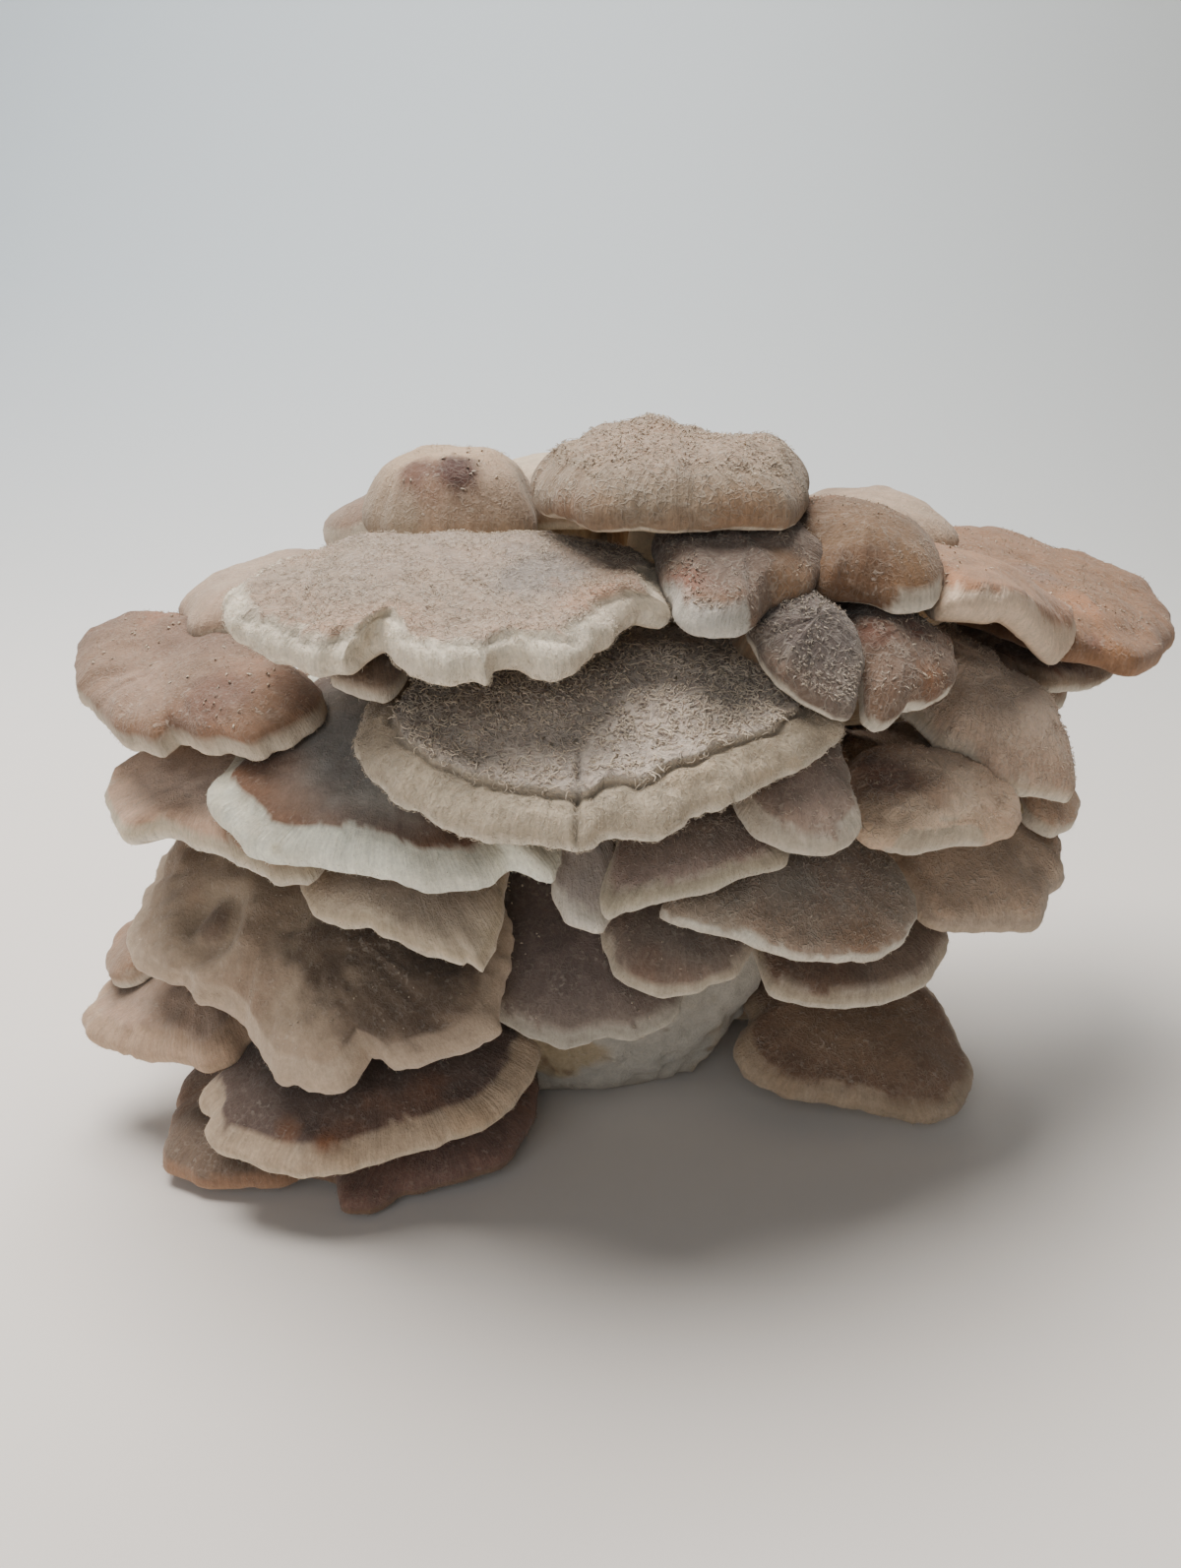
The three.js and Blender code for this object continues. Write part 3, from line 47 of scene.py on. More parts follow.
# ---------------------------------------------------------------- mushrooms
# name, normal, apex, root of the stem, stem's end, stem radius, roll radius,
# crown rise, crown exponent, pale band, seed, rim
CAPS = [
    ("cap_upper_left", (-0.036, -0.256, 0.966), (-22.2, -68.1, 153.6), (-20.6, -56.9, 156.7), (-10.3, -13.1, 119.2), 7, 4, 4, 2.4, 9, 1,
     [(-70.4, -72, 152.2), (-70.3, -77.4, 150.7), (-67.7, -83.8, 149.1), (-62.9, -89.5, 147.8), (-59, -93.8, 146.8), (-55.4, -95.7, 146.4), (-51.8, -96.2, 146.4), (-47.2, -98.6, 146), (-44.8, -97.3, 146.4), (-41.5, -99.4, 146), (-40.5, -100.3, 145.8), (-40.1, -96, 146.9), (-35.8, -92.9, 147.9), (-31.2, -98.7, 146.5), (-27.7, -103.4, 145.4), (-22.7, -106.2, 144.9), (-20.3, -106.6, 144.9), (-18, -105.4, 145.3), (-14.7, -105, 145.5), (-12.5, -106, 145.3), (-11.6, -101, 146.7), (-7.7, -98.7, 147.4), (-3.4, -102, 146.7), (-0.9, -102.8, 146.6), (2.9, -101.8, 147), (6.8, -98.8, 147.9), (9.8, -94.1, 149.3), (13.1, -88.3, 150.9), (16.1, -84.5, 152.1), (19.6, -81.8, 152.9), (22.6, -83, 152.7), (24.7, -85.1, 152.2), (24.5, -78.1, 154.1), (24.4, -57.7, 154.7), (17.7, -44.3, 155), (4.8, -35.6, 155), (-16.8, -31.5, 154.7), (-39.2, -32.7, 154.1), (-54.3, -39.7, 153.6), (-64.7, -52, 152.9)]),
    ("cap_front_centre", (0.015, -0.438, 0.899), (8.2, -78.8, 128.5), (7.8, -67.9, 133.8), (4.2, -19, 115.2), 7, 3.6, 6, 2.6, 10, 2,
     [(-41.2, -85.6, 128.3), (-42.4, -90.2, 126.1), (-40.1, -95.8, 123.3), (-36.5, -99.5, 121.4), (-31.9, -104, 119.2), (-26.7, -106.8, 117.8), (-22.4, -110, 116.1), (-17.4, -112.1, 115), (-9.5, -114.2, 113.8), (-6.6, -114.4, 113.7), (-1.7, -115.2, 113.2), (4.1, -116, 112.7), (8.3, -115.3, 113), (10.7, -112.8, 114.2), (15.9, -111.8, 114.6), (21.7, -111.8, 114.5), (25.6, -109.7, 115.4), (29.8, -106, 117.2), (35.9, -104.4, 117.9), (42.3, -99.9, 119.9), (48.9, -95.6, 121.9), (53.7, -93.1, 123), (58, -88.2, 125.4), (61.8, -85.3, 126.7), (61.2, -80.8, 128.9), (58.8, -77.8, 130.4), (54.9, -59.6, 133), (45, -47.8, 134.5), (29.6, -41.1, 135.3), (7.4, -40.1, 135.2), (-14.6, -44.6, 134.4), (-29.5, -53.7, 132.9), (-38.6, -67, 131)]),
    ("cap_front_left", (-0.11, -0.441, 0.891), (-34.7, -67.9, 113.6), (-32.2, -57.9, 118.8), (-20.1, -24.3, 106.1), 7, 3.3, 7, 2, 4.5, 3,
     [(-76.9, -68.7, 108), (-78.7, -72.3, 106), (-75.4, -77.2, 104), (-71.5, -81.8, 102.2), (-68.5, -87, 100), (-64.6, -88.5, 99.7), (-59.4, -90.3, 99.5), (-53.8, -91.3, 99.7), (-47, -94.1, 99.1), (-40.3, -96.6, 98.7), (-33.8, -98, 98.8), (-30.4, -99.8, 98.3), (-27.2, -101.3, 98), (-22, -102.1, 98.2), (-16.9, -103.2, 98.3), (-13.1, -102.5, 99.1), (-11.5, -100.6, 100.3), (-9, -98.5, 101.6), (-5.3, -99.2, 101.7), (-2.9, -102.1, 100.6), (-1.1, -102.9, 100.4), (0.1, -102.8, 100.6), (1.2, -97.7, 103.3), (4, -75.3, 114.7), (0.2, -57.9, 122.8), (-9.3, -44.3, 128.4), (-25.8, -34.7, 131.1), (-43.8, -31.5, 130.5), (-58, -36.3, 126.3), (-69, -48.2, 119.1)]),
    ("cap_under_upper_left", (-0.059, -0.337, 0.94), (-37.7, -71.4, 144.5), (-36.5, -64.7, 147), (-18.2, -14.9, 117), 7, 3, 4, 2.2, 6, 4,
     [(-48, -82.3, 140), (-43.5, -87.9, 138.3), (-38.9, -91.1, 137.4), (-35.6, -92.7, 137.1), (-32.6, -89.5, 138.4), (-30.2, -72.9, 144.5), (-29.7, -61, 148.8), (-30.8, -52.8, 151.6), (-33.8, -48.9, 152.9), (-37.6, -49.7, 152.3), (-41.2, -55.6, 150), (-44.6, -66.2, 146)]),
    ("cap_top_left", (-0.007, -0.069, 0.998), (-26.1, -10.5, 160.4), (-25.4, -3.8, 160.9), (-13, -1, 121.2), 7, 4.2, 12.5, 3.2, 3, 5,
     [(-5.1, -3.7, 161), (-8.6, 3.9, 161.6), (-14.8, 9.2, 161.9), (-24.4, 11.8, 162), (-34.3, 11.2, 161.9), (-41.5, 7.4, 161.6), (-46.4, 0.6, 161.1), (-49, -9.7, 160.3), (-49.1, -16.1, 159.9), (-46.4, -20.3, 159.6), (-43.2, -23.8, 159.4), (-40, -27.5, 159.1), (-35.2, -30.8, 159), (-28.1, -32.2, 158.9), (-21.1, -31.8, 159), (-15.1, -30.9, 159.1), (-9.7, -29.1, 159.3), (-6, -25.6, 159.5), (-4.7, -20.7, 159.8), (-4.8, -14.4, 160.3)]),
    ("cap_top_centre", (0.002, -0.035, 0.999), (27, -44.7, 172.1), (26.3, -35.3, 172.4), (12.6, -7.1, 120.9), 7, 4.5, 8.5, 3.4, 3, 6,
     [(55.9, -27.8, 172.6), (49.2, -19.2, 173), (39.2, -14.2, 173.2), (25, -13.2, 173.2), (11, -16.1, 173.1), (1.8, -22.5, 172.9), (-3.6, -32, 172.6), (-4.8, -45.3, 172.2), (-2.6, -56.1, 171.8), (0.6, -63.6, 171.5), (5, -70.1, 171.3), (11.3, -75.2, 171.1), (19.9, -76.7, 171), (29.4, -75.2, 171), (38.6, -74, 171), (47.1, -72.2, 171.1), (52.8, -66.7, 171.3), (55.4, -59.1, 171.5), (57.4, -51.5, 171.8), (58.9, -40.9, 172.2)]),
    ("cap_top_rear", (-0.003, -0.035, 0.999), (2.2, 19.2, 158.7), (2.8, 26, 159), (1.5, 6.8, 121.3), 7, 4, 9, 2.8, 4, 7,
     [(25.4, 25.4, 159), (21.6, 33.6, 159.3), (14.8, 39.1, 159.5), (4.4, 41.8, 159.5), (-6.2, 41, 159.5), (-13.9, 36.7, 159.3), (-19.1, 29.3, 159), (-21.6, 18, 158.6), (-22.5, 11.8, 158.4), (-20.9, 7.2, 158.3), (-17.3, 3.7, 158.2), (-12.6, 0.9, 158.1), (-6.9, -1, 158), (0, -1.8, 158), (6.8, -1.6, 158), (12.6, -0.8, 158.1), (17.7, 0.8, 158.2), (21.9, 3.6, 158.3), (24.8, 7.6, 158.4), (26, 13.8, 158.6)]),
    ("cap_left_upper", (-0.231, -0.295, 0.927), (-89.1, -41.2, 124.8), (-84.9, -35.8, 127.6), (-38, -5.4, 108.9), 7, 3.4, 6, 2.6, 3, 8,
     [(-115.4, -6.4, 130.4), (-122.2, -10.1, 127.6), (-123.1, -19.3, 124.4), (-119, -32.8, 121.1), (-112.7, -44.1, 119.1), (-106.2, -53.6, 117.7), (-100.7, -61.6, 116.5), (-95.3, -64.3, 117), (-90, -68.1, 117.1), (-88.7, -67.2, 117.7), (-87.7, -64, 119), (-83, -67.4, 119.1), (-79.1, -71.4, 118.8), (-73.4, -73.1, 119.7), (-68, -77.4, 119.6), (-64.6, -78.8, 120), (-62.1, -77.1, 121.2), (-58.8, -76.4, 122.2), (-54.5, -72.9, 124.4), (-52.1, -65.2, 125.1), (-55, -55.1, 126), (-62.3, -42.6, 127.1), (-75.1, -27.1, 128.5), (-89.2, -13.2, 129.8), (-100.3, -5.5, 130.5), (-109.1, -3, 130.7)]),
    ("cap_left_rear_upper", (-0.234, -0.063, 0.97), (-73.6, -12.2, 138.8), (-66.8, -10.4, 140.5), (-31.6, -2, 114.2), 7, 4, 6, 2.6, 8, 9,
     [(-58.6, -32.2, 141.1), (-52.4, -25.7, 143), (-49.7, -17.2, 144.2), (-50.9, -6.2, 144.6), (-55.4, 3.9, 144.2), (-61.9, 9.9, 143), (-70.5, 12.5, 141.1), (-81.7, 11.2, 138.3), (-88.9, 8.9, 136.5), (-92.3, 4.2, 135.4), (-94, -0.7, 134.6), (-96.9, -5.2, 133.6), (-98, -11.1, 133), (-95.3, -17.8, 133.2), (-92.9, -24, 133.3), (-91.2, -30.5, 133.4), (-87.1, -34.7, 134.1), (-81.6, -35.2, 135.3), (-76.3, -35.9, 136.6), (-68.9, -36.6, 138.4)]),
    ("cap_left_middle", (-0.196, -0.28, 0.94), (-73.4, -47.8, 103.2), (-68.2, -40.3, 106.5), (-42.5, -16.9, 93.7), 7, 3.2, 4, 2.2, 5, 10,
     [(-108.8, -33.3, 100.1), (-112.4, -35.3, 98.7), (-112.1, -41.4, 97), (-108.5, -50.6, 95), (-104, -58.8, 93.5), (-100.5, -62.4, 93.1), (-97.9, -63.5, 93.4), (-95.1, -61.9, 94.4), (-89.9, -64.4, 94.8), (-82.6, -71, 94.3), (-73.8, -77.6, 94.2), (-65.7, -84.6, 93.8), (-60, -88.6, 93.8), (-56, -89.3, 94.4), (-52.8, -87.7, 95.6), (-43.2, -69.6, 103), (-40.7, -53.2, 108.4), (-44.2, -38, 112.2), (-54.9, -23.5, 114.2), (-69, -13.9, 114.2), (-82.4, -12.7, 111.7), (-95.5, -18.7, 107.2)]),
    ("cap_lower_left", (-0.204, -0.505, 0.839), (-58.8, -51.6, 66.7), (-54.6, -41.4, 73.8), (-40.1, -24.4, 64.8), 7, 2.8, 11, 2.2, 3, 11,
     [(-103.1, -24.3, 72.3), (-107.1, -32.8, 66.2), (-108.4, -39, 62.2), (-109.2, -45.2, 58.2), (-106.8, -51.5, 55), (-102.2, -55.8, 53.6), (-96.6, -58.9, 53.1), (-91.5, -62, 52.5), (-86.2, -66.2, 51.2), (-79.7, -70.2, 50.4), (-74, -74.9, 48.9), (-70.5, -79.2, 47.2), (-67.9, -84.2, 44.9), (-64.8, -88.4, 43.1), (-59.9, -90.4, 43), (-55.5, -92.3, 43), (-51.6, -93.6, 43.1), (-47.6, -93.1, 44.4), (-44.8, -90, 47), (-42.6, -87, 49.3), (-38.4, -89.9, 48.6), (-33.5, -92.2, 48.4), (-28.1, -91.7, 50), (-21.4, -90.7, 52.2), (-15.3, -89.3, 54.6), (-12, -87.3, 56.5), (-13, -83, 58.9), (-10.3, -67.3, 69), (-15.1, -52.3, 76.9), (-26.3, -37.5, 83), (-45.4, -22.5, 87.4), (-66.2, -11.6, 89), (-82.2, -8.6, 86.9), (-94.6, -12.5, 81.5)]),
    ("cap_left_low", (-0.312, -0.261, 0.913), (-90.1, -33.7, 41.5), (-82.6, -27.4, 45.8), (-45.5, -8.5, 30.7), 7, 2.8, 6, 2.2, 5, 12,
     [(-123, -22.8, 33.4), (-126.1, -28.7, 30.6), (-128.1, -34.6, 28.3), (-124.6, -40.6, 27.7), (-117.9, -46.9, 28.2), (-110.2, -52.1, 29.3), (-101.6, -57.2, 30.8), (-94, -61, 32.3), (-88.3, -66, 32.8), (-85.4, -67.6, 33.3), (-80.2, -66, 35.6), (-77.1, -61.1, 38), (-63.1, -46.9, 46.9), (-56.9, -34.4, 52.6), (-57.2, -23, 55.7), (-65.1, -12.6, 56), (-77.5, -6, 53.7), (-91.1, -5.8, 49.1), (-106, -11.1, 42.5)]),
    ("cap_left_low_rear", (-0.397, -0.144, 0.906), (-104.3, -21.7, 49.6), (-98.2, -19.5, 52.6), (-47.8, -4.1, 35.2), 7, 2.6, 5, 2.2, 3, 13,
     [(-121.5, -14.8, 43.1), (-122.1, -23.2, 41.5), (-120.4, -30.7, 41.1), (-114.5, -38.5, 42.4), (-99.7, -32.3, 49.9), (-90, -26.3, 55.1), (-84.6, -20.3, 58.4), (-84, -14.3, 59.7), (-87.7, -9.8, 58.7), (-95.3, -8.6, 55.6), (-106.3, -10.1, 50.6)]),
    ("cap_foot_left", (-0.059, -0.337, 0.94), (-44.3, -54.4, 33.8), (-42.2, -42.3, 38.3), (-30.9, -24.9, 30), 7, 3, 8, 2.4, 5, 14,
     [(-82.1, -59.2, 29.7), (-86.3, -64.7, 27.5), (-87.9, -70, 25.4), (-84.1, -75.4, 23.8), (-85.1, -79.7, 22.1), (-82.6, -83.7, 20.9), (-75.9, -86.6, 20.3), (-68.6, -89.1, 19.8), (-59, -91.1, 19.7), (-50.4, -91.4, 20.2), (-47, -90.1, 20.8), (-43.8, -89.2, 21.4), (-38.4, -87.7, 22.3), (-32, -86.5, 23.1), (-25.2, -83.9, 24.5), (-18.4, -80.4, 26.1), (-11.6, -74.5, 28.7), (-6.8, -68, 31.3), (-4.6, -60.3, 34.2), (-7.1, -55.7, 35.7), (-6.3, -37, 42.4), (-11.1, -24.5, 46.6), (-21, -16.9, 48.7), (-37.1, -14.9, 48.4), (-54.1, -18.5, 46.1), (-66.9, -27.1, 42.2), (-76.3, -40.3, 36.8)]),
    ("cap_foot_front", (0.015, -0.138, 0.99), (-35.7, -42.6, 9.4), (-36.9, -31.1, 11.1), (-26.6, -17.7, 14), 7, 2.4, 5, 2.2, 2.5, 15,
     [(-66.1, -68.5, 6.3), (-55.8, -73.4, 5.4), (-53, -82.8, 4.1), (-46.8, -82.7, 4), (-42.5, -81.3, 4.1), (-40.5, -77.4, 4.6), (-33.4, -74.5, 4.9), (-21.9, -70.9, 5.3), (-15.3, -67.2, 5.7), (-10, -58.6, 6.8), (-6.2, -46.5, 8.4), (-5.7, -33.6, 10.2), (-9.7, -15.6, 12.8), (-16.8, -5.8, 14.3), (-26.8, -2.9, 14.9), (-40.4, -7.8, 14.4), (-53.5, -18.3, 13.1), (-61.8, -31.8, 11.3), (-66.1, -48.2, 9.1)]),
    ("cap_foot_left_outer", (-0.104, -0.18, 0.978), (-76.5, -42.7, 12), (-71.4, -33.9, 14.1), (-37, -8.8, 17), 7, 2.5, 6, 2.2, 2.5, 16,
     [(-101.1, -33.4, 11.1), (-103, -39.9, 9.7), (-101.6, -52.2, 7.5), (-100.2, -64.7, 5.4), (-96.8, -68.8, 5), (-90.1, -72.4, 5), (-81.9, -74.5, 5.5), (-72.5, -75.9, 6.3), (-66.1, -74.9, 7.1), (-62.5, -71.8, 8.1), (-53.8, -53.3, 12.4), (-50.7, -37.9, 15.6), (-52.2, -24.7, 17.9), (-59.3, -13.6, 19.1), (-69.3, -7.7, 19.2), (-79.4, -9.3, 17.8), (-89.9, -17.4, 15.2)]),
    ("cap_mid_lower_left", (-0.104, -0.489, 0.866), (-32.3, -69.7, 91.8), (-30.7, -62.2, 96.2), (-20.5, -30.5, 85), 7, 2.9, 4, 2.2, 4.5, 17,
     [(-56.5, -69.1, 89.2), (-58.5, -74.2, 86.1), (-55.8, -79.5, 83.4), (-51.9, -82.5, 82.2), (-46.9, -84.8, 81.5), (-41.9, -85.1, 81.9), (-39.3, -87.3, 81), (-35.1, -89.8, 80.1), (-30.5, -92.8, 78.9), (-26, -94.6, 78.4), (-20.7, -97.1, 77.7), (-18.1, -96.2, 78.5), (-16.5, -99.3, 76.9), (-14.1, -96.2, 79), (-12.2, -89.1, 83.2), (-10.5, -73.5, 92.2), (-12.5, -61.3, 98.9), (-17.8, -51.9, 103.6), (-27.2, -45.2, 106.2), (-37.4, -43, 106.2), (-45.5, -46.4, 103.3), (-51.9, -54.7, 97.9)]),
    ("cap_low_centre", (0.022, -0.642, 0.766), (5.2, -53.6, 64.4), (4.9, -45.6, 71.2), (4, -32.8, 65), 7, 2.6, 7, 2.4, 2.5, 18,
     [(-15, -50.5, 67.6), (-18, -56.3, 62.8), (-20, -60.8, 59.1), (-19.7, -65.3, 55.3), (-17.8, -69, 52.2), (-14.1, -72.1, 49.5), (-9.3, -74.2, 47.6), (-3.6, -75.7, 46.1), (2.2, -76.9, 45), (7.4, -76.1, 45.5), (9.4, -74.7, 46.6), (17.4, -74.5, 46.5), (23.2, -73.3, 47.4), (27.1, -71.4, 48.8), (29.9, -68, 51.6), (30.6, -63.7, 55.2), (28.6, -50.4, 66.4), (24, -40.3, 75), (16.9, -32.8, 81.5), (6.8, -28, 85.8), (-3.3, -27, 87), (-10, -30.5, 84.2), (-14, -38.1, 78)]),
    ("cap_narrow_front", (0, -0.574, 0.819), (6.4, -79, 99.5), (6.4, -72.2, 104.2), (4, -30.3, 91.5), 7, 2.5, 6, 2, 4.5, 19,
     [(0.1, -84.3, 95.8), (0, -88.9, 92.6), (-0.4, -90.5, 91.4), (1.7, -95.1, 88.2), (5, -97.4, 86.6), (8.4, -98.8, 85.6), (11.3, -97.7, 86.4), (12.7, -94, 89), (12.8, -87.8, 93.3), (12.4, -74.7, 102.5), (11.2, -65.4, 109), (9.2, -59.3, 113.3), (6.5, -56.6, 115.2), (3.7, -57.7, 114.4), (1.7, -62.8, 110.8), (0.5, -71.4, 104.8)]),
    ("cap_mid_front", (0.065, -0.465, 0.883), (29.1, -78.9, 105.3), (28.1, -71.7, 109.2), (17.1, -28.7, 96), 7, 2.8, 5, 2.2, 4.5, 20,
     [(13.6, -88.7, 101.4), (11.4, -95.6, 97.9), (10.5, -100.9, 95.1), (12, -104.5, 93.1), (14.3, -103.6, 93.4), (20.4, -101.6, 94.1), (28.8, -98.9, 94.9), (37.5, -94.5, 96.5), (42.5, -92.1, 97.4), (49.7, -90.3, 97.8), (51.4, -89.1, 98.3), (51.5, -86.8, 99.6), (49.1, -83.6, 101.4), (46, -69.9, 108.9), (41.3, -60.8, 114), (35.1, -55.6, 117.2), (27, -54.7, 118.3), (19.4, -57.8, 117.2), (14.9, -64.6, 114), (12.8, -74.6, 108.8)]),
    ("cap_lower_front_right", (0.078, -0.554, 0.829), (27, -68.6, 79.7), (26, -61.8, 84.3), (17.7, -31.5, 73.5), 7, 2.5, 5, 2.3, 4.5, 21,
     [(10.4, -76.5, 75.9), (12.1, -81.8, 72.2), (13.5, -85.8, 69.4), (17.1, -88.5, 67.3), (21.4, -89.7, 66.1), (25.7, -89.8, 65.6), (32.4, -88.3, 66), (38.1, -86, 67), (41.9, -83.6, 68.2), (44.3, -80.1, 70.4), (46.5, -74.6, 73.8), (43.5, -61.6, 82.7), (38.8, -52.9, 89.1), (32.5, -47.5, 93.2), (24.3, -46, 95), (16.6, -48.3, 94.2), (11.9, -54.2, 90.7), (9.7, -63.4, 84.8)]),
    ("cap_right_front_low", (0.161, -0.441, 0.883), (50.6, -62.9, 90.8), (47.2, -53.6, 96.1), (32.2, -27.3, 85.3), 7, 2.5, 7, 2.2, 2.5, 22,
     [(27.4, -80, 86.5), (23.3, -84.1, 85.2), (25.9, -86.3, 83.6), (30.6, -87, 82.4), (37.3, -87.3, 81.1), (43.8, -89, 79), (52, -91, 76.5), (57.5, -91.6, 75.2), (65.2, -89.8, 74.7), (72, -88, 74.4), (77.5, -84, 75.3), (81.4, -80.3, 76.5), (83.5, -74.8, 78.9), (82.8, -69.7, 81.5), (74.1, -51, 92.5), (64, -38.9, 100.4), (52.7, -32.2, 105.7), (39.4, -31.7, 108.4), (28.2, -36.8, 107.9), (22.7, -46.5, 104), (22.2, -60.6, 97.1)]),
    ("cap_right_lowest_front", (0.178, -0.401, 0.899), (68.2, -42.5, 66.1), (64.4, -34, 70.6), (45.6, -18.7, 60.7), 7, 2.5, 6, 2.4, 4, 23,
     [(48.6, -60.2, 62.1), (50.4, -68.6, 58), (54.9, -71.7, 55.7), (61.7, -72.7, 53.9), (71.3, -70.9, 52.8), (82, -66.2, 52.8), (89.8, -60.4, 53.8), (95.3, -53.8, 55.7), (98.1, -48, 57.7), (97.9, -43.1, 59.9), (88.9, -26.9, 68.9), (79.1, -17.1, 75.2), (68.5, -12.5, 79.4), (56.5, -13.8, 81.2), (46.7, -20.1, 80.3), (42.4, -29.9, 76.8), (42.8, -42.9, 70.9)]),
    ("cap_right_front_small", (0.149, -0.597, 0.788), (50.3, -80.3, 118.4), (48.8, -74.4, 123.2), (26.3, -21.6, 107.6), 7, 2.5, 6, 2, 5, 24,
     [(38.8, -89.8, 113.4), (41.3, -94.5, 109.4), (44.5, -97.1, 106.8), (49.8, -97.7, 105.3), (53.9, -97.8, 104.5), (59.4, -97, 104), (63.6, -95, 104.8), (65.8, -92, 106.6), (65, -88.8, 109.2), (64.4, -83.2, 113.5), (60.7, -71.9, 122.8), (56.3, -64.7, 129.1), (51.2, -60.8, 133.1), (45.1, -60.5, 134.4), (39.9, -63.7, 133), (37.3, -69.6, 129), (36.8, -78.1, 122.6)]),
    ("cap_right_torn", (0.235, -0.442, 0.866), (85.9, -66.5, 104.5), (83.9, -62.7, 107), (43.6, -16.3, 90.7), 7, 2.6, 6, 2, 3, 25,
     [(68.8, -69.8, 107.5), (67.9, -78.9, 103.1), (70.1, -82.3, 100.7), (73.9, -82.3, 99.7), (78.7, -81.7, 98.7), (84.4, -79.6, 98.2), (91.4, -76, 98.2), (97.7, -74.1, 97.4), (103.9, -70.8, 97.5), (107.6, -66.2, 98.8), (107.4, -60.8, 101.6), (103.4, -56, 105.1), (97.9, -53.4, 107.9), (90.9, -52.6, 110.2), (82, -53.8, 112), (73.9, -56.6, 112.8), (69.2, -60.1, 112.3), (67.4, -64.5, 110.6)]),
    ("cap_right_low", (0.254, -0.376, 0.891), (99.4, -29.7, 83.3), (93.6, -21.2, 88.6), (50.4, -6.1, 73), 7, 2.6, 8, 2.2, 4, 26,
     [(86.5, -60.5, 74), (89.8, -64.9, 71.2), (97, -63.4, 69.8), (106, -60.9, 68.3), (114.3, -58.5, 66.9), (118.6, -55.1, 67.1), (121.9, -48, 69.2), (127, -40.7, 70.8), (129.9, -32.8, 73.3), (130, -24.5, 76.8), (116.3, -7.4, 87.9), (103.7, 1.7, 95.4), (91.8, 4.1, 99.8), (80.4, -1.1, 100.8), (72.6, -11.8, 98.5), (71.3, -25.1, 93.3), (75.6, -41, 85.3)]),
    ("cap_right_middle", (0.383, -0.321, 0.866), (95.8, -33.2, 119.2), (87.6, -26.4, 125.3), (39.8, -4.2, 106.8), 7, 3, 13, 2.2, 4, 27,
     [(87.2, -51.2, 116.3), (91, -56.5, 112.7), (96.1, -55.2, 110.9), (99.5, -56.7, 108.8), (100.9, -60.5, 106.7), (105.9, -60.1, 104.7), (111.1, -58.1, 103.2), (116.7, -55.7, 101.6), (121.1, -55, 99.9), (123.7, -53, 99.5), (125.3, -42.8, 102.5), (126.2, -31.5, 106.4), (108.5, -18.4, 119.1), (93.5, -10.8, 128.5), (80.6, -7.9, 135.3), (69.6, -10.2, 139.3), (63.4, -16.6, 139.7), (64.5, -25.5, 135.9), (72.1, -36.8, 128.3)]),
    ("cap_right_middle_under", (0.312, -0.261, 0.913), (115.5, -24, 94.7), (109.7, -19.2, 98.1), (49.8, -3.1, 79.6), 7, 3, 5, 2.2, 5, 28,
     [(116.5, -33.1, 91.8), (118.8, -39.6, 89.1), (122.3, -41.8, 87.3), (126.3, -41.5, 86), (131.3, -34.8, 86.2), (133, -28.4, 87.5), (120.1, -18.1, 94.8), (110, -11.5, 100.2), (102.2, -7.7, 103.9), (96.7, -7.2, 105.9), (94.9, -9.8, 105.8), (97.7, -15, 103.3), (104.7, -22.6, 98.8)]),
    ("cap_right_shoulder_inner", (0.211, -0.579, 0.788), (53.5, -77.1, 144), (51.8, -72.5, 147.8), (24.5, -13.8, 115.6), 7, 2.6, 5, 2.2, 1.5, 29,
     [(42.9, -83.1, 144.4), (47.6, -87.8, 139.8), (52.5, -90.6, 136.4), (57.1, -92, 134.1), (59.8, -92.7, 132.9), (62.5, -92.1, 132.6), (64.5, -86.4, 136.3), (66, -80.7, 140.1), (64.6, -75, 144.6), (61.2, -67.6, 148.2), (57.2, -63.2, 150.6), (52.7, -61.2, 152.2), (47.5, -61.9, 152.7), (43.1, -64.8, 152.1), (41, -69.3, 150.5), (40.9, -75.2, 148)]),
    ("cap_right_shoulder_mid", (0.276, -0.519, 0.809), (73.8, -66.7, 138.7), (71.6, -62.6, 142.1), (32, -9.4, 113.1), 7, 2.6, 5.5, 2.2, 2, 30,
     [(65.2, -77.7, 136.7), (66.5, -82, 133.5), (66.7, -85.1, 131.4), (68.1, -87.3, 129.5), (69.7, -87.5, 128.9), (73.4, -84.6, 129.5), (76.6, -80.4, 131.1), (80.9, -78, 131.1), (85.6, -74.2, 132), (88.4, -69.3, 134.2), (88.2, -63, 138.3), (82.9, -54.7, 142.2), (77.5, -50.2, 144.8), (72, -48.7, 146.3), (66.3, -50.7, 146.5), (61.8, -55.2, 145.6), (60.3, -61.2, 143.6), (61.3, -68.5, 140.7)]),
    ("cap_upper_right_inner", (0.083, -0.332, 0.94), (39, -65.4, 158.9), (37.2, -58.1, 161.7), (17.8, -11.6, 118.7), 7, 2.8, 6.5, 2.6, 1.5, 31,
     [(22.5, -68, 159.5), (23.7, -75.8, 156.6), (24.7, -82.2, 154.3), (25.8, -88.5, 151.9), (28.6, -91.9, 150.5), (32.6, -92.6, 149.9), (37.1, -90.8, 150.1), (41.5, -87, 151.1), (45.5, -79.8, 153.3), (49.8, -76.8, 154), (53.8, -74.6, 154.4), (57.5, -69.1, 156), (59.8, -59.5, 159.2), (56.4, -50.9, 162.5), (51.3, -45.7, 164.8), (44.7, -43.1, 166.3), (36.2, -43.7, 166.8), (28.3, -46.9, 166.4), (23.6, -52, 165), (21.5, -58.9, 162.8)]),
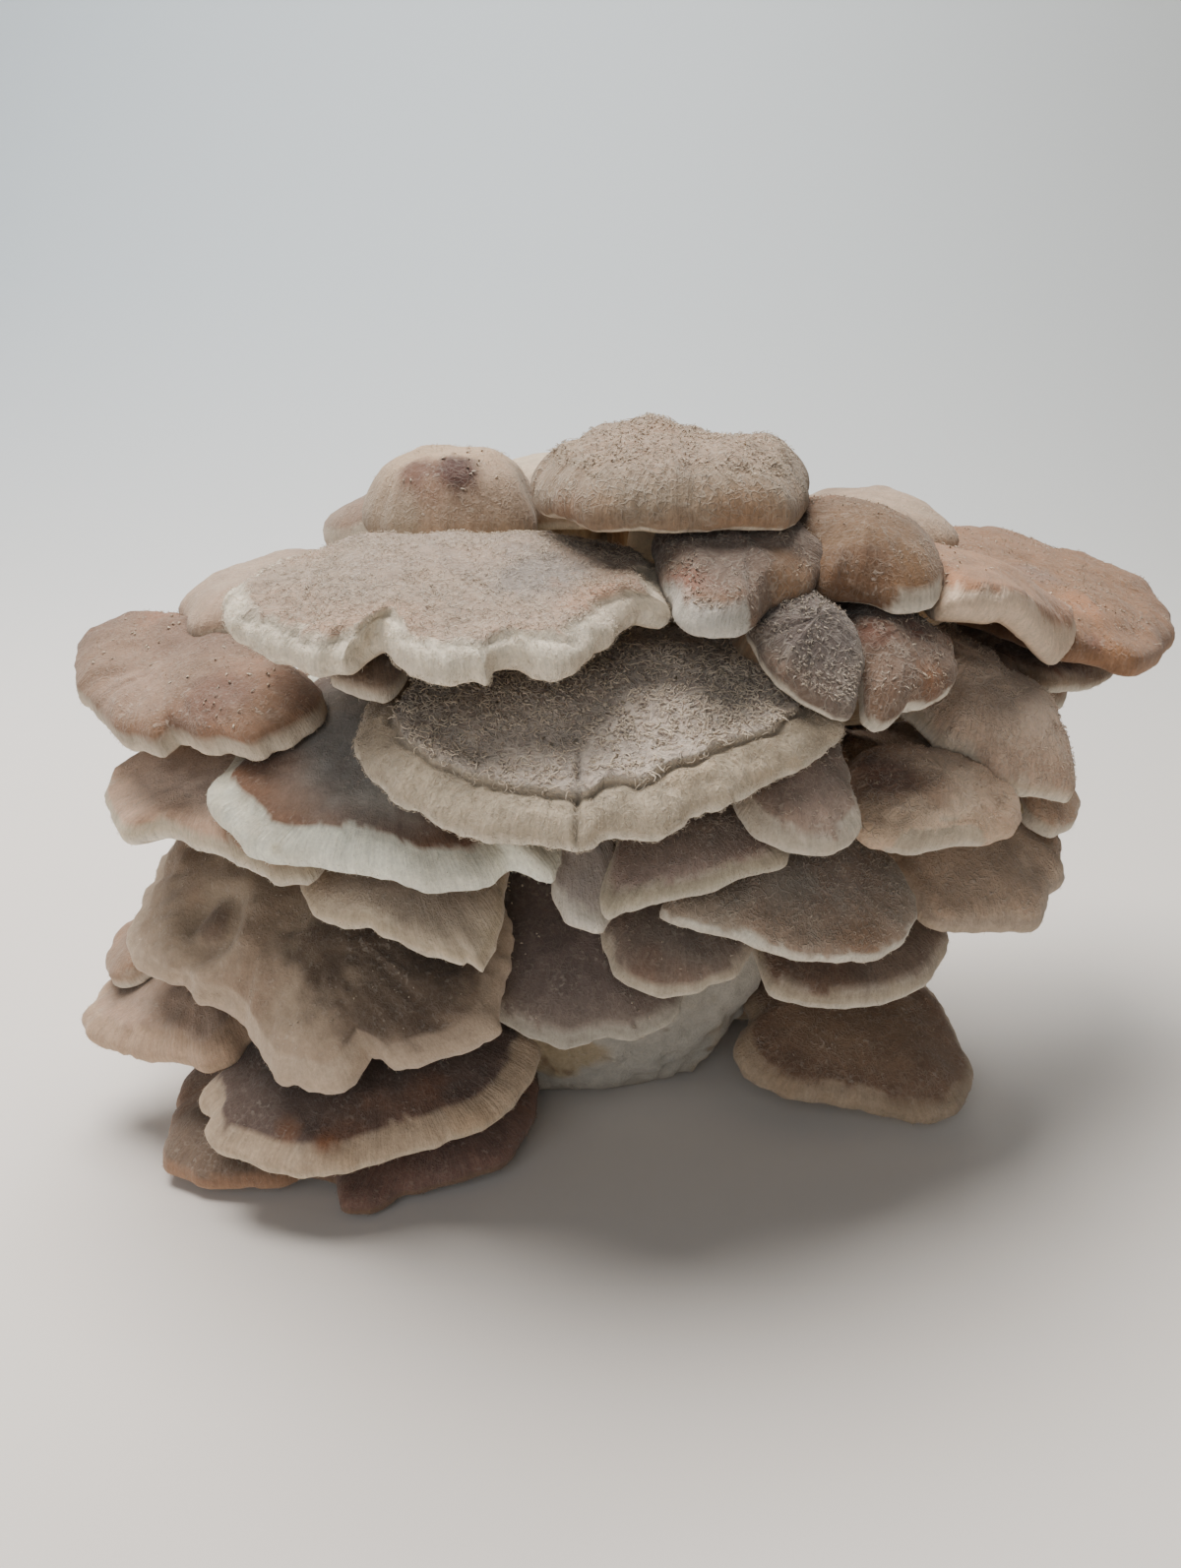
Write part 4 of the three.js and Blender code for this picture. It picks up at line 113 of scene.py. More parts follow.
    ("cap_upper_right_outer", (0.129, -0.243, 0.961), (68.4, -50.6, 157.9), (65, -44.3, 160), (29.1, -6.6, 115.8), 7, 2.8, 8, 2.6, 1.5, 32,
     [(54.8, -63, 156.6), (58.1, -71.2, 154.1), (62.2, -69.5, 154), (66.7, -69.2, 153.4), (71, -70.3, 152.6), (74.9, -71.8, 151.7), (79.9, -71.3, 151.1), (83.8, -68.1, 151.4), (86.8, -61.9, 152.6), (88.1, -48.2, 155.9), (81, -37.4, 159.6), (73.7, -31.1, 162.1), (66.1, -28.5, 163.8), (57.9, -30.1, 164.5), (51.4, -35.1, 164.1), (48.9, -42.2, 162.7), (49.9, -51.3, 160.2)]),
    ("cap_right_curled", (0.387, -0.206, 0.899), (97.1, -35.2, 144.8), (90.2, -31.6, 148.6), (35.7, -2.2, 110.8), 7, 4, 7, 2.4, 2, 33,
     [(82.5, -53.6, 152), (85, -64.1, 150.5), (87.8, -67.4, 150.9), (96.1, -63.4, 149.4), (105.3, -55.1, 146.3), (114.3, -45.1, 139.1), (119.9, -37.2, 132.8), (125.6, -30, 129), (129.3, -20, 134), (114.7, -14.1, 137.2), (101.3, -12.6, 140.7), (88.6, -14.7, 144.5), (76.3, -21.1, 148.9), (67.9, -29.5, 152.5), (66.5, -37.6, 154.1), (71, -45.5, 154)]),
    ("cap_right_outer", (0.252, -0.112, 0.961), (132.3, 25, 131.9), (121, 30, 135.4), (42.3, 0, 108), 7, 3.2, 7, 2.3, 2, 34,
     [(123, -24.2, 128.6), (128.7, -24.3, 127.1), (134.6, -21.7, 125.8), (141, -22, 124.1), (146, -22.3, 122.7), (154.4, -12.5, 121.7), (165.3, 5.7, 121), (172.2, 24.8, 121.4), (173.2, 41.5, 123.1), (172.9, 63.3, 125.7), (148, 70.8, 133.1), (127.3, 69.6, 138.4), (109.7, 60.8, 141.9), (95.3, 43, 143.7), (87.7, 22.2, 143.2), (90.1, 4.5, 140.5), (101.3, -11, 135.8)]),
    ("cap_right_outer_under", (0.18, -0.104, 0.978), (118.2, -0.9, 122.5), (110.1, 3.7, 124.5), (42.1, 0.2, 103.6), 7, 2.4, 4, 2.2, 2, 35,
     [(119.2, -21.5, 120.2), (122.6, -26.4, 119), (131.2, -21.8, 117.9), (138.7, -15.2, 117.2), (144.5, -8.7, 116.9), (148.8, 2.8, 117.3), (129.1, 12.8, 122), (113.4, 17.9, 125.4), (100.9, 18.9, 127.8), (91.6, 15.1, 129.1), (87.8, 8.1, 129.1), (91.4, -0.2, 127.5), (101.4, -9.9, 124.7)]),
    ("cap_right_rear_upper", (0.052, -0.09, 0.995), (82.2, 14, 151.3), (78.8, 19.8, 152), (33.2, 2.2, 112.8), 7, 3, 8, 2.6, 2, 36,
     [(96.8, 31.5, 152.2), (89.2, 36.1, 153), (80.7, 36.9, 153.5), (71.1, 33.3, 153.6), (63.2, 26.8, 153.4), (59.7, 19.1, 152.9), (59.9, 10.2, 152), (64.3, -0.5, 150.8), (68.1, -6, 150.2), (72.8, -8.2, 149.8), (77.9, -8.6, 149.5), (83, -7.8, 149.2), (88.1, -5.9, 149.1), (93.6, -3.3, 149.1), (99.2, -0.3, 149.1), (103.6, 3.3, 149.2), (105.7, 7.8, 149.4), (105.3, 12.2, 149.8), (104.4, 16.4, 150.3), (103.8, 22.3, 151)]),
    ("cap_right_side_small", (0.33, -0.088, 0.94), (111.3, -6.7, 119.8), (105, -4.9, 122.2), (42.9, -0.4, 102.1), 7, 3.4, 6, 2.2, 8, 37,
     [(107.4, 10.5, 122.8), (99.4, 9.3, 125.4), (93.6, 5.7, 127.1), (90.2, -1, 127.7), (89.8, -8.6, 127.1), (93, -14.6, 125.4), (99.3, -19.6, 122.7), (109.5, -23.5, 118.8), (116.1, -24.8, 116.4), (120.7, -23.5, 114.9), (124.1, -21.4, 113.9), (127.2, -19.1, 113), (130.2, -16.3, 112.2), (132.7, -12.2, 111.8), (133.3, -7.4, 112), (131.7, -3.4, 112.9), (129.8, 0.1, 113.9), (127.9, 3.6, 114.9), (124.4, 6.7, 116.4), (118.1, 8.7, 118.8)]),
    ("cap_foot_right", (0.117, -0.406, 0.906), (78.3, -16.7, 21.5), (75.2, -6.1, 26.6), (41, -1.8, 20.6), 7, 2.6, 8, 2.3, 3.5, 38,
     [(51.7, -21.7, 22.7), (47, -29.8, 19.6), (48, -36.1, 16.7), (52, -40.7, 14.1), (60.5, -44.2, 11.4), (73.5, -44.9, 9.5), (86.6, -45.9, 7.4), (94.8, -46.5, 6), (102.2, -45.3, 5.6), (107.2, -41.5, 6.7), (112, -35.3, 8.8), (113.6, -29.9, 11), (111.4, -22.4, 14.7), (104.4, -4.7, 23.5), (95.2, 7.5, 30.2), (84, 15.2, 35.1), (70.1, 18, 38.1), (57.7, 15.6, 38.6), (50.8, 8.1, 36.1), (48.6, -4, 31)]),
    ("cap_rear_foot_right", (0.256, 0.103, 0.961), (70, 20.8, 15.5), (62.8, 17.9, 17.7), (38.3, 7.2, 17.9), 7, 3.4, 7, 2.2, 8, 39,
     [(48.4, 42.6, 18.8), (43.6, 34.5, 21), (42.6, 24.3, 22.4), (46.1, 11.3, 22.9), (52.6, -0.4, 22.4), (60.4, -7.1, 21.1), (69.5, -9.5, 18.9), (80.5, -7.2, 15.8), (88, -2.8, 13.2), (94.5, 0.4, 11.2), (97.6, 6.5, 9.7), (97.1, 13.8, 9), (96.1, 21.1, 8.5), (94.1, 29.2, 8.2), (90.3, 36.8, 8.4), (85.6, 42.5, 9), (80.5, 47.2, 9.9), (74.5, 51.1, 11.1), (67.1, 52.4, 12.9), (58, 48.6, 15.7)]),
    ("cap_rear_foot_mid_right", (0.137, 0.258, 0.956), (39.1, 51.2, 14.4), (35.2, 43.8, 16.9), (23.7, 21.9, 17.5), 7, 3.6, 8, 2.2, 8, 40,
     [(4.3, 56.9, 17.8), (6.4, 46.7, 20.3), (13.4, 37.2, 21.8), (26.2, 28.4, 22.4), (40.6, 22.7, 21.8), (52.4, 22.2, 20.2), (62.1, 26.2, 17.8), (69.6, 35.6, 14.1), (73.7, 44.8, 11.1), (72.4, 52.5, 9.3), (68.8, 59.1, 8), (65.3, 65.4, 6.8), (60.1, 71.6, 5.9), (51.4, 75.9, 5.9), (42.5, 77.1, 6.8), (35.5, 77.2, 7.8), (28.9, 77.8, 8.6), (21.6, 78.2, 9.7), (14, 76.2, 11.3), (7.9, 68.5, 14.2)]),
    ("cap_rear_foot_mid_left", (-0.054, 0.253, 0.966), (-14, 59, 14.4), (-12.2, 50.8, 16.6), (-8.1, 24.4, 17.4), 7, 3.5, 7, 2.2, 8, 41,
     [(-40.2, 40.7, 17.7), (-32.7, 34.5, 19.8), (-22.3, 31.9, 21), (-8.1, 33.2, 21.5), (5.4, 37.8, 21.1), (13.8, 44.4, 19.8), (18.2, 53.1, 17.7), (17.9, 64.4, 14.8), (13.5, 73.9, 12.1), (7.2, 78.3, 10.6), (1.8, 81.9, 9.2), (-3.7, 86.3, 7.8), (-11.1, 88.1, 7), (-19.8, 86.1, 7), (-27.9, 83.1, 7.3), (-34.7, 79.7, 7.8), (-39.5, 74.5, 8.9), (-42.7, 68.4, 10.4), (-45.3, 61.4, 12.1), (-44.6, 51.1, 14.7)]),
    ("cap_rear_foot_left", (-0.236, 0.172, 0.956), (-59.1, 33.8, 15.1), (-52.6, 29.1, 17.6), (-35.2, 14.3, 17.8), 7, 3.5, 7, 2.2, 8, 42,
     [(-66.5, 3.3, 18.8), (-56.5, 3.2, 21.3), (-46.9, 7.8, 22.8), (-37.5, 17.8, 23.4), (-30.9, 29.8, 22.8), (-29.6, 40.3, 21.3), (-32.7, 49.8, 18.8), (-41.1, 58.4, 15.2), (-48.5, 63.7, 12.4), (-55.2, 65.8, 10.4), (-62.1, 64.7, 8.9), (-68.6, 61.3, 7.9), (-74.4, 56.2, 7.3), (-80.1, 49.4, 7.1), (-85, 42, 7.3), (-87.9, 34.8, 7.9), (-88.5, 27.7, 9), (-87.2, 21.1, 10.5), (-84, 14.9, 12.4), (-77.3, 8.6, 15.2)]),
    ("cap_rear_low_right", (0.406, 0.014, 0.913), (81.7, 0.8, 50.3), (74.7, 0.5, 53.5), (49.4, 0.2, 42), 7, 3.4, 7, 2.2, 8, 43,
     [(70.6, 25.7, 54.8), (64.1, 20.1, 57.8), (60.3, 11.5, 59.7), (59.3, -1, 60.3), (61.2, -13.4, 59.7), (65.6, -21.7, 57.9), (72.5, -26.9, 54.9), (82.2, -28.4, 50.6), (90.1, -25.4, 47.1), (94.9, -21.7, 44.8), (99.1, -18, 42.9), (101.3, -12.3, 41.8), (102.4, -6.1, 41.2), (104.6, 1.1, 40.1), (105, 9.2, 39.9), (101.9, 15.2, 41.2), (98.7, 20.7, 42.5), (95.3, 26.7, 44), (89, 29.2, 46.6), (80.2, 27.9, 50.5)]),
    ("cap_rear_low_mid_right", (0.321, 0.25, 0.913), (63.5, 35.1, 55.1), (57, 30, 58.8), (44.4, 19.8, 51.3), 7, 3.8, 9, 2.2, 8, 44,
     [(35.1, 51.6, 60.6), (32.3, 41.6, 64.3), (34.2, 30.7, 66.6), (41.7, 18.3, 67.4), (51.9, 8.1, 66.6), (62, 3.6, 64.3), (72.3, 3.8, 60.6), (83.2, 9.6, 55.2), (90.3, 15.7, 51), (94.6, 21.7, 47.9), (95.8, 28.9, 45.5), (93.3, 36.6, 44.3), (89.1, 43.9, 43.7), (84.2, 51.7, 43.3), (78.3, 59.2, 43.4), (71.7, 64.1, 44.3), (64.7, 66.9, 46), (57.8, 67.6, 48.2), (51, 65.7, 51.1), (43.3, 60.7, 55.2)]),
    ("cap_rear_low_centre", (0.073, 0.416, 0.906), (16.8, 58.8, 59.1), (15.2, 50.1, 63.2), (11.8, 32.6, 55.5), 7, 3.9, 8, 2.2, 8, 45,
     [(-21.3, 53.3, 64.8), (-15.7, 43.9, 68.6), (-5.5, 36.9, 71), (10.3, 32.2, 71.8), (26.9, 31.1, 70.9), (38.8, 34.2, 68.5), (47.2, 41.1, 64.7), (51.7, 52.5, 59), (52.3, 62.6, 54.4), (50.4, 70.2, 51.1), (46.9, 77.1, 48.2), (40.1, 82.5, 46.4), (31.1, 85.9, 45.5), (20.5, 88.2, 45.3), (10.3, 86.7, 46.7), (4.1, 81.5, 49.5), (-0.9, 78.2, 51.5), (-8.6, 77.6, 52.6), (-16.7, 74.4, 54.7), (-21.6, 65.5, 59.2)]),
    ("cap_rear_low_mid_left", (-0.222, 0.341, 0.913), (-40.8, 49.9, 53.7), (-36, 42.5, 57.6), (-28.8, 29.3, 50.8), 7, 3.8, 9, 2.2, 8, 46,
     [(-59.7, 22.7, 59.3), (-50.3, 19.6, 62.7), (-39.4, 20.9, 64.9), (-26.4, 27.3, 65.6), (-15.3, 36.5, 64.9), (-9.7, 46, 62.7), (-8.7, 55.8, 59.2), (-13.1, 66.5, 54.2), (-18.7, 73.8, 50.1), (-25.1, 76.9, 47.4), (-32.1, 77, 45.6), (-39, 77.7, 43.7), (-47.3, 78.3, 41.5), (-56.8, 74.3, 40.8), (-64.2, 67.1, 41.6), (-68.8, 60, 43.1), (-70.5, 53, 45.2), (-69.8, 46.5, 47.8), (-69.4, 40, 50.4), (-67.7, 31.1, 54.3)]),
    ("cap_rear_low_left", (-0.387, 0.126, 0.913), (-75.8, 18.8, 58.6), (-68.8, 16.5, 61.9), (-49.6, 9.4, 52.4), 7, 3.5, 7, 2.2, 8, 47,
     [(-73, -9.3, 63.6), (-64.5, -6.2, 66.8), (-57.5, 0.7, 68.9), (-52.1, 12.4, 69.6), (-49.6, 25, 68.9), (-51.2, 34.7, 66.9), (-56.3, 42.2, 63.7), (-65.7, 47.2, 59), (-74.3, 48.2, 55.2), (-80.7, 46.9, 52.7), (-86.2, 43.6, 50.8), (-90.7, 38.6, 49.5), (-94.7, 32.6, 48.7), (-98.5, 25.1, 48.1), (-101.7, 16.7, 48), (-103.2, 8.7, 48.5), (-101.9, 1.4, 50), (-97.5, -3.6, 52.5), (-91.2, -6, 55.4), (-83.6, -7.8, 59)]),
    ("cap_rear_mid_right", (0.419, 0.128, 0.899), (78.3, 15.5, 92.4), (70.9, 13.2, 96.2), (48.8, 6.9, 85.6), 7, 3.8, 8, 2.2, 8, 48,
     [(58.6, 39.8, 98.1), (53, 31.9, 101.8), (51.2, 21.5, 104.2), (53.7, 7.8, 105), (59.3, -4.9, 104.1), (66.6, -12.6, 101.8), (75.7, -16, 98.1), (86.9, -14.7, 92.7), (96.1, -12.7, 88.1), (101.8, -8.1, 84.8), (104.6, -1.2, 82.6), (104.7, 6.7, 81.4), (103.1, 14.8, 80.9), (100.6, 23.2, 80.9), (98, 31.5, 80.9), (94.9, 39.3, 81.3), (90.3, 45.8, 82.6), (83.9, 49, 85), (76.9, 48.3, 88.4), (68.6, 45, 92.7)]),
    ("cap_rear_mid_centre_right", (0.232, 0.372, 0.899), (43, 51.9, 99.8), (38.5, 44.7, 103.9), (28.2, 26.4, 94.9), 7, 4, 9, 2.2, 8, 49,
     [(8.8, 57.5, 106.3), (10.1, 47.1, 110.3), (16.4, 37.1, 112.8), (28.5, 27.5, 113.7), (42.5, 20.8, 112.8), (54.2, 19.5, 110.3), (64.2, 23, 106.3), (72.4, 31.9, 100.5), (73.7, 41.8, 96), (75, 48.7, 92.7), (76.3, 56.1, 89.4), (73.5, 63.8, 87), (66.9, 70.6, 85.9), (57.7, 76.2, 85.9), (48.2, 79.9, 86.8), (39.8, 82.9, 87.8), (31.2, 85.2, 89.1), (23.9, 82.6, 92), (19.4, 76, 95.9), (13.2, 68.8, 100.5)]),
    ("cap_rear_mid_centre_left", (-0.073, 0.416, 0.906), (-12, 57.3, 96.9), (-10.5, 49.1, 100.8), (-7.9, 30.5, 92.4), 7, 3.9, 8, 2.2, 8, 50,
     [(-41.9, 39.4, 102.7), (-34, 32.4, 106.6), (-22.9, 29.2, 109), (-7.6, 30.1, 109.8), (7.1, 34.4, 109), (16.5, 41.3, 106.6), (21.5, 50.6, 102.7), (21.6, 62.8, 97.1), (19, 71.9, 92.7), (15, 77.9, 89.6), (9.4, 82.4, 87.1), (2.3, 85.5, 85.1), (-6.4, 85.9, 84.3), (-16, 83.6, 84.5), (-25.4, 81.6, 84.7), (-34.1, 79.2, 85.1), (-40.1, 74.1, 86.9), (-42.6, 67.4, 89.8), (-45.1, 60.6, 92.7), (-46.2, 50.9, 97.1)]),
    ("cap_rear_mid_left", (-0.331, 0.288, 0.899), (-57.7, 38.1, 93.8), (-51.6, 32.8, 97.8), (-39.9, 21.3, 90.1), 7, 3.9, 9, 2.2, 8, 51,
     [(-69, 5.8, 100), (-59, 5.6, 103.7), (-48.7, 10.2, 106), (-37.7, 20.4, 106.8), (-29.2, 32.7, 106.1), (-26.1, 43.5, 103.7), (-27.6, 53.4, 100), (-34.6, 62.3, 94.6), (-41.2, 68.9, 90), (-47.8, 72.5, 86.5), (-55.4, 71.4, 84), (-62.7, 67.1, 82.7), (-69.8, 62.4, 81.6), (-77.6, 56, 80.8), (-83.6, 47.7, 81.2), (-86.4, 39.7, 82.7), (-88.2, 32.2, 84.5), (-89.2, 24.5, 86.6), (-86.5, 17.5, 89.8), (-78.8, 11.4, 94.6)]),
    ("cap_rear_side_left", (-0.374, 0.026, 0.927), (-82.7, 2.5, 99.3), (-75.7, 2.1, 102.1), (-48.2, 0.9, 89.8), 7, 3.5, 7, 2.2, 8, 52,
     [(-73.6, -22.8, 103.7), (-66.5, -18.2, 106.4), (-61.7, -10.5, 108.1), (-59.5, 1.1, 108.7), (-60.1, 12.9, 108.1), (-63.7, 21.3, 106.4), (-70.1, 26.8, 103.7), (-79.8, 29.2, 99.7), (-88.2, 29.8, 96.4), (-94, 27.3, 94.1), (-98.6, 23.4, 92.3), (-102.4, 18.4, 91), (-104.4, 11.8, 90.3), (-104.6, 4.1, 90.4), (-104.8, -3.5, 90.6), (-104.9, -10.7, 90.8), (-102.7, -17.1, 91.9), (-97.8, -21.1, 93.9), (-91.6, -23, 96.4), (-83.5, -23.9, 99.7)]),
    ("cap_rear_upper_right", (0.311, 0.209, 0.927), (61.6, 31, 131.5), (54.2, 26, 135.1), (28.8, 7.3, 115.6), 7, 4, 8, 2.2, 8, 53,
     [(32.3, 50.2, 137), (29, 40, 140.4), (30.6, 28.2, 142.5), (37.7, 14.4, 143.2), (47.9, 2.5, 142.5), (58.2, -3.3, 140.3), (68.9, -4.1, 136.9), (80.4, 0.8, 132), (88.6, 6.9, 127.9), (92.6, 13.7, 125), (92.9, 21.7, 123.1), (90.8, 29.7, 121.9), (89, 37.9, 120.7), (85.8, 47.8, 119.6), (79.7, 57.1, 119.6), (72.3, 63, 120.7), (64.4, 65.9, 122.6), (56.8, 65.9, 125.1), (49.7, 63.4, 128.1), (41.2, 59, 132)]),
    ("cap_rear_upper_centre", (0.078, 0.366, 0.927), (17.9, 57.4, 136.6), (16, 48.3, 140.3), (8.9, 15.5, 118.3), 7, 4.2, 9, 2.2, 8, 54,
     [(-21.2, 51, 142.4), (-15.7, 40.6, 146), (-4.9, 32.6, 148.3), (12, 27, 149.1), (29.8, 25.2, 148.3), (42.8, 28.2, 146), (52.2, 35.4, 142.4), (57.4, 47.7, 137.1), (58.4, 59, 132.6), (55.1, 67.2, 129.6), (50.2, 74, 127.3), (43.5, 79.9, 125.5), (34.7, 84.4, 124.5), (23.8, 87.8, 124.1), (12.3, 89.8, 124.3), (2.3, 89.3, 125.3), (-6.5, 86.6, 127.1), (-13.7, 82.1, 129.5), (-18.6, 75.1, 132.6), (-21.1, 64.4, 137.1)]),
    ("cap_rear_upper_left", (-0.199, 0.318, 0.927), (-37.3, 48.3, 130.9), (-32.5, 40.5, 134.6), (-18.7, 14.2, 117.3), 7, 4, 8, 2.2, 8, 55,
     [(-59.9, 18.2, 136.4), (-49.4, 14.8, 139.8), (-37, 16.3, 141.9), (-22.1, 23.5, 142.6), (-9.1, 33.7, 141.9), (-2.3, 44.2, 139.7), (-0.7, 55.1, 136.3), (-5.2, 66.8, 131.3), (-12.1, 75, 127.1), (-19.2, 78.9, 124.2), (-26.8, 80.8, 121.9), (-35.3, 80.9, 120.1), (-44.5, 79, 118.8), (-54.3, 73.7, 118.5), (-61.8, 65.9, 119.5), (-66.5, 58.6, 121), (-70.8, 51.8, 122.4), (-73.4, 44.5, 124.4), (-72.5, 36.7, 127.3), (-68.4, 27.3, 131.4)]),
    ("cap_rear_top_right", (0.087, 0.15, 0.985), (26.1, 29.3, 154.6), (22, 22.1, 156), (11.6, 6, 121), 7, 4, 9, 2.2, 8, 56,
     [(-4.1, 32.9, 156.7), (-3.4, 22.9, 158.1), (1.7, 13.9, 159.1), (12, 5.9, 159.4), (24.2, 0.9, 159), (34.5, 1, 158.1), (43.5, 5.4, 156.6), (51.3, 15, 154.5), (55.8, 22.2, 153), (57.4, 28.7, 151.9), (56.2, 35.2, 151), (53, 41.6, 150.3), (47.8, 47.8, 149.9), (39.8, 53.1, 149.8), (30.9, 55.8, 150.1), (23.6, 56, 150.6), (17, 55.9, 151.3), (10.4, 55.2, 152), (4.7, 51.9, 153), (0.4, 44.4, 154.5)]),
    ("cap_rear_top_left", (-0.139, 0.154, 0.978), (-33.1, 23.9, 152.9), (-27.7, 17.8, 154.6), (-14.5, 4.8, 120.6), 7, 4, 9, 2.2, 8, 57,
     [(-50, -7.4, 155.4), (-39.6, -9.2, 157.2), (-28.3, -6, 158.3), (-15.7, 3, 158.7), (-5.4, 14.6, 158.3), (-1.1, 25.5, 157.2), (-1.7, 36.1, 155.5), (-8.2, 46.6, 152.9), (-15.3, 51.5, 151), (-20.7, 55.7, 149.5), (-27.3, 58.1, 148.3), (-35, 56.5, 147.5), (-42.4, 51.6, 147.2), (-49.9, 45.3, 147.1), (-57, 38.5, 147.2), (-61.5, 31.3, 147.6), (-62.9, 24.1, 148.6), (-62.9, 17.4, 149.7), (-63.1, 9.8, 150.9), (-59.8, 0.1, 152.9)]),
]

BLOCK_CENTRE = np.array([0.0, 0.0, 63.0])
BLOCK_HALF = np.array([60.0, 42.0, 68.0])
BLOCK_ROUND = 2.6

# ------------------------------------------------------------------- colours
def lin(r, g, b):
    c = np.array([r, g, b], float) / 255.0
    return np.where(c <= 0.04045, c / 12.92, ((c + 0.055) / 1.055) ** 2.4)


# base: crown; edge: crown near the rim; rim: pale margin; stain: blotches;
# st: how much stain; fib: how strong the pale fibres; cb: how far the margin's
# colour reaches on to the crown (mm); hair: modelled fibres per square mm;
# q: mesh spacing in mm; lobe: waviness of the rim; lump: waviness of the crown
# two more keys give the colour and the strength of the painted shade at the back of each crown
D = dict(base=(132, 108, 90), edge=(158, 134, 114), rim=(206, 195, 178), stain=(128, 82, 52), st=0.35, fib=0.5,
         cb=1.0, hair=0.0, q=1.45, lobe=1.0, lump=1.0, overhang_shade=(88, 70, 60), overhang_shade_amt=0.45, hl=1.5, ht=0.085, hp=0.35, fuzz=0.3, fl=0.75,
         lip=(224, 214, 196), led=0.35, grv=0.18, rag=1.0, box=2.6, wool=0.6, soil=0.15, flake=0.0, kl=1.3, kt=0.26, joints=2, curl=0.75, spread=1.15,
         hback=-1.3, nofib=0.6, str=1.0, pad=None, kp=0.55, kfront=0, ft=0.05)
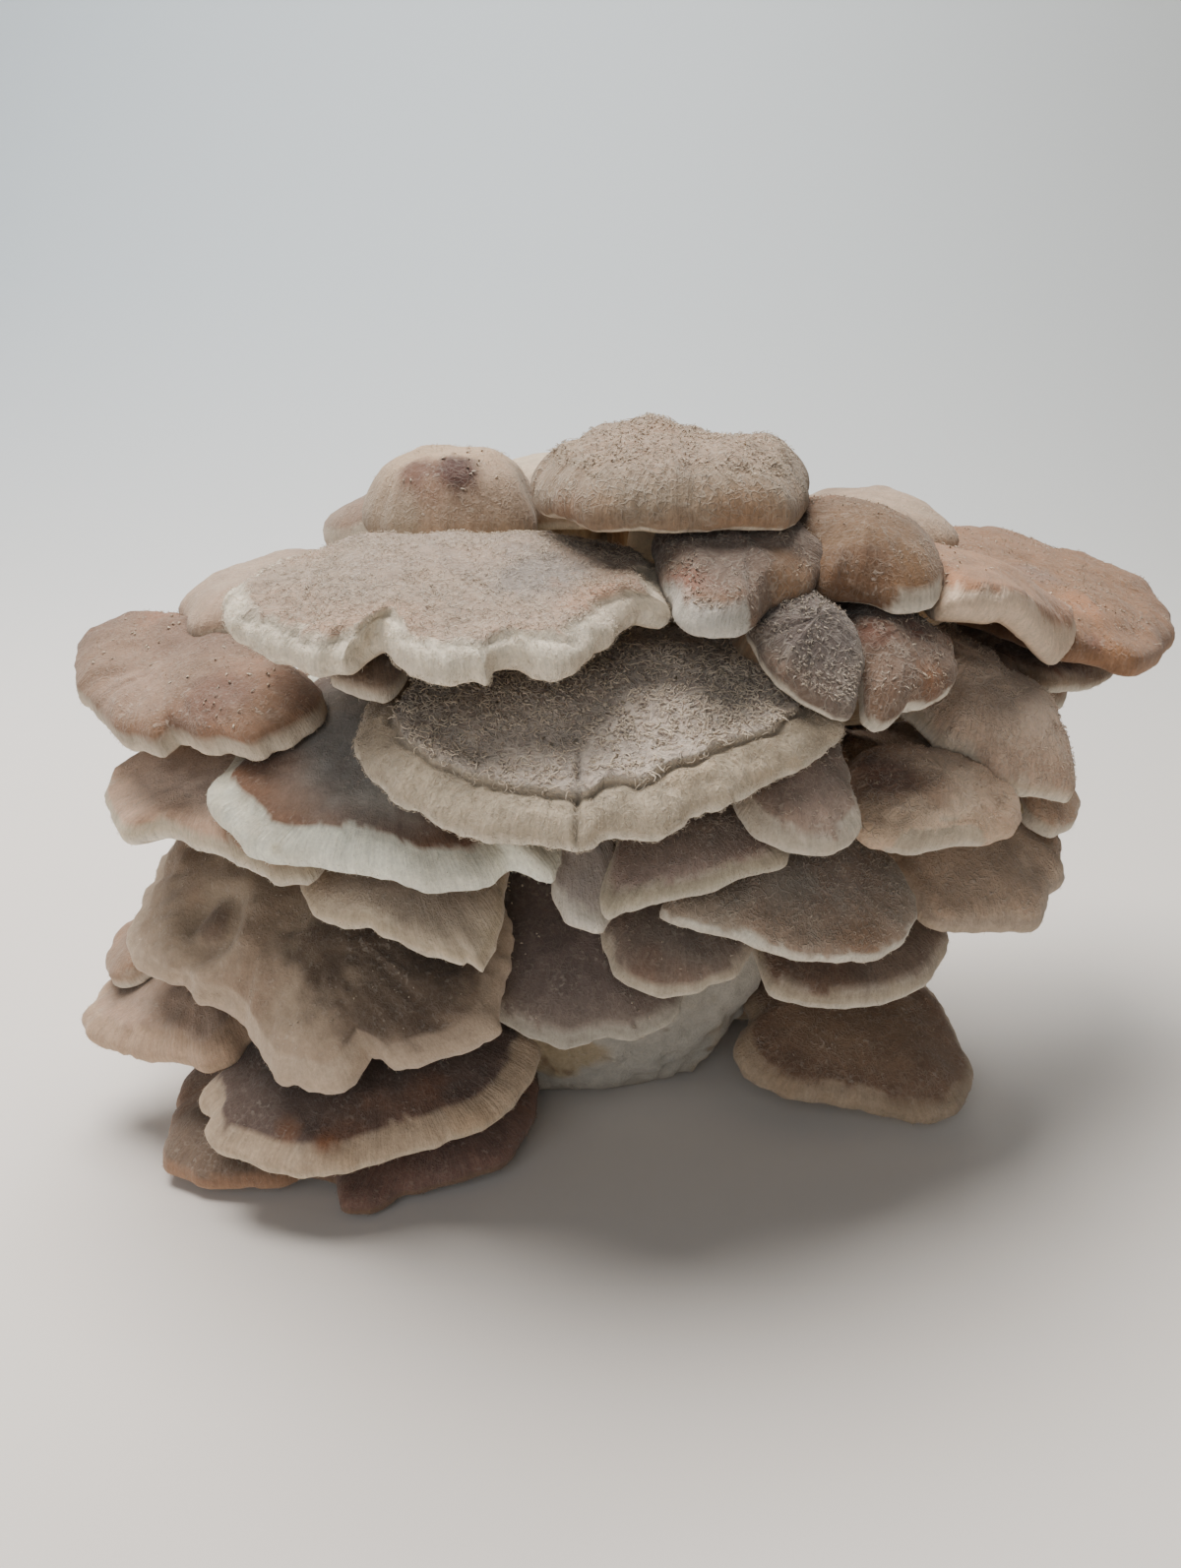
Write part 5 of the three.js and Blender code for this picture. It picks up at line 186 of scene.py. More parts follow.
LOOK = {
    "cap_front_centre": dict(base=(211, 192, 176), edge=(202, 183, 165), rim=(187, 170, 146), st=0.08, fib=1.75, cb=9.6, hair=0.56,
        hl=3.0, q=0.8, lobe=0.7, overhang_shade=(112, 100, 94), overhang_shade_amt=0.08, ht=0.155, hp=0.8, fuzz=1.0, fl=1.3, led=1.2, grv=0.9, rag=0.8, nofib=0.62,
        joints=4, curl=1.0, spread=1.6, hback=-0.45, flake=0.5, kl=1.1, kt=0.3, kp=0.6, kfront=1, lip=(216, 205, 186), ft=0.06, box=2.2,
        wool=1.5, soil=0.3),
    "cap_upper_left": dict(base=(157, 136, 118), edge=(167, 142, 122), rim=(214, 201, 179), stain=(176, 132, 100), st=0.3, fib=0.95,
        cb=5.6, hair=0.88, hl=1.7, q=0.85, lobe=1.1, overhang_shade=(140, 126, 116), overhang_shade_amt=0.4, ht=0.065, hp=0.6, fuzz=1.1, fl=1.2, led=0.7, grv=0.35,
        rag=1.8, spread=1.9, curl=0.8, joints=2, lip=(220, 208, 188), ft=0.05, box=2.2, wool=1.3, soil=0.1),
    "cap_front_left": dict(base=(152, 149, 142), edge=(115, 73, 46), rim=(227, 225, 207), stain=(122, 82, 56), st=0.65, fib=0.4, cb=6.8,
        hair=0.0, hl=1.3, q=1.15, lobe=1.2, overhang_shade=(84, 78, 76), overhang_shade_amt=0.6, hp=0.2, fuzz=0.4, led=0.5, grv=0.25, rag=1.3, lip=(231, 231, 216),
        box=2.8, soil=0.35),
    "cap_top_centre": dict(base=(157, 132, 111), edge=(144, 125, 104), rim=(143, 125, 104), stain=(150, 104, 66), st=0.35, fib=0.95,
        cb=-4.0, hair=0.6, hl=1.5, q=1.15, lobe=1.2, lump=2.3, overhang_shade=(120, 100, 84), overhang_shade_amt=0.3, ht=0.09, hp=0.5, spread=1.8, flake=0.5,
        fuzz=0.0, kt=0.16, kl=1.2, kp=0.4, str=1.7),
    "cap_top_left": dict(base=(182, 154, 126), edge=(148, 129, 109), rim=(141, 124, 105), stain=(150, 108, 82), st=0.3, fib=0.6,
        cb=-4.0, hair=0.25, hl=0.9, q=1.4, lump=1.1, overhang_shade=(110, 80, 66), overhang_shade_amt=0.2, ht=0.05, flake=0.03, fuzz=0.0),
    "cap_top_rear": dict(base=(196, 176, 152), edge=(190, 168, 144), rim=(190, 168, 144), st=0.15, fib=0.4, cb=-2.0, overhang_shade_amt=0.15),
    "cap_lower_left": dict(base=(158, 139, 118), edge=(162, 139, 117), rim=(184, 162, 139), stain=(96, 64, 44), st=0.4, fib=0.45,
        cb=4.4, hair=0.0, hl=1.1, q=1.3, lobe=1.0, lump=2.2, overhang_shade=(66, 50, 41), overhang_shade_amt=0.75, hp=0.25, led=0.5, rag=0.9, lip=(191, 172, 152),
        flake=0.03, kl=0.7, kt=0.16, fuzz=0.15, str=0.35),
    "cap_left_upper": dict(base=(134, 107, 87), edge=(134, 103, 79), rim=(182, 166, 146), stain=(140, 90, 62), st=0.5, fib=0.55, cb=1.6,
        hair=0.15, q=1.4, lump=1.6, overhang_shade=(96, 70, 58), overhang_shade_amt=0.75, led=0.3, hl=0.8, ht=0.05, flake=0.03, lip=(208, 194, 174)),
    "cap_left_middle": dict(base=(214, 189, 171), edge=(205, 168, 140), rim=(208, 192, 166), stain=(132, 84, 54), st=0.5, cb=2.6,
        fib=0.5, led=0.35, lump=1.4),
    "cap_left_rear_upper": dict(base=(170, 146, 126), edge=(172, 146, 124), rim=(206, 190, 168), st=0.2),
    "cap_left_low": dict(base=(171, 145, 125), edge=(179, 153, 133), rim=(186, 156, 130), stain=(172, 116, 76), st=0.25, cb=5.8,
        led=0.4, lip=(200, 172, 144), fib=0.5, lump=1.5),
    "cap_left_low_rear": dict(base=(146, 122, 104), edge=(160, 130, 106), rim=(196, 168, 142), st=0.3),
    "cap_foot_left": dict(base=(94, 79, 72), edge=(103, 84, 75), rim=(190, 166, 140), stain=(150, 92, 52), st=0.3, cb=5.0, fib=0.45,
        hair=0.05, hl=0.8, q=1.35, overhang_shade=(70, 54, 48), overhang_shade_amt=0.6, hp=0.25, led=0.5, lip=(214, 196, 170), soil=0.3),
    "cap_foot_front": dict(base=(131, 105, 96), edge=(136, 107, 96), rim=(128, 102, 84), stain=(140, 88, 60), st=0.2, cb=0.4, overhang_shade_amt=0.5,
        led=0.2, lip=(150, 118, 94)),
    "cap_foot_left_outer": dict(base=(116, 99, 85), edge=(122, 101, 85), rim=(160, 124, 98), stain=(160, 104, 68), st=0.3, cb=1.8,
        led=0.25, lip=(176, 138, 108)),
    "cap_mid_lower_left": dict(base=(178, 161, 143), edge=(198, 179, 155), rim=(196, 178, 152), stain=(134, 88, 56), st=0.5, cb=3.0,
        q=1.2, led=0.4, lip=(216, 204, 184)),
    "cap_low_centre": dict(base=(114, 99, 92), edge=(130, 115, 104), rim=(172, 164, 150), stain=(70, 48, 38), st=0.4, cb=2.8, fib=0.5,
        q=1.35, overhang_shade=(54, 42, 38), overhang_shade_amt=0.8, hair=0.0, hl=0.7, hp=0.4, led=0.3, lip=(204, 196, 180), flake=0.13, kl=0.5, kt=0.22, kp=0.9,
        soil=0.25, str=0.6, lump=1.4),
    "cap_narrow_front": dict(base=(179, 168, 160), edge=(186, 174, 165), rim=(214, 206, 192), st=0.2, cb=3.2, q=1.1, led=0.4),
    "cap_mid_front": dict(base=(151, 133, 121), edge=(161, 138, 126), rim=(176, 164, 142), st=0.3, cb=3.4, fib=0.7, hair=0.35, hl=1.4,
        q=1.05, overhang_shade=(92, 74, 64), led=0.45, lip=(206, 198, 180), ht=0.07, flake=0.2, kt=0.12, kp=0.35),
    "cap_lower_front_right": dict(base=(119, 106, 96), edge=(129, 114, 102), rim=(182, 168, 148), cb=2.3, stain=(120, 76, 50), st=0.5,
        q=1.1, overhang_shade=(74, 58, 48), hair=0.0, hl=0.8, led=0.4, lip=(206, 196, 178), flake=0.06, kl=0.8, kt=0.12, lump=1.3),
    "cap_right_front_small": dict(base=(140, 120, 108), edge=(152, 134, 120), rim=(188, 176, 158), cb=3.2, st=0.25, fib=0.6, hair=0.2,
        hl=1.1, q=1.1, led=0.5, lip=(214, 206, 190), flake=0.25, rag=1.6, kt=0.14, kl=1.0, kp=0.35),
    "cap_right_front_low": dict(base=(150, 138, 126), edge=(166, 150, 132), rim=(220, 215, 200), cb=1.2, stain=(140, 88, 56), st=0.35,
        fib=0.9, hair=0.34, hl=1.1, q=1.2, overhang_shade=(84, 70, 62), overhang_shade_amt=0.55, ht=0.075, hp=0.45, led=0.35, rag=1.6, flake=0.5, kl=0.8, kt=0.13,
        kp=0.4),
    "cap_right_lowest_front": dict(base=(124, 105, 90), edge=(128, 107, 92), rim=(182, 166, 144), cb=2.4, st=0.3, led=0.35),
    "cap_right_torn": dict(base=(212, 184, 157), edge=(220, 190, 160), rim=(184, 168, 146), cb=4.2, stain=(148, 104, 78), st=0.45,
        fib=0.85, hair=0.2, hl=0.8, q=1.1, overhang_shade=(104, 72, 58), led=0.5, rag=1.5, lip=(214, 202, 184), flake=0.4, overhang_shade_amt=0.8, ht=0.05, kt=0.15,
        pad=(75, 97), kl=1.0, kp=0.35, lump=1.5),
    "cap_right_low": dict(base=(187, 160, 136), edge=(198, 169, 143), rim=(183, 162, 142), cb=2.6, st=0.35, fib=0.7, led=0.45, lip=(186,
        166, 142), overhang_shade=(119, 98, 83), overhang_shade_amt=0.7, flake=0.2, kl=0.9, kt=0.12, kp=0.3, lump=1.5),
    "cap_right_middle": dict(base=(192, 168, 147), edge=(202, 173, 149), rim=(204, 184, 160), cb=1.4, st=0.3, fib=0.95, hair=0.25,
        hl=0.9, q=1.3, overhang_shade=(126, 108, 95), led=0.3, flake=0.5, kl=1.2, kt=0.16, kp=0.3, ht=0.06, lump=2.0, str=1.3),
    "cap_right_shoulder_inner": dict(base=(97, 85, 79), edge=(115, 102, 91), rim=(200, 188, 170), cb=-0.6, st=0.3, fib=0.95, hair=0.3,
        hl=0.9, q=1.05, led=0.2, flake=0.9, kl=1.2, kt=0.17, kp=0.32, lump=1.6, ht=0.05),
    "cap_right_shoulder_mid": dict(base=(111, 89, 74), edge=(121, 94, 74), rim=(212, 202, 184), cb=0.8, stain=(132, 84, 58), st=0.55,
        fib=0.8, hair=0.15, hl=0.8, q=1.05, led=0.3, flake=0.4, kl=1.3, kt=0.18, kp=0.4, ht=0.06, lump=1.6),
    "cap_upper_right_inner": dict(base=(116, 98, 86), edge=(113, 88, 69), rim=(200, 194, 182), cb=3.2, stain=(142, 100, 72), st=0.4,
        fib=0.85, hair=0.15, hl=1.3, q=1.05, lump=1.4, led=0.5, flake=0.6, kl=1.1, kt=0.15, kp=0.35, lip=(214, 210, 200), pad=(24, 41)),
    "cap_upper_right_outer": dict(base=(110, 83, 58), edge=(122, 90, 60), rim=(190, 178, 160), cb=2.6, stain=(150, 98, 64), st=0.5,
        fib=0.6, hair=0.1, hl=0.8, q=1.15, led=0.3, flake=0.25, overhang_shade=(92, 66, 50), overhang_shade_amt=0.4, ht=0.05, pad=(74, 87), kl=1.0, kt=0.13, kp=0.35),
    "cap_right_curled": dict(base=(153, 115, 86), edge=(149, 106, 76), rim=(212, 186, 160), cb=4.4, stain=(180, 124, 84), st=0.4,
        fib=0.45, q=1.4, led=0.3, lip=(218, 194, 169), box=2.0, flake=0.04),
    "cap_right_outer": dict(base=(129, 94, 66), edge=(131, 92, 62), rim=(151, 113, 84), cb=1.2, stain=(158, 104, 66), st=0.6, fib=0.55,
        hair=0.08, hl=0.8, q=1.6, lump=1.7, overhang_shade=(140, 108, 86), overhang_shade_amt=0.3, lip=(157, 118, 88), flake=0.2, kl=0.8, kt=0.12, fuzz=0.0),
    "cap_right_outer_under": dict(base=(120, 94, 76), edge=(128, 100, 80), rim=(156, 132, 108), cb=2.6),
    "cap_right_rear_upper": dict(base=(176, 150, 126), edge=(178, 152, 128), rim=(196, 172, 148), cb=-0.5),
    "cap_foot_right": dict(base=(130, 105, 84), edge=(137, 109, 89), rim=(176, 154, 130), cb=3.6, stain=(84, 60, 44), st=0.4, fib=0.7,
        q=1.4, overhang_shade=(74, 56, 44), overhang_shade_amt=0.5, hair=0.0, hl=0.8, led=0.45, rag=0.8, lip=(186, 164, 138), flake=0.06, kl=0.7, kt=0.15, soil=0.3,
        str=0.9, lump=1.5, kp=0.3),
}

# blotches on single caps, and on some caps painted shade: where, how far they reach, colour, strength
BLOTCHES_AND_PAINTED_SHADE = {
    # front centre: painted shadow of the caps above, strongest at the left under the upper-left cap's rim
    "cap_front_centre": (((-40, -85, 134), 30.0, (106, 95, 89), 0.8), ((2, -76, 141), 20.0, (122, 111, 104), 0.3), ((38, -82, 137), 14.0, (122, 110, 102), 0.3)),
    "cap_top_left": (((-25, -25, 173), 9.0, (72, 42, 34), 1.0), ((-34, -24, 173), 8.0, (98, 62, 48), 0.9), ((-30, -28, 169), 6.0, (128, 92, 74), 0.5)),
    "cap_right_torn": (((75, -71, 112), 10.0, (92, 58, 46), 0.8), ((86, -74, 110), 7.0, (122, 84, 62), 0.45)),
    "cap_right_shoulder_mid": (((71, -72, 145), 5.5, (104, 66, 50), 0.85), ((79, -69, 145), 4.5, (104, 66, 52), 0.75),
                               ((81, -77, 137), 5.0, (142, 96, 62), 0.7)),
    "cap_front_left": (((-61, -85, 109), 17.0, (132, 98, 76), 0.6), ((-18, -101, 104), 17.0, (104, 74, 54), 0.7), ((-45, -70, 118), 18.0, (100, 98, 98), 0.6)),
    "cap_upper_left": (((-3, -76, 160), 15.0, (122, 114, 108), 0.75), ((12, -87, 156), 13.0, (168, 126, 98), 0.75), ((-50, -78, 157), 16.0, (150, 132, 116), 0.5), ((-26, -62, 162), 22.0, (160, 138, 122), 0.5)),
    "cap_foot_left": (((-54, -89, 26), 4.5, (146, 92, 58), 0.7), ((-63, -85, 27), 4.0, (138, 92, 62), 0.5)),
    "cap_right_outer": (((136, -7, 135), 9.0, (176, 122, 84), 0.6), ((136, -20, 130), 4.0, (120, 84, 72), 0.6), ((128, 10, 141), 9.0, (128, 104, 92), 0.5)),
    "cap_upper_right_inner": (((27, -83, 159), 8.0, (138, 92, 74), 0.7), ((52, -76, 158), 10.0, (150, 116, 86), 0.7)),
    "cap_upper_right_outer": (((66, -70, 157), 12.0, (92, 66, 52), 0.5),),
    # lower left: the first spot marks the bump; the second and third are painted shade where the caps above overhang
    "cap_lower_left": (((-84, -60, 70), 6.5, (92, 68, 52), 0.75), ((-36, -80, 62), 24.0, (58, 43, 35), 0.75), ((-53, -73, 70), 13.0, (74, 57, 46), 0.55)),
    "cap_left_upper": (((-77, -64, 129), 14.0, (92, 60, 48), 0.7), ((-101, -51, 127), 14.0, (172, 142, 122), 0.4)),
    "cap_right_front_low": (((70, -89, 78), 10.0, (148, 112, 84), 0.6),),
    "cap_top_centre": (((40, -70, 168), 12.0, (158, 118, 84), 0.5), ((2, -66, 168), 10.0, (150, 108, 76), 0.45)),
}

# -------------------------------------------------------------------- noise
def _hash(ix, iy, iz, seed):
    h = (ix.astype(np.uint32) * np.uint32(374761393) + iy.astype(np.uint32) * np.uint32(668265263)
         + iz.astype(np.uint32) * np.uint32(2246822519) + np.uint32((seed * 3266489917) & 0xffffffff))
    h = (h ^ (h >> np.uint32(13))) * np.uint32(1274126177)
    h = (h ^ (h >> np.uint32(16))) * np.uint32(2654435761)
    return ((h >> np.uint32(8)) & np.uint32(0xffff)).astype(np.float64) / 32767.5 - 1.0


def noise(p, lam, seed):
    """Smooth value noise in -1..1 with features lam mm wide."""
    with np.errstate(over="ignore"):
        q = np.asarray(p, float) / lam + 1000.0
        i = np.floor(q).astype(np.int64)
        f = q - i
        f = f * f * f * (f * (f * 6 - 15) + 10)
        out = 0.0
        for dx in (0, 1):
            wx = f[..., 0] if dx else 1 - f[..., 0]
            for dy in (0, 1):
                wy = f[..., 1] if dy else 1 - f[..., 1]
                for dz in (0, 1):
                    wz = f[..., 2] if dz else 1 - f[..., 2]
                    out = out + wx * wy * wz * _hash(i[..., 0] + dx, i[..., 1] + dy, i[..., 2] + dz, seed)
    return out


def fbm(p, lam, seed, octaves=3):
    out, a, tot = 0.0, 1.0, 0.0
    for o in range(octaves):
        out = out + a * noise(p, lam / 2 ** o, seed + 31 * o)
        tot += a
        a *= 0.5
    return out / tot * 1.5


def step(a, b, x):
    t = np.clip((x - a) / (b - a), 0, 1)
    return t * t * (3 - 2 * t)


def mix(a, b, t):
    t = np.asarray(t)[..., None]
    return a * (1 - t) + b * t


# ----------------------------------------------------------------- geometry
def spline(P, m):
    P = np.asarray(P, float)
    t = (np.arange(m) / m)[:, None]
    out = []
    n = len(P)
    for i in range(n):
        a, b, c, d = P[(i - 1) % n], P[i], P[(i + 1) % n], P[(i + 2) % n]
        out.append(0.5 * (2 * b + (c - a) * t + (2 * a - 5 * b + 4 * c - d) * t ** 2 + (-a + 3 * b - 3 * c + d) * t ** 3))
    return np.concatenate(out)


def resample(C, N):
    D_ = np.linalg.norm(np.roll(C, -1, 0) - C, axis=1)
    s = np.concatenate([[0], np.cumsum(D_)])
    CC = np.vstack([C, C[:1]])
    q = np.arange(N) * s[-1] / N
    return np.stack([np.interp(q, s, CC[:, k]) for k in range(3)], 1)


def turn(a, b):
    a = a / np.linalg.norm(a)
    b = b / np.linalg.norm(b)
    v = np.cross(a, b)
    c = max(float(a @ b), -0.999)
    K = np.array([[0, -v[2], v[1]], [v[2], 0, -v[0]], [-v[1], v[0], 0]])
    return np.eye(3) + K + K @ K / (1 + c)


def unit(v):
    return v / np.maximum(np.linalg.norm(v, axis=-1, keepdims=True), 1e-12)


def grid_normals(G):
    """Outward normals of a closed grid of rings (K, N, 3)."""
    du = np.roll(G, -1, 1) - np.roll(G, 1, 1)
    dv = np.empty_like(G)
    dv[1:-1] = G[2:] - G[:-2]
    dv[0] = G[1] - G[0]
    dv[-1] = G[-1] - G[-2]
    return unit(np.cross(dv, du))


def loft_mesh(name, apex, G, tail, tint, fib, extra=None, material=None, flow=None, stk=None):
    """Mesh object from an apex, rings and an end point, with its colours."""
    K, N, _ = G.shape
    v = np.concatenate([apex[None], G.reshape(-1, 3), tail[None]])
    i = np.arange(N)
    j = (i + 1) % N
    tris = [np.stack([np.zeros(N, int), 1 + i, 1 + j], 1)]
    a = 1 + (K - 1) * N
    tris.append(np.stack([a + i, np.full(N, 1 + K * N), a + j], 1))
    k = np.arange(K - 1)[:, None]
    A = 1 + k * N
    quads = np.stack([A + i, A + N + i, A + N + j, A + j], -1).reshape(-1, 4)
    col = np.concatenate([tint[0].mean(0)[None], tint.reshape(-1, 3), tint[-1].mean(0)[None]])
    fb = np.concatenate([[fib[0].mean()], fib.reshape(-1), [fib[-1].mean()]])
    tris = np.concatenate(tris)
    flow = G if flow is None else flow
    stk = np.zeros((K, N)) if stk is None else stk
    fl = np.concatenate([flow[0].mean(0)[None], flow.reshape(-1, 3), flow[-1].mean(0)[None]])
    if extra is not None:
        ev, et, ec = extra
        tris = np.concatenate([tris, et + len(v)])
        v = np.concatenate([v, ev])
        col = np.concatenate([col, ec])
        fb = np.concatenate([fb, np.zeros(len(ev))])
        fl = np.concatenate([fl, ev])
    loops = np.concatenate([tris.reshape(-1), quads.reshape(-1)]).astype(np.int32)
    sizes = np.concatenate([np.full(len(tris), 3), np.full(len(quads), 4)])
    starts = np.concatenate([[0], np.cumsum(sizes)[:-1]]).astype(np.int32)
    me = bpy.data.meshes.new(name)
    me.vertices.add(len(v))
    me.loops.add(len(loops))
    me.polygons.add(len(sizes))
    me.vertices.foreach_set("co", (v * S).astype(np.float32).reshape(-1))
    me.loops.foreach_set("vertex_index", loops)
    me.polygons.foreach_set("loop_start", starts)
    me.polygons.foreach_set("use_smooth", np.ones(len(sizes), bool))
    me.update(calc_edges=True)
    ca = me.color_attributes.new("tint", "FLOAT_COLOR", "POINT")
    ca.data.foreach_set("color", np.concatenate([col, np.ones((len(col), 1))], 1).astype(np.float32).reshape(-1))
    fa = me.attributes.new("fibre", "FLOAT", "POINT")
    fa.data.foreach_set("value", fb.astype(np.float32))
    sa = me.attributes.new("streak", "FLOAT", "POINT")
    sa.data.foreach_set("value", np.concatenate([[stk[0].mean()], stk.reshape(-1), [stk[-1].mean()], np.zeros(len(v) - K * N - 2)]).astype(np.float32))
    va = me.attributes.new("flow", "FLOAT_VECTOR", "POINT")
    va.data.foreach_set("vector", fl.astype(np.float32).reshape(-1))
    me.materials.append(material)
    ob = bpy.data.objects.new(name, me)
    bpy.context.scene.collection.objects.link(ob)
    return ob, int(len(tris) + 2 * len(quads))


def hairs(rng, G, nv, tint, mask, density, length, out_dir, thick=0.1, pale=0.45, spread=1.0, rise=1.0, joints=2, curl=0.75, flat=1.0):
    """Short curled fibres lying on the crown: closed three-sided spikes."""
    du = np.linalg.norm(np.roll(G, -1, 1) - G, axis=2)[:-1]
    dv = np.linalg.norm(G[1:] - G[:-1], axis=2)
    area = du * dv * mask[:-1]
    n = int(area.sum() * density)
    if n < 4:
        return None
    cum = np.cumsum(area.reshape(-1))
    idx = np.minimum(np.searchsorted(cum, rng.random(n) * cum[-1]), area.size - 1)
    k, i = np.divmod(idx, G.shape[1])
    j = (i + 1) % G.shape[1]
    a, b = rng.random(n)[:, None], rng.random(n)[:, None]
    p = (G[k, i] * (1 - a) + G[k, j] * a) * (1 - b) + (G[k + 1, i] * (1 - a) + G[k + 1, j] * a) * b
    nn = nv[k, i]
    o = out_dir[i]
    o = unit(o - (o * nn).sum(1, keepdims=True) * nn)
    side = np.cross(nn, o)
    ang = rng.normal(0, spread, n)
    L = length * (0.55 + 0.9 * rng.random(n))
    M = joints + 1
    pts = [p - nn * 0.1]
    bend = rng.normal(0, curl, n)
    cur = p
    for s in range(M):
        d = o * np.cos(ang)[:, None] + side * np.sin(ang)[:, None]
        cur = cur + d * (L / M)[:, None]
        up = rise * (0.38 * math.sin(math.pi * (s + 1) / (M + 0.6)) + 0.06)
        pts.append(cur + nn * (up * (0.6 + 0.8 * rng.random(n)))[:, None])
        ang = ang + bend + rng.normal(0, 0.3, n)
    w = thick * (0.75 + 0.6 * rng.random(n))
    V = []
    for s in range(M):
        ax = unit(pts[s + 1] - pts[s])
        e1 = unit(np.cross(ax, nn))
        e2 = np.cross(ax, e1)
        r = (w * (0.85 if s == 0 else 1.0 - 0.3 * s / M))[:, None]
        for q in range(3):
            t = 2 * math.pi * q / 3
            V.append(pts[s] + (e1 * math.cos(t) / flat ** 0.5 + e2 * math.sin(t) * flat) * r)
    V.append(pts[M])
    V = np.stack(V, 1)
    f = [(0, 2, 1)]
    for s in range(M - 1):
        a0, b0 = 3 * s, 3 * s + 3
        for q in range(3):
            r_ = (q + 1) % 3
            f += [(a0 + q, a0 + r_, b0 + r_), (a0 + q, b0 + r_, b0 + q)]
    for q in range(3):
        f.append((3 * M - 3 + q, 3 * M - 3 + (q + 1) % 3, 3 * M))
    f = np.array(f)
    m = 3 * M + 1
    tri = (f[None] + (np.arange(n) * m)[:, None, None]).reshape(-1, 3)
    base = tint[k, i]
    tip = lin(222, 204, 180)
    c = mix(base, np.broadcast_to(tip, base.shape), np.clip(pale * (0.6 + 0.8 * rng.random(n)), 0, 1))
    return V.reshape(-1, 3), tri, np.repeat(c, m, 0)


def joined(parts):
    parts = [p for p in parts if p is not None]
    if not parts:
        return None
    off = np.cumsum([0] + [len(p[0]) for p in parts])
    return (np.concatenate([p[0] for p in parts]), np.concatenate([p[1] + o for p, o in zip(parts, off)]), np.concatenate([p[2] for p in parts]))


def plain_solids():
    """All of the frame's solids as one search tree, and whose each face is (mm)."""
    verts, faces, owner = [], [], []
    for node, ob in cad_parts.items():
        k = len(verts)
        verts += [ob.matrix_world @ v.co / S for v in ob.data.vertices]
        for f in ob.data.polygons:
            faces.append([k + i for i in f.vertices])
            owner.append(node)
    return BVHTree.FromPolygons(verts, faces), owner


TREE, OWNER = plain_solids()
LOOKOUTS = [(Vector(d).normalized(), w) for d, w in (((0, 0, 1), 1.0), ((0, -0.8, 0.6), 1.2), ((0.75, -0.2, 0.63), 0.8), ((-0.75, -0.2, 0.63), 0.8),
                                                     ((0.1, 0.7, 0.7), 0.4))]
REACH = 32.0


def painted_occlusion_shade(G, nv, count, name, coarse):
    """How far the skin lies tucked in under its neighbours, 0 to 1; the colour is darkened there as painted shade."""
    K, N = count, G.shape[1]
    ri = np.unique(np.r_[np.arange(0, K, coarse), K - 1])
    ci = np.arange(0, N, coarse)
    A = np.zeros((len(ri), len(ci)))
    total = sum(w for _, w in LOOKOUTS)
    for a, i in enumerate(ri):
        for b, j in enumerate(ci):
            p = Vector(G[i, j] + nv[i, j] * 0.9)
            s = 0.0
            for d, w in LOOKOUTS:
                hit, _, face, far = TREE.ray_cast(p, d, REACH)
                if hit is not None and OWNER[face] != name:
                    s += w * (1 - far / REACH)
            A[a, b] = s / total
    A = 0.5 * A + 0.25 * (np.roll(A, 1, 1) + np.roll(A, -1, 1))
    wide = np.array([np.interp(np.arange(N), np.r_[ci, N], np.r_[r, r[0]]) for r in A])
    out = np.zeros(G.shape[:2])
    for j in range(N):
        out[:K, j] = np.interp(np.arange(K), ri, wide[:, j])
    out[K:] = out[K - 1]
    return out


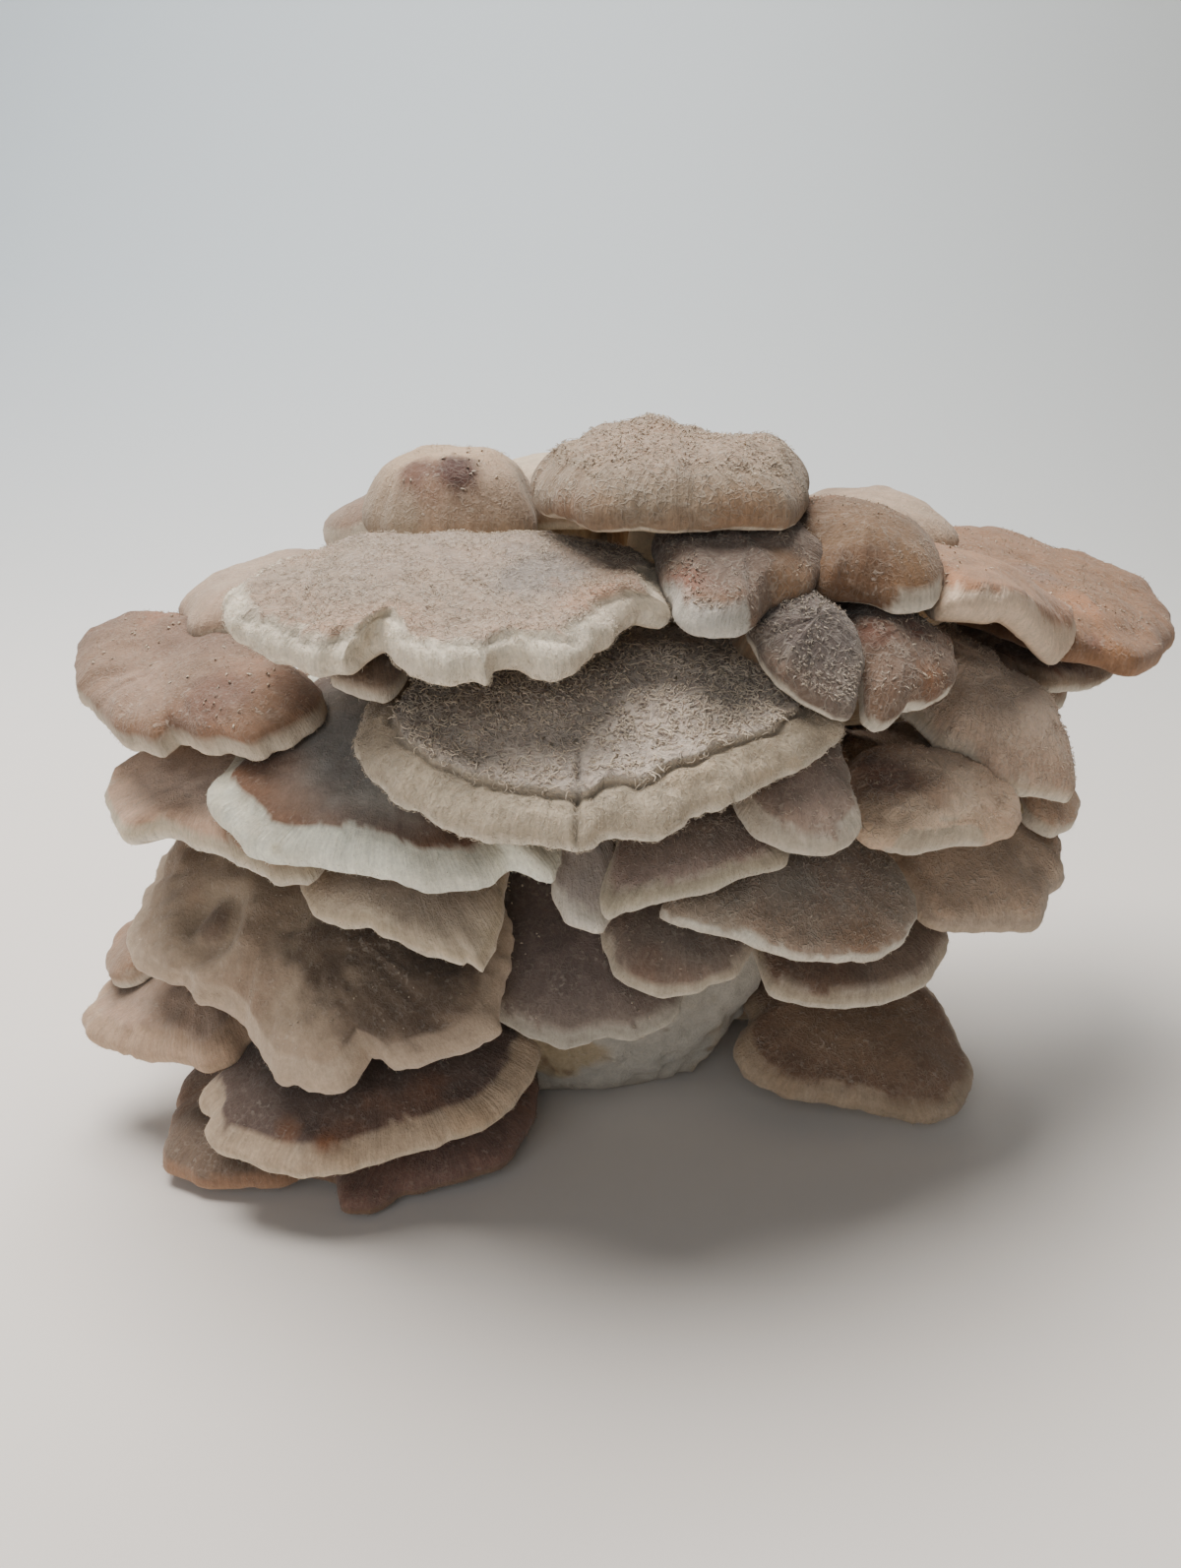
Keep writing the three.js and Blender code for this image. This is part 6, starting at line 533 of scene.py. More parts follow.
def cap(row, material):
    name, n, P, Q, E, rs, re, H, p, bw, seed, rim = row
    L_ = dict(D)
    L_.update(LOOK.get(name, {}))
    rear = name.startswith("cap_rear")
    if name not in LOOK:
        r0 = np.random.default_rng(seed * 7 + 1)
        k = r0.random()
        base = np.array([146, 122, 102]) * (0.78 + 0.42 * k)
        L_.update(base=tuple(base), edge=tuple(base * 1.08 + 4), st=0.2 + 0.4 * r0.random(), lump=1.0 + 0.8 * r0.random(), q=2.3 if rear else 1.7, fuzz=0.0 if rear else 0.3,
                  rim=tuple(np.array([208, 192, 170]) * (0.9 + 0.12 * r0.random())), cb=(0.4 + 3.0 * r0.random()), lobe=1.6 if rear else 1.2, fib=0.35 + 0.5 * r0.random())
    rng = np.random.default_rng(seed + 100)
    n, P, Q, E = (np.array(x, float) for x in (n, P, Q, E))
    n /= np.linalg.norm(n)
    C = spline(rim, 24)
    per = np.linalg.norm(np.roll(C, -1, 0) - C, axis=1).sum()
    q = L_["q"] if L_["q"] < 1.0 else 1.12 * L_["q"]
    N = 2 * int(round(per / q / 2))
    R = resample(C, N)
    # the rim's points in order round the apex, so that no spoke crosses another
    u_ = unit(np.cross(n, [0.3, 0.9, 0.2]))
    w_ = np.cross(n, u_)
    back = int(np.argmax(R[:, 1] + 0.2 * R[:, 2]))
    R = np.roll(R, -back, 0)
    V = R - P
    ang = np.unwrap(np.arctan2(V @ w_, V @ u_))
    rad = np.hypot(V @ w_, V @ u_)
    hgt = V @ n
    a_f = np.maximum.accumulate(ang)
    a_b = np.minimum.accumulate(ang[::-1])[::-1]
    ang2 = 0.5 * (a_f + a_b) + np.linspace(0, 1e-3, N)
    kern = np.ones(5) / 5
    pad = np.concatenate([ang2[-2:] - 2 * math.pi, ang2, ang2[:2] + 2 * math.pi])
    ang2 = np.convolve(pad, kern, "valid")
    R = P + rad[:, None] * (np.cos(ang2)[:, None] * u_ + np.sin(ang2)[:, None] * w_) + hgt[:, None] * n
    th = np.arange(N) * 2 * math.pi / N
    circ = np.stack([np.cos(th), np.sin(th), 0 * th], 1) * per / (2 * math.pi)
    rn = lambda lam, s: noise(circ + 50 * s, lam, seed * 13 + s)
    V = R - P
    flat = V - (V @ n)[:, None] * n
    o = unit(flat)
    lob = L_["lobe"]
    R = R + o * (lob * (0.9 * rn(15, 1) + 0.5 * rn(6, 2) + 0.22 * rn(2.6, 3)))[:, None] + n * (lob * (1.0 * rn(17, 4) + 0.45 * rn(7, 5)))[:, None]
    V = R - P
    L = np.linalg.norm(V, axis=1)
    z = V @ n
    flat = V - z[:, None] * n
    o = unit(flat)
    sc = np.minimum(1, L / 26.0)
    KA = 1.5
    # the rim's short waves fade out a little way in, its long ones reach the apex
    wide = max(3, int(round(16.0 / (per / N))))
    g_ = np.exp(-0.5 * (np.arange(-2 * wide, 2 * wide + 1) / (0.8 * wide)) ** 2)
    g_ /= g_.sum()
    even = lambda x: np.convolve(np.concatenate([x[-2 * wide:], x, x[:2 * wide]]), g_, "valid")
    z_in, L_in = even(z), even(np.linalg.norm(flat, axis=1))
    a3 = np.unwrap(np.arctan2(flat @ w_, flat @ u_))
    a3 = np.convolve(np.concatenate([a3[-2 * wide:] - 2 * math.pi, a3, a3[:2 * wide] + 2 * math.pi]), g_, "valid")
    o_in = np.cos(a3)[:, None] * u_ + np.sin(a3)[:, None] * w_

    def base(d):
        t = np.clip(1 - d / L, 0, 1)
        k = step(0.45, 1.0, t)
        out = unit(mix(o_in, o, k)) * (t * (L_in * (1 - k) + np.linalg.norm(flat, axis=1) * k))[:, None]
        return P + out + n * (z_in * t ** 2 * (1 - k) + z * t ** 2 * k)[:, None]

    def dome(d):
        return H * (1 - np.clip(1 - d / L, 0, 1) ** p)

    cb = L_["cb"] + 0.10 * max(L_["cb"], 0) * rn(13, 6)
    if L_["pad"]:
        x0, x1 = L_["pad"]
        cb = cb - (cb + 1.1 * re) * (1 - step(x0 - 2.5, x0 + 1.5, R[:, 0]) * step(x1 + 2.5, x1 - 1.5, R[:, 0]))
    led, grv = L_["led"], L_["grv"]
    rings, e, tt, kind = [], [], [], []
    dm = max(L_["cb"] + 3.5, KA * re + 3)
    nt = max(6, int(round((L.mean() - dm) / q)))
    for k in range(nt):
        t = (k + 0.7) / nt
        d = dm * sc + (L - dm * sc) * (1 - t)
        rings.append(base(d) + n * (re + dome(d))[:, None]); e.append(d + 0.07 * re); tt.append(1 - d / L); kind.append(0)
    hero = q < 1.0
    nb = max(3, int(round((dm - KA * re) / ((0.6 if hero else 0.8) * q))))
    for k in range(1, nb + 1):
        dd = dm + (KA * re - dm) * k / nb
        d = dd * sc
        rings.append(base(d) + n * (re + dome(d))[:, None]); e.append(np.full(N, dd + 0.07 * re)); tt.append(1 - d / L); kind.append(0)
    nr = max(7, int(round(re * math.pi / ((0.7 if hero else 0.9) * q))))
    box = 2.0 / L_["box"]
    cap_cos = lambda a: math.copysign(abs(math.cos(a)) ** box, math.cos(a))
    cap_sin = lambda a: math.copysign(abs(math.sin(a)) ** box, math.sin(a))
    for k in range(1, nr + 1):
        ph = math.pi / 2 - math.pi * 0.97 * k / nr
        ka = KA if ph > 0 else 0.8
        d = re * ka * (1 - cap_cos(ph)) * sc
        h = re * cap_sin(ph) * (1 if ph > 0 else 0.85)
        rings.append(base(d) + n * (h + dome(d) * (0.5 + 0.5 * math.sin(ph)))[:, None]); e.append(np.full(N, re * ph)); tt.append(1 - d / L); kind.append(1)
    last = rings[-1]
    S0 = Q + n * (-re - 0.5)
    arch = min(0.55 * H, 4.5) + 1.0
    srg = S0 + o * rs * 1.35
    ng = 8 if hero else 6
    zig = (np.arange(N) % 2)
    for k in range(1, ng + 1):
        s = k / ng
        g = math.sin(math.pi * min(1, s * 1.02)) ** 0.6 if k < ng else 0
        rings.append(last + (srg - last) * s + n * (arch * max(0.0, math.sin(math.pi * s)) ** 0.8 + 0.55 * g * zig * min(1.6, q))[:, None])
        e.append(np.full(N, -re * 1.6 - s * 20)); tt.append(np.full(N, 1 - s)); kind.append(2)
    P1 = S0 - n * min(0.45 * np.linalg.norm(E - S0), 12)
    P2 = E - (E - S0) * 0.3
    ns = 8 if hero else 5
    for k in range(1, ns + 1):
        s = k / ns
        c0 = (1 - s) ** 3 * S0 + 3 * (1 - s) ** 2 * s * P1 + 3 * (1 - s) * s * s * P2 + s ** 3 * E
        tg = 3 * (1 - s) ** 2 * (P1 - S0) + 6 * (1 - s) * s * (P2 - P1) + 3 * s * s * (E - P2)
        r = rs * (1.35 - 0.45 * math.sin(math.pi * min(s * 0.9, 1))) * (1 + 0.06 * rn(9, 8) + 0.05 * rn(3, 9))
        rings.append(c0 + (o @ turn(-n, tg).T) * r[:, None]); e.append(np.full(N, -60.0)); tt.append(np.zeros(N)); kind.append(3)
    G = np.array(rings)
    e = np.array(e)
    tt = np.array(tt)
    kind = np.array(kind)
    top = (kind == 0)[:, None] * 1.0
    roll = (kind == 1)[:, None] * 1.0
    under = (kind == 2)[:, None] * 1.0
    stem = (kind == 3)[:, None] * 1.0
    nv = grid_normals(G)
    # broad swellings, wrinkles that run outwards, woolly lumps on the margin
    crown = top * step(0.0, 9.0, e)
    band = step(L_["cb"] + 0.8, L_["cb"] - 0.2, e) * step(-1.8 * re, -1.1 * re, e)
    spoke = np.broadcast_to(circ[None], G.shape).copy()
    spoke[..., 2] = e * 0.12 + 500
    lump = L_["lump"]
    disp = crown * lump * (1.1 * noise(G, 19, seed) + 0.55 * noise(G, 8, seed + 3) + 0.22 * noise(G, 3.4, seed + 4))
    disp += (top + roll) * step(26, 3, e) * (0.32 * noise(spoke, 4.2, seed + 5) + 0.16 * noise(spoke, 1.9, seed + 6)) * lump * step(-1.7 * re, -0.6 * re, e)
    disp += (top + roll) * band * (0.30 * noise(G, 3.0, seed + 7) + 0.16 * noise(G, 1.5, seed + 8)) * L_["wool"]
    # the crown's skin ends in a small ledge over the margin
    ragged = 0.28 * noise(G, 5.5, seed + 40) + 0.20 * noise(G, 2.2, seed + 41) + 0.12 * noise(G, 1.2, seed + 42)
    x_ = e - cb[None] - L_["rag"] * 2.2 * ragged
    disp += (top + roll) * (led * (step(-0.35, 0.35, x_) * step(6.5, 1.2, x_)) - grv * np.exp(-((x_ + 0.9) / 0.75) ** 2)) * step(-0.5 * re, 0.5 * re, e)
    disp += stem * 0.35 * noise(G, 5, seed + 9)
    split = np.zeros_like(e)
    if name == "cap_front_centre":
        a = unit(np.array([5.3, -113.0, 0]) - P * [1, 1, 0])
        off = (G[..., 0] - P[0]) * a[1] - (G[..., 1] - P[1]) * a[0] + 0.8 * noise(G, 7, 5)
        ahead = ((G - P) @ a > 0)
        split = np.exp(-(off / 0.75) ** 2) * ahead * step(25, 15, e) * step(-2, 2, e)
        disp -= 1.5 * split
    if name == "cap_lower_left":
        r_ = np.linalg.norm(G - np.array([-84.0, -60.0, 70.0]), axis=-1)
        disp += top * (1.6 * np.exp(-(r_ / 4.5) ** 2) - 1.3 * np.exp(-((r_ - 7.5) / 2.0) ** 2) + 1.6 * np.exp(-((r_ - 13) / 4.5) ** 2))
        r_ = np.linalg.norm(G - np.array([-40.0, -84.0, 60.0]), axis=-1)
        disp += top * step(20, 6, r_) * 0.7 * noise(spoke * [1, 1, 0.6], 3.4, 77)
    G = G + nv * disp[..., None]
    nv = grid_normals(G)
    apex = P + n * (re + H) + n * float(disp[0].mean())
    # ---- colours, one for each vertex
    a1 = fbm(G + 200, 26, seed + 20)
    a2 = fbm(G, 9, seed + 21)
    a3 = fbm(G, 3, seed + 22, 2)
    sp = noise(spoke, 1.7, seed + 23) * 0.6 + noise(spoke, 4.5, seed + 24) * 0.5
    c_base, c_edge, c_rim, c_st, c_overhang_shade, c_lip = (lin(*L_[k]) for k in ("base", "edge", "rim", "stain", "overhang_shade", "lip"))
    w = step(0.45, 1.0, tt + 0.12 * a1)
    col = mix(c_base, c_edge, w)
    # painted shade: each crown darkened towards its back, the side tucked in under the caps above
    fwd = ((G - P) @ unit(np.array([n[0], n[1], 0]) + [0, -1e-3, 0])) / L.mean()
    col = mix(col, c_overhang_shade, L_["overhang_shade_amt"] * np.clip(step(0.35, -0.75, fwd + 0.35 * a1), 0, 1))
    col = mix(col, c_st, L_["st"] * step(0.0, 0.75, a1 * 0.8 + a2 * 0.45 + 0.5 * (w - 0.55)) * (0.75 + 0.35 * sp))
    col = col * (1 + 0.10 * a2 + 0.09 * a3)[..., None]
    near = step(18, 2, e)
    col = col * (1 + 0.13 * sp * near * (1 - band))[..., None]
    edge = step(0.5, -0.35, x_)
    rimc = c_rim * (1 + 0.07 * a2 + 0.08 * sp)[..., None]
    rimc = mix(rimc, c_lip * (1 + 0.05 * a3)[..., None], step(0.4 * re, -0.5 * re, e + 0.4 * a3))
    rimc = mix(rimc, rimc * np.array([0.80, 0.68, 0.54]), step(-0.7 * re, -1.6 * re, e) * 0.65 + L_["soil"] * step(0.15, 0.8, a1 + 0.3 * a3))
    col = mix(col, rimc, edge)
    seen = (top + roll) * step(-0.6 * re, 0.4 * re, e)
    # painted shade in the groove under the crown's ledge
    col = mix(col, col * 0.62, seen * np.clip(led * 0.8 + grv * 0.7, 0, 1) * np.exp(-((x_ + 0.75) / 0.55) ** 2))
    col = mix(col, mix(c_rim, c_lip, 0.5 + 0 * e), 0.5 * seen * step(0.2, -0.1, np.abs(x_ - 0.25) - 0.22) * (L_["cb"] > 0.5))
    gillc = mix(lin(214, 190, 152), lin(140, 104, 70), step(0.95, 0.1, tt) * 0.85)
    # painted shade: every other vertex, the valley between two gills, is darkened
    gillc = gillc * (1 - 0.34 * zig[None] * (kind == 2)[:, None])[..., None] * (1 + 0.07 * a2)[..., None]
    col = mix(col, gillc, under)
    stc = mix(lin(206, 188, 160), lin(150, 118, 88), step(-0.2, 0.8, a1 + 0.4 * sp))
    col = mix(col, stc, stem)
    # blotches, and on some caps painted shade, from the table above
    for (where, r, colour, k) in BLOTCHES_AND_PAINTED_SHADE.get(name, ()):
        r_ = np.linalg.norm(G - np.array(where), axis=-1) * (1 + 0.30 * a2 + 0.18 * a3)
        col = mix(col, lin(*colour) * (1 + 0.12 * a3)[..., None], k * (top + roll) * step(r, r * 0.35, r_) * (1 - edge * 0.8))
    fibre = L_["fib"] * (top + roll * step(-1.2 * re, 0.2 * re, e)) * (1 - L_["nofib"] * edge)
    occlusion_shade_amt = painted_occlusion_shade(G, nv, int(top.sum() + roll.sum()), name, 4 if hero else 2) * (top + roll)
    # painted shade: skin covered by neighbouring caps is darkened by how much it is covered
    col = col * (1 - np.array([0.60, 0.64, 0.67]) * np.clip(1.25 * occlusion_shade_amt, 0, 1)[..., None])
    # painted shade in the crack on the front centre cap
    col = col * (1 - 0.6 * split)[..., None]
    col = np.clip(col, 0.003, 0.95)
    G[..., 2] = np.maximum(G[..., 2], 0.3)
    apex[2] = max(apex[2], 0.3)
    crownm = top * step(-0.2, 0.8, x_) * (split < 0.25)
    parts = []
    if L_["hair"] > 0:
        m = crownm * np.clip(0.75 + 0.7 * a2, 0.15, 1.4) * step(L_["hback"], L_["hback"] + 0.35, fwd)
        parts.append(hairs(rng, G, nv, col, m, L_["hair"], L_["hl"], o, L_["ht"], L_["hp"], L_["spread"], 1.0, L_["joints"], L_["curl"]))
    if L_["flake"] > 0:
        m = crownm * step(-0.1, 0.75, a1 * 0.6 + a2 + 0.3) * step(-0.9, -0.5, fwd) * (step(0.55, 0.1, fwd) if L_["kfront"] else 1)
        parts.append(hairs(rng, G, nv, col, m, L_["flake"], L_["kl"], o, L_["kt"], L_["kp"], 1.3, 0.9, 1, 0.5, 0.5))
    if L_["fuzz"] > 0:
        m = (top + roll) * step(0.3, -0.2, x_) * step(-1.3 * re, -0.7 * re, e) * (G[..., 2] > 1.5)
        parts.append(hairs(rng, G, nv, col, m, L_["fuzz"], L_["fl"], o, L_["ft"], 0.35, 1.2, 0.9, 1, 0.5))
    extra = joined(parts)
    flow = np.broadcast_to(circ[None], G.shape).copy()
    flow[..., 2] = e * 0.22 + seed * 7
    stk = L_["str"] * (0.12 + 0.88 * step(17, 4, e)) * (top + roll) + 0.8 * stem
    ob, tris = loft_mesh(name, apex, G, E, col, fibre, extra, material, flow, stk)
    return ob, tris


# ----------------------------------------------------------------- materials
def skin_material(name):
    m = bpy.data.materials.new(name)
    m.use_nodes = True
    nt = m.node_tree
    N, Lk = nt.nodes, nt.links
    b = N["Principled BSDF"]
    tc = N.new("ShaderNodeTexCoord")
    tint = N.new("ShaderNodeAttribute"); tint.attribute_name = "tint"
    fib = N.new("ShaderNodeAttribute"); fib.attribute_name = "fibre"

    def nz(lam, detail=2.0, rough=0.55, off=0.0, dist=0.0):
        mp = N.new("ShaderNodeMapping")
        mp.inputs["Location"].default_value = (off, off * 1.7, off * 0.6)
        mp.inputs["Scale"].default_value = (1000 / lam,) * 3
        Lk.new(tc.outputs["Object"], mp.inputs["Vector"])
        t = N.new("ShaderNodeTexNoise")
        t.inputs["Scale"].default_value = 1.0
        t.inputs["Detail"].default_value = detail
        t.inputs["Roughness"].default_value = rough
        t.inputs["Distortion"].default_value = dist
        Lk.new(mp.outputs["Vector"], t.inputs["Vector"])
        return t.outputs["Fac"]

    def math_(op, a, b=None, c=None, clamp=False):
        x = N.new("ShaderNodeMath"); x.operation = op; x.use_clamp = clamp
        for k, v in enumerate((a, b, c)):
            if v is None:
                continue
            if isinstance(v, (int, float)):
                x.inputs[k].default_value = v
            else:
                Lk.new(v, x.inputs[k])
        return x.outputs[0]

    def thread(lam, width, off):
        """Thin curly lines: where a smooth noise crosses its middle."""
        v = nz(lam, 0.6, 0.5, off, 0.25)
        d = math_("ABSOLUTE", math_("SUBTRACT", v, 0.5))
        return math_("SUBTRACT", 1.0, math_("DIVIDE", d, width, clamp=True), clamp=True)

    flow = N.new("ShaderNodeAttribute"); flow.attribute_name = "flow"
    def streaks(lam, off):
        mp = N.new("ShaderNodeMapping")
        mp.inputs["Location"].default_value = (off, off, off)
        mp.inputs["Scale"].default_value = (1 / lam,) * 3
        Lk.new(flow.outputs["Vector"], mp.inputs["Vector"])
        t = N.new("ShaderNodeTexNoise")
        t.inputs["Scale"].default_value = 1.0
        t.inputs["Detail"].default_value = 2.0
        t.inputs["Roughness"].default_value = 0.6
        Lk.new(mp.outputs["Vector"], t.inputs["Vector"])
        return t.outputs["Fac"]

    fv = fib.outputs["Fac"]
    t1 = thread(2.6, 0.05, 3.0)
    t2 = thread(1.7, 0.055, 11.0)
    th = math_("MAXIMUM", t1, t2)
    net = math_("MAXIMUM", thread(2.3, 0.085, 31.0), thread(3.1, 0.07, 47.0))
    patch = math_("MULTIPLY_ADD", nz(5.0, 2.0, 0.6, 5.0), 2.2, -0.55, clamp=True)
    thin = math_("MULTIPLY", math_("MULTIPLY", th, patch), math_("POWER", fv, 1.8), clamp=True)
    thick = math_("MULTIPLY", net, math_("SUBTRACT", fv, 1.0, clamp=True), clamp=True)
    amt = math_("MAXIMUM", math_("MULTIPLY", thin, 0.8), thick)
    fleck = math_("MULTIPLY_ADD", nz(1.2, 1.0, 0.5, 21.0), 8.0, -4.5, clamp=True)
    fleck = math_("MULTIPLY", fleck, math_("MULTIPLY_ADD", nz(7.0, 2.0, 0.6, 25.0), 3.2, -1.25, clamp=True))
    fleck = math_("MULTIPLY", fleck, math_("MULTIPLY", fv, 1.4, clamp=True))
    amt = math_("MAXIMUM", amt, math_("MULTIPLY", fleck, 0.75))
    fine = nz(0.75, 3.0, 0.7, 7.0)
    mid = nz(2.2, 3.0, 0.6, 9.0)
    strk_at = N.new("ShaderNodeAttribute"); strk_at.attribute_name = "streak"
    strk = math_("MULTIPLY", math_("SUBTRACT", streaks(0.85, 3.0), 0.5), strk_at.outputs["Fac"])
    # colour: tint, darker between the fibres, paler along them
    vary = math_("MULTIPLY_ADD", fine, 0.55, 0.725)
    vary = math_("MULTIPLY", vary, math_("MULTIPLY_ADD", mid, 0.44, 0.78))
    vary = math_("MULTIPLY", vary, math_("MULTIPLY_ADD", strk, 0.55, 1.0))
    vary = math_("MULTIPLY", vary, math_("MULTIPLY_ADD", fv, -0.08, 1.0))
    vary = math_("MULTIPLY", vary, math_("MULTIPLY_ADD", math_("SUBTRACT", fv, 1.0, clamp=True), -0.22, 1.0))
    vm = N.new("ShaderNodeVectorMath"); vm.operation = "SCALE"
    Lk.new(tint.outputs["Color"], vm.inputs[0]); Lk.new(vary, vm.inputs["Scale"])
    pale = N.new("ShaderNodeMix"); pale.data_type = "RGBA"
    Lk.new(tint.outputs["Color"], pale.inputs["A"]); pale.inputs["B"].default_value = (0.66, 0.58, 0.48, 1); pale.inputs["Factor"].default_value = 0.62
    mx = N.new("ShaderNodeMix"); mx.data_type = "RGBA"
    Lk.new(math_("MULTIPLY", amt, 0.75), mx.inputs["Factor"])
    Lk.new(vm.outputs[0], mx.inputs["A"]); Lk.new(pale.outputs["Result"], mx.inputs["B"])
    Lk.new(mx.outputs["Result"], b.inputs["Base Color"])
    # relief
    hgt = math_("MULTIPLY_ADD", amt, 0.55, math_("MULTIPLY", fine, 0.30))
    hgt = math_("MULTIPLY_ADD", mid, 0.35, hgt)
    hgt = math_("MULTIPLY_ADD", strk, 0.4, hgt)
    bp = N.new("ShaderNodeBump")
    bp.inputs["Strength"].default_value = 1.0
    bp.inputs["Distance"].default_value = 0.0008
    Lk.new(hgt, bp.inputs["Height"])
    Lk.new(bp.outputs["Normal"], b.inputs["Normal"])
    rg = math_("MULTIPLY_ADD", fine, 0.14, 0.76)
    Lk.new(rg, b.inputs["Roughness"])
    b.inputs["Specular IOR Level"].default_value = 0.22
    b.inputs["Sheen Weight"].default_value = 0.18
    b.inputs["Sheen Roughness"].default_value = 0.6
    b.inputs["Sheen Tint"].default_value = (1.0, 0.95, 0.88, 1)
    b.inputs["Subsurface Weight"].default_value = 0.06
    b.inputs["Subsurface Radius"].default_value = (1.0, 0.55, 0.3)
    b.inputs["Subsurface Scale"].default_value = 0.0022
    return m


SKIN = skin_material("mushroom_skin")
WOOL = skin_material("mycelium_wool")

total = 0
for row in CAPS:
    ob, tris = cap(row, SKIN)
    total += tris
    print("piece", row[0], tris)
    ob.name = "mushroom_" + row[0][4:]
    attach(ob, "root")
    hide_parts(row[0])


# -------------------------------------------------------------------- block
def block():
    NU, NV = 220, 120
    turn_ = np.arange(NU) * 2 * math.pi / NU
    half, rnd = BLOCK_HALF, BLOCK_ROUND

    def at(polar):
        d = np.stack([np.sin(polar) * np.cos(turn_), np.sin(polar) * np.sin(turn_), np.cos(polar) * np.ones(NU)], -1)
        s = (np.abs(d / half) ** rnd).sum(-1)
        lumpy = 1 + 0.018 * np.sin(3 * turn_ + 2 * polar) * np.sin(4 * polar + turn_)
        return BLOCK_CENTRE + d * (lumpy * s ** (-1 / rnd))[:, None]

    lo, hi = np.full(NU, math.pi / 2), np.full(NU, math.pi)
    for _ in range(40):
        mid = (lo + hi) / 2
        up = at(mid)[:, 2] > 0
        lo = np.where(up, mid, lo)
        hi = np.where(up, hi, mid)
    G = np.array([at(lo * (k + 0.5) / NV) for k in range(NV)] + [at(lo)])
    nv = grid_normals(G)
    foot = step(0.0, 6.0, G[..., 2])
    disp = foot * (1.6 * noise(G, 12, 901) + 1.3 * noise(G, 5, 902) + 0.7 * noise(G, 2.4, 903) + 0.25 * noise(G, 1.2, 904))
    G = G + nv * disp[..., None]
    G[-1, :, 2] = 0
    G[..., 2] = np.maximum(G[..., 2], 0)
    ring = G[-1].copy()
    c = ring.mean(0)
    rings = [ring + (c - ring) * s for s in (0.25, 0.6)]
    G = np.concatenate([G, np.array(rings)])
    a1, a2, a3 = fbm(G, 22, 911), fbm(G, 7, 912), fbm(G, 2.5, 913)
    col = lin(190, 184, 172) * (1 + 0.06 * a2 + 0.06 * a3)[..., None]
    col = mix(col, lin(176, 152, 110), 0.7 * step(0.15, 0.75, a1 + 0.3 * a2))
    col = mix(col, lin(120, 96, 70), 0.75 * step(0.45, 0.9, a2 + 0.35 * a3))
    low = step(10, 0, G[..., 2])
    col = mix(col, lin(150, 132, 108), 0.5 * low)
    return loft_mesh("mycelium", G[0].mean(0), G, np.array([c[0], c[1], 0.0]), np.clip(col, 0.01, 0.9), 0.35 + 0 * a1, None, WOOL)


ob, tris = block()
total += tris
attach(ob, "root")
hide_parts("mycelium_block")
print("triangles", total)

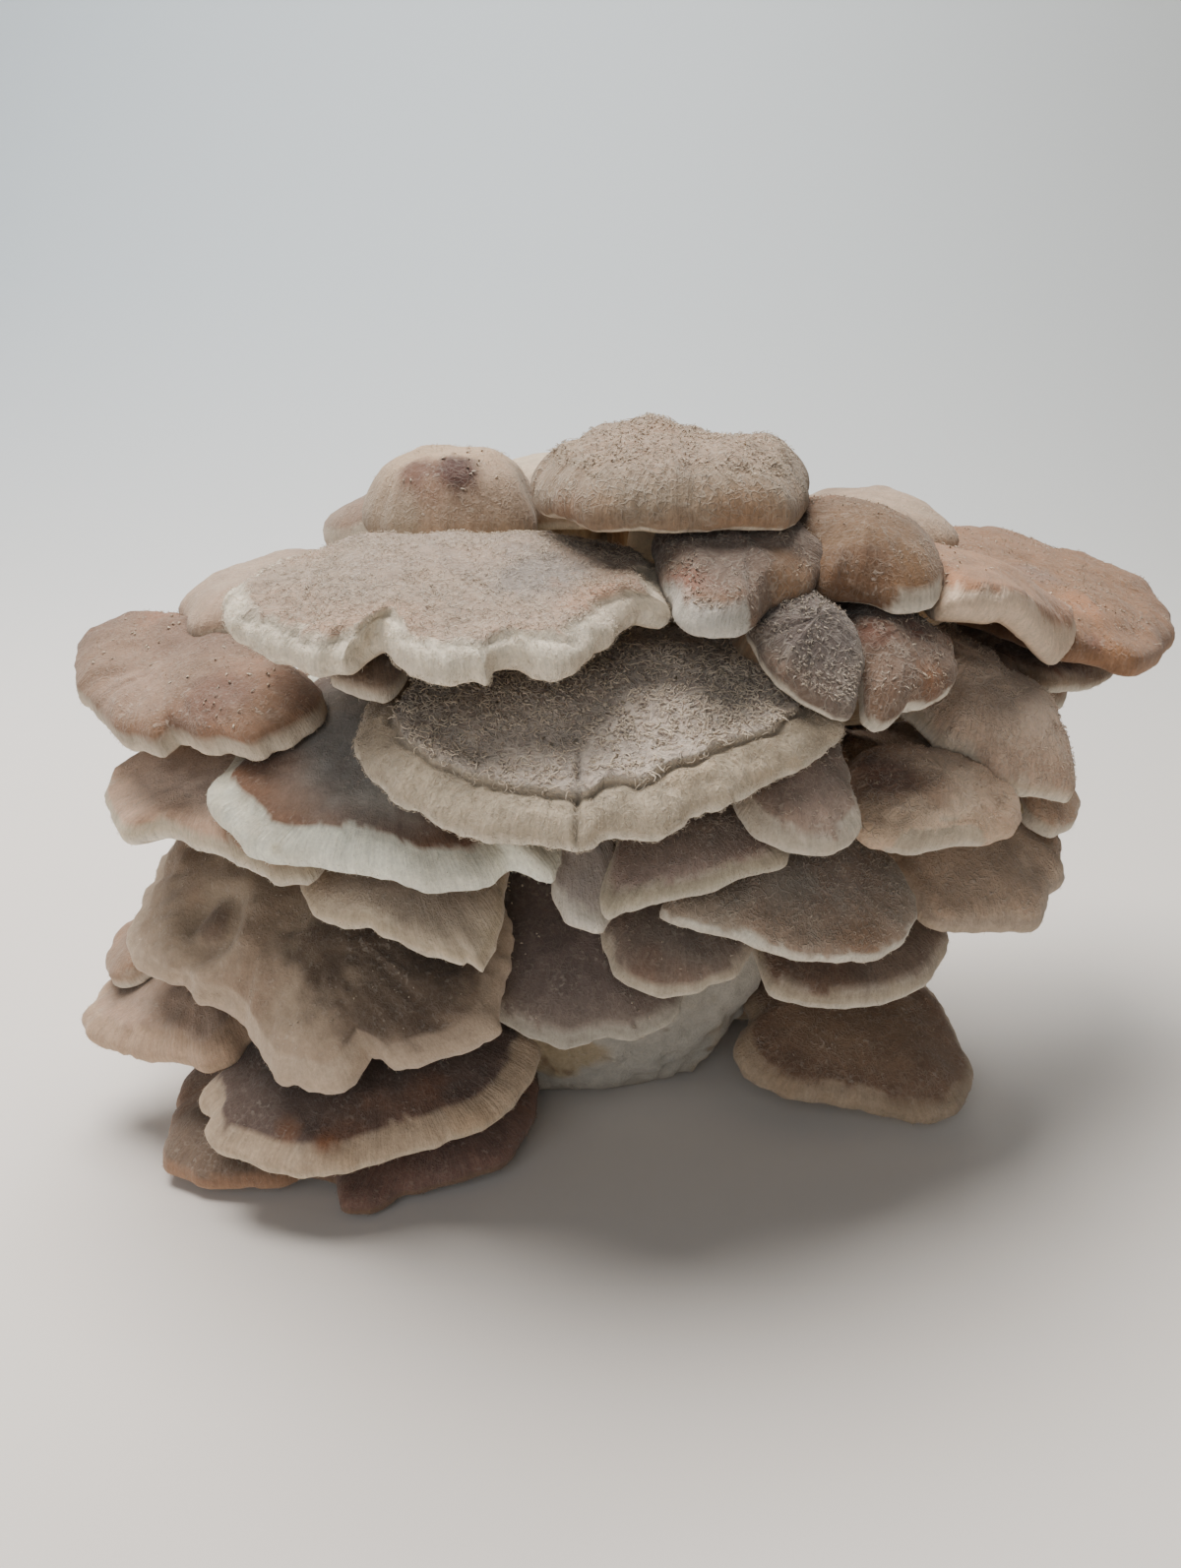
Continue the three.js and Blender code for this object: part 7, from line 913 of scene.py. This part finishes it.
# ------------------------------------------------------------ floor and sweep
def sweep():
    prof = [(-2.5, 0.0), (0.55, 0.0)]
    r = 0.9
    for k in range(1, 25):
        a = math.pi / 2 * k / 24
        prof.append((0.55 + r * math.sin(a), r * (1 - math.cos(a))))
    prof.append((0.55 + r, 3.4))
    xs = (-3.0, 3.0)
    v = [(x, y, z) for (y, z) in prof for x in xs]
    f = [(2 * i, 2 * i + 1, 2 * i + 3, 2 * i + 2) for i in range(len(prof) - 1)]
    me = bpy.data.meshes.new("studio_sweep")
    me.from_pydata(v, [], f)
    me.polygons.foreach_set("use_smooth", np.ones(len(f), bool))
    ob = bpy.data.objects.new("studio_sweep", me)
    bpy.context.scene.collection.objects.link(ob)
    m = bpy.data.materials.new("sweep_paper")
    m.use_nodes = True
    N, Lk = m.node_tree.nodes, m.node_tree.links
    b = N["Principled BSDF"]
    b.inputs["Roughness"].default_value = 0.9
    b.inputs["Specular IOR Level"].default_value = 0.15
    geo = N.new("ShaderNodeTexCoord")
    sep = N.new("ShaderNodeSeparateXYZ")
    Lk.new(geo.outputs["Object"], sep.inputs[0])
    # painted light: the wall is painted a cooler white and the floor a warmer white
    r1 = N.new("ShaderNodeMapRange")
    r1.inputs["From Min"].default_value = 0.15; r1.inputs["From Max"].default_value = 1.1
    Lk.new(sep.outputs["Y"], r1.inputs["Value"])
    mx = N.new("ShaderNodeMix"); mx.data_type = "RGBA"
    mx.inputs["A"].default_value = (*lin(240, 231, 223), 1)
    mx.inputs["B"].default_value = (*lin(204, 211, 215), 1)
    Lk.new(r1.outputs["Result"], mx.inputs["Factor"])
    # painted shade: the right side of the sweep is darkened
    r2 = N.new("ShaderNodeMapRange")
    r2.inputs["From Min"].default_value = -0.5; r2.inputs["From Max"].default_value = 0.7
    Lk.new(sep.outputs["X"], r2.inputs["Value"])
    painted_right_shade = N.new("ShaderNodeMix"); painted_right_shade.data_type = "RGBA"
    painted_right_shade.inputs["B"].default_value = (*lin(190, 188, 182), 1)
    Lk.new(mx.outputs["Result"], painted_right_shade.inputs["A"])
    mm = N.new("ShaderNodeMath"); mm.operation = "MULTIPLY"; mm.inputs[1].default_value = 0.75
    Lk.new(r2.outputs["Result"], mm.inputs[0])
    Lk.new(mm.outputs[0], painted_right_shade.inputs["Factor"])
    Lk.new(painted_right_shade.outputs["Result"], b.inputs["Base Color"])
    me.materials.append(m)


sweep()

# --------------------------------------------------------------------- light
world = bpy.data.worlds.new("studio")
bpy.context.scene.world = world
world.use_nodes = True
world.node_tree.nodes["Background"].inputs["Color"].default_value = (0.88, 0.94, 1.0, 1)
world.node_tree.nodes["Background"].inputs["Strength"].default_value = 0.09


def area(name, loc, aim, size, watts, colour):
    li = bpy.data.lights.new(name, "AREA")
    li.shape = "DISK"
    li.size = size
    li.energy = watts
    li.color = colour
    ob = bpy.data.objects.new(name, li)
    ob.location = loc
    ob.rotation_euler = (Vector(aim) - Vector(loc)).to_track_quat("-Z", "Y").to_euler()
    bpy.context.scene.collection.objects.link(ob)


area("key", (-0.22, 0.12, 1.15), (0, -0.02, 0.09), 0.9, 26.0, (1.0, 0.97, 0.935))
area("front", (-0.25, -1.1, 0.55), (0, 0, 0.09), 0.9, 4.0, (0.92, 0.96, 1.0))
area("wall", (0.0, 0.8, 1.5), (0.0, 1.5, 0.7), 0.9, 18.5, (0.93, 0.97, 1.0))

# -------------------------------------------------------------------- camera
cam = bpy.data.cameras.new("camera")
cam.lens = 35.0
cam.sensor_width = 36.0
cam.clip_start = 0.01
cam.clip_end = 20
co = bpy.data.objects.new("camera", cam)
bpy.context.scene.collection.objects.link(co)
TARGET = Vector((0.008, -0.030, 0.095))
ELEV = math.radians(20.0)
co.location = TARGET + Vector((0, -math.cos(ELEV), math.sin(ELEV))) * 0.390
co.rotation_euler = (TARGET - co.location).to_track_quat("-Z", "Y").to_euler()
bpy.context.scene.camera = co
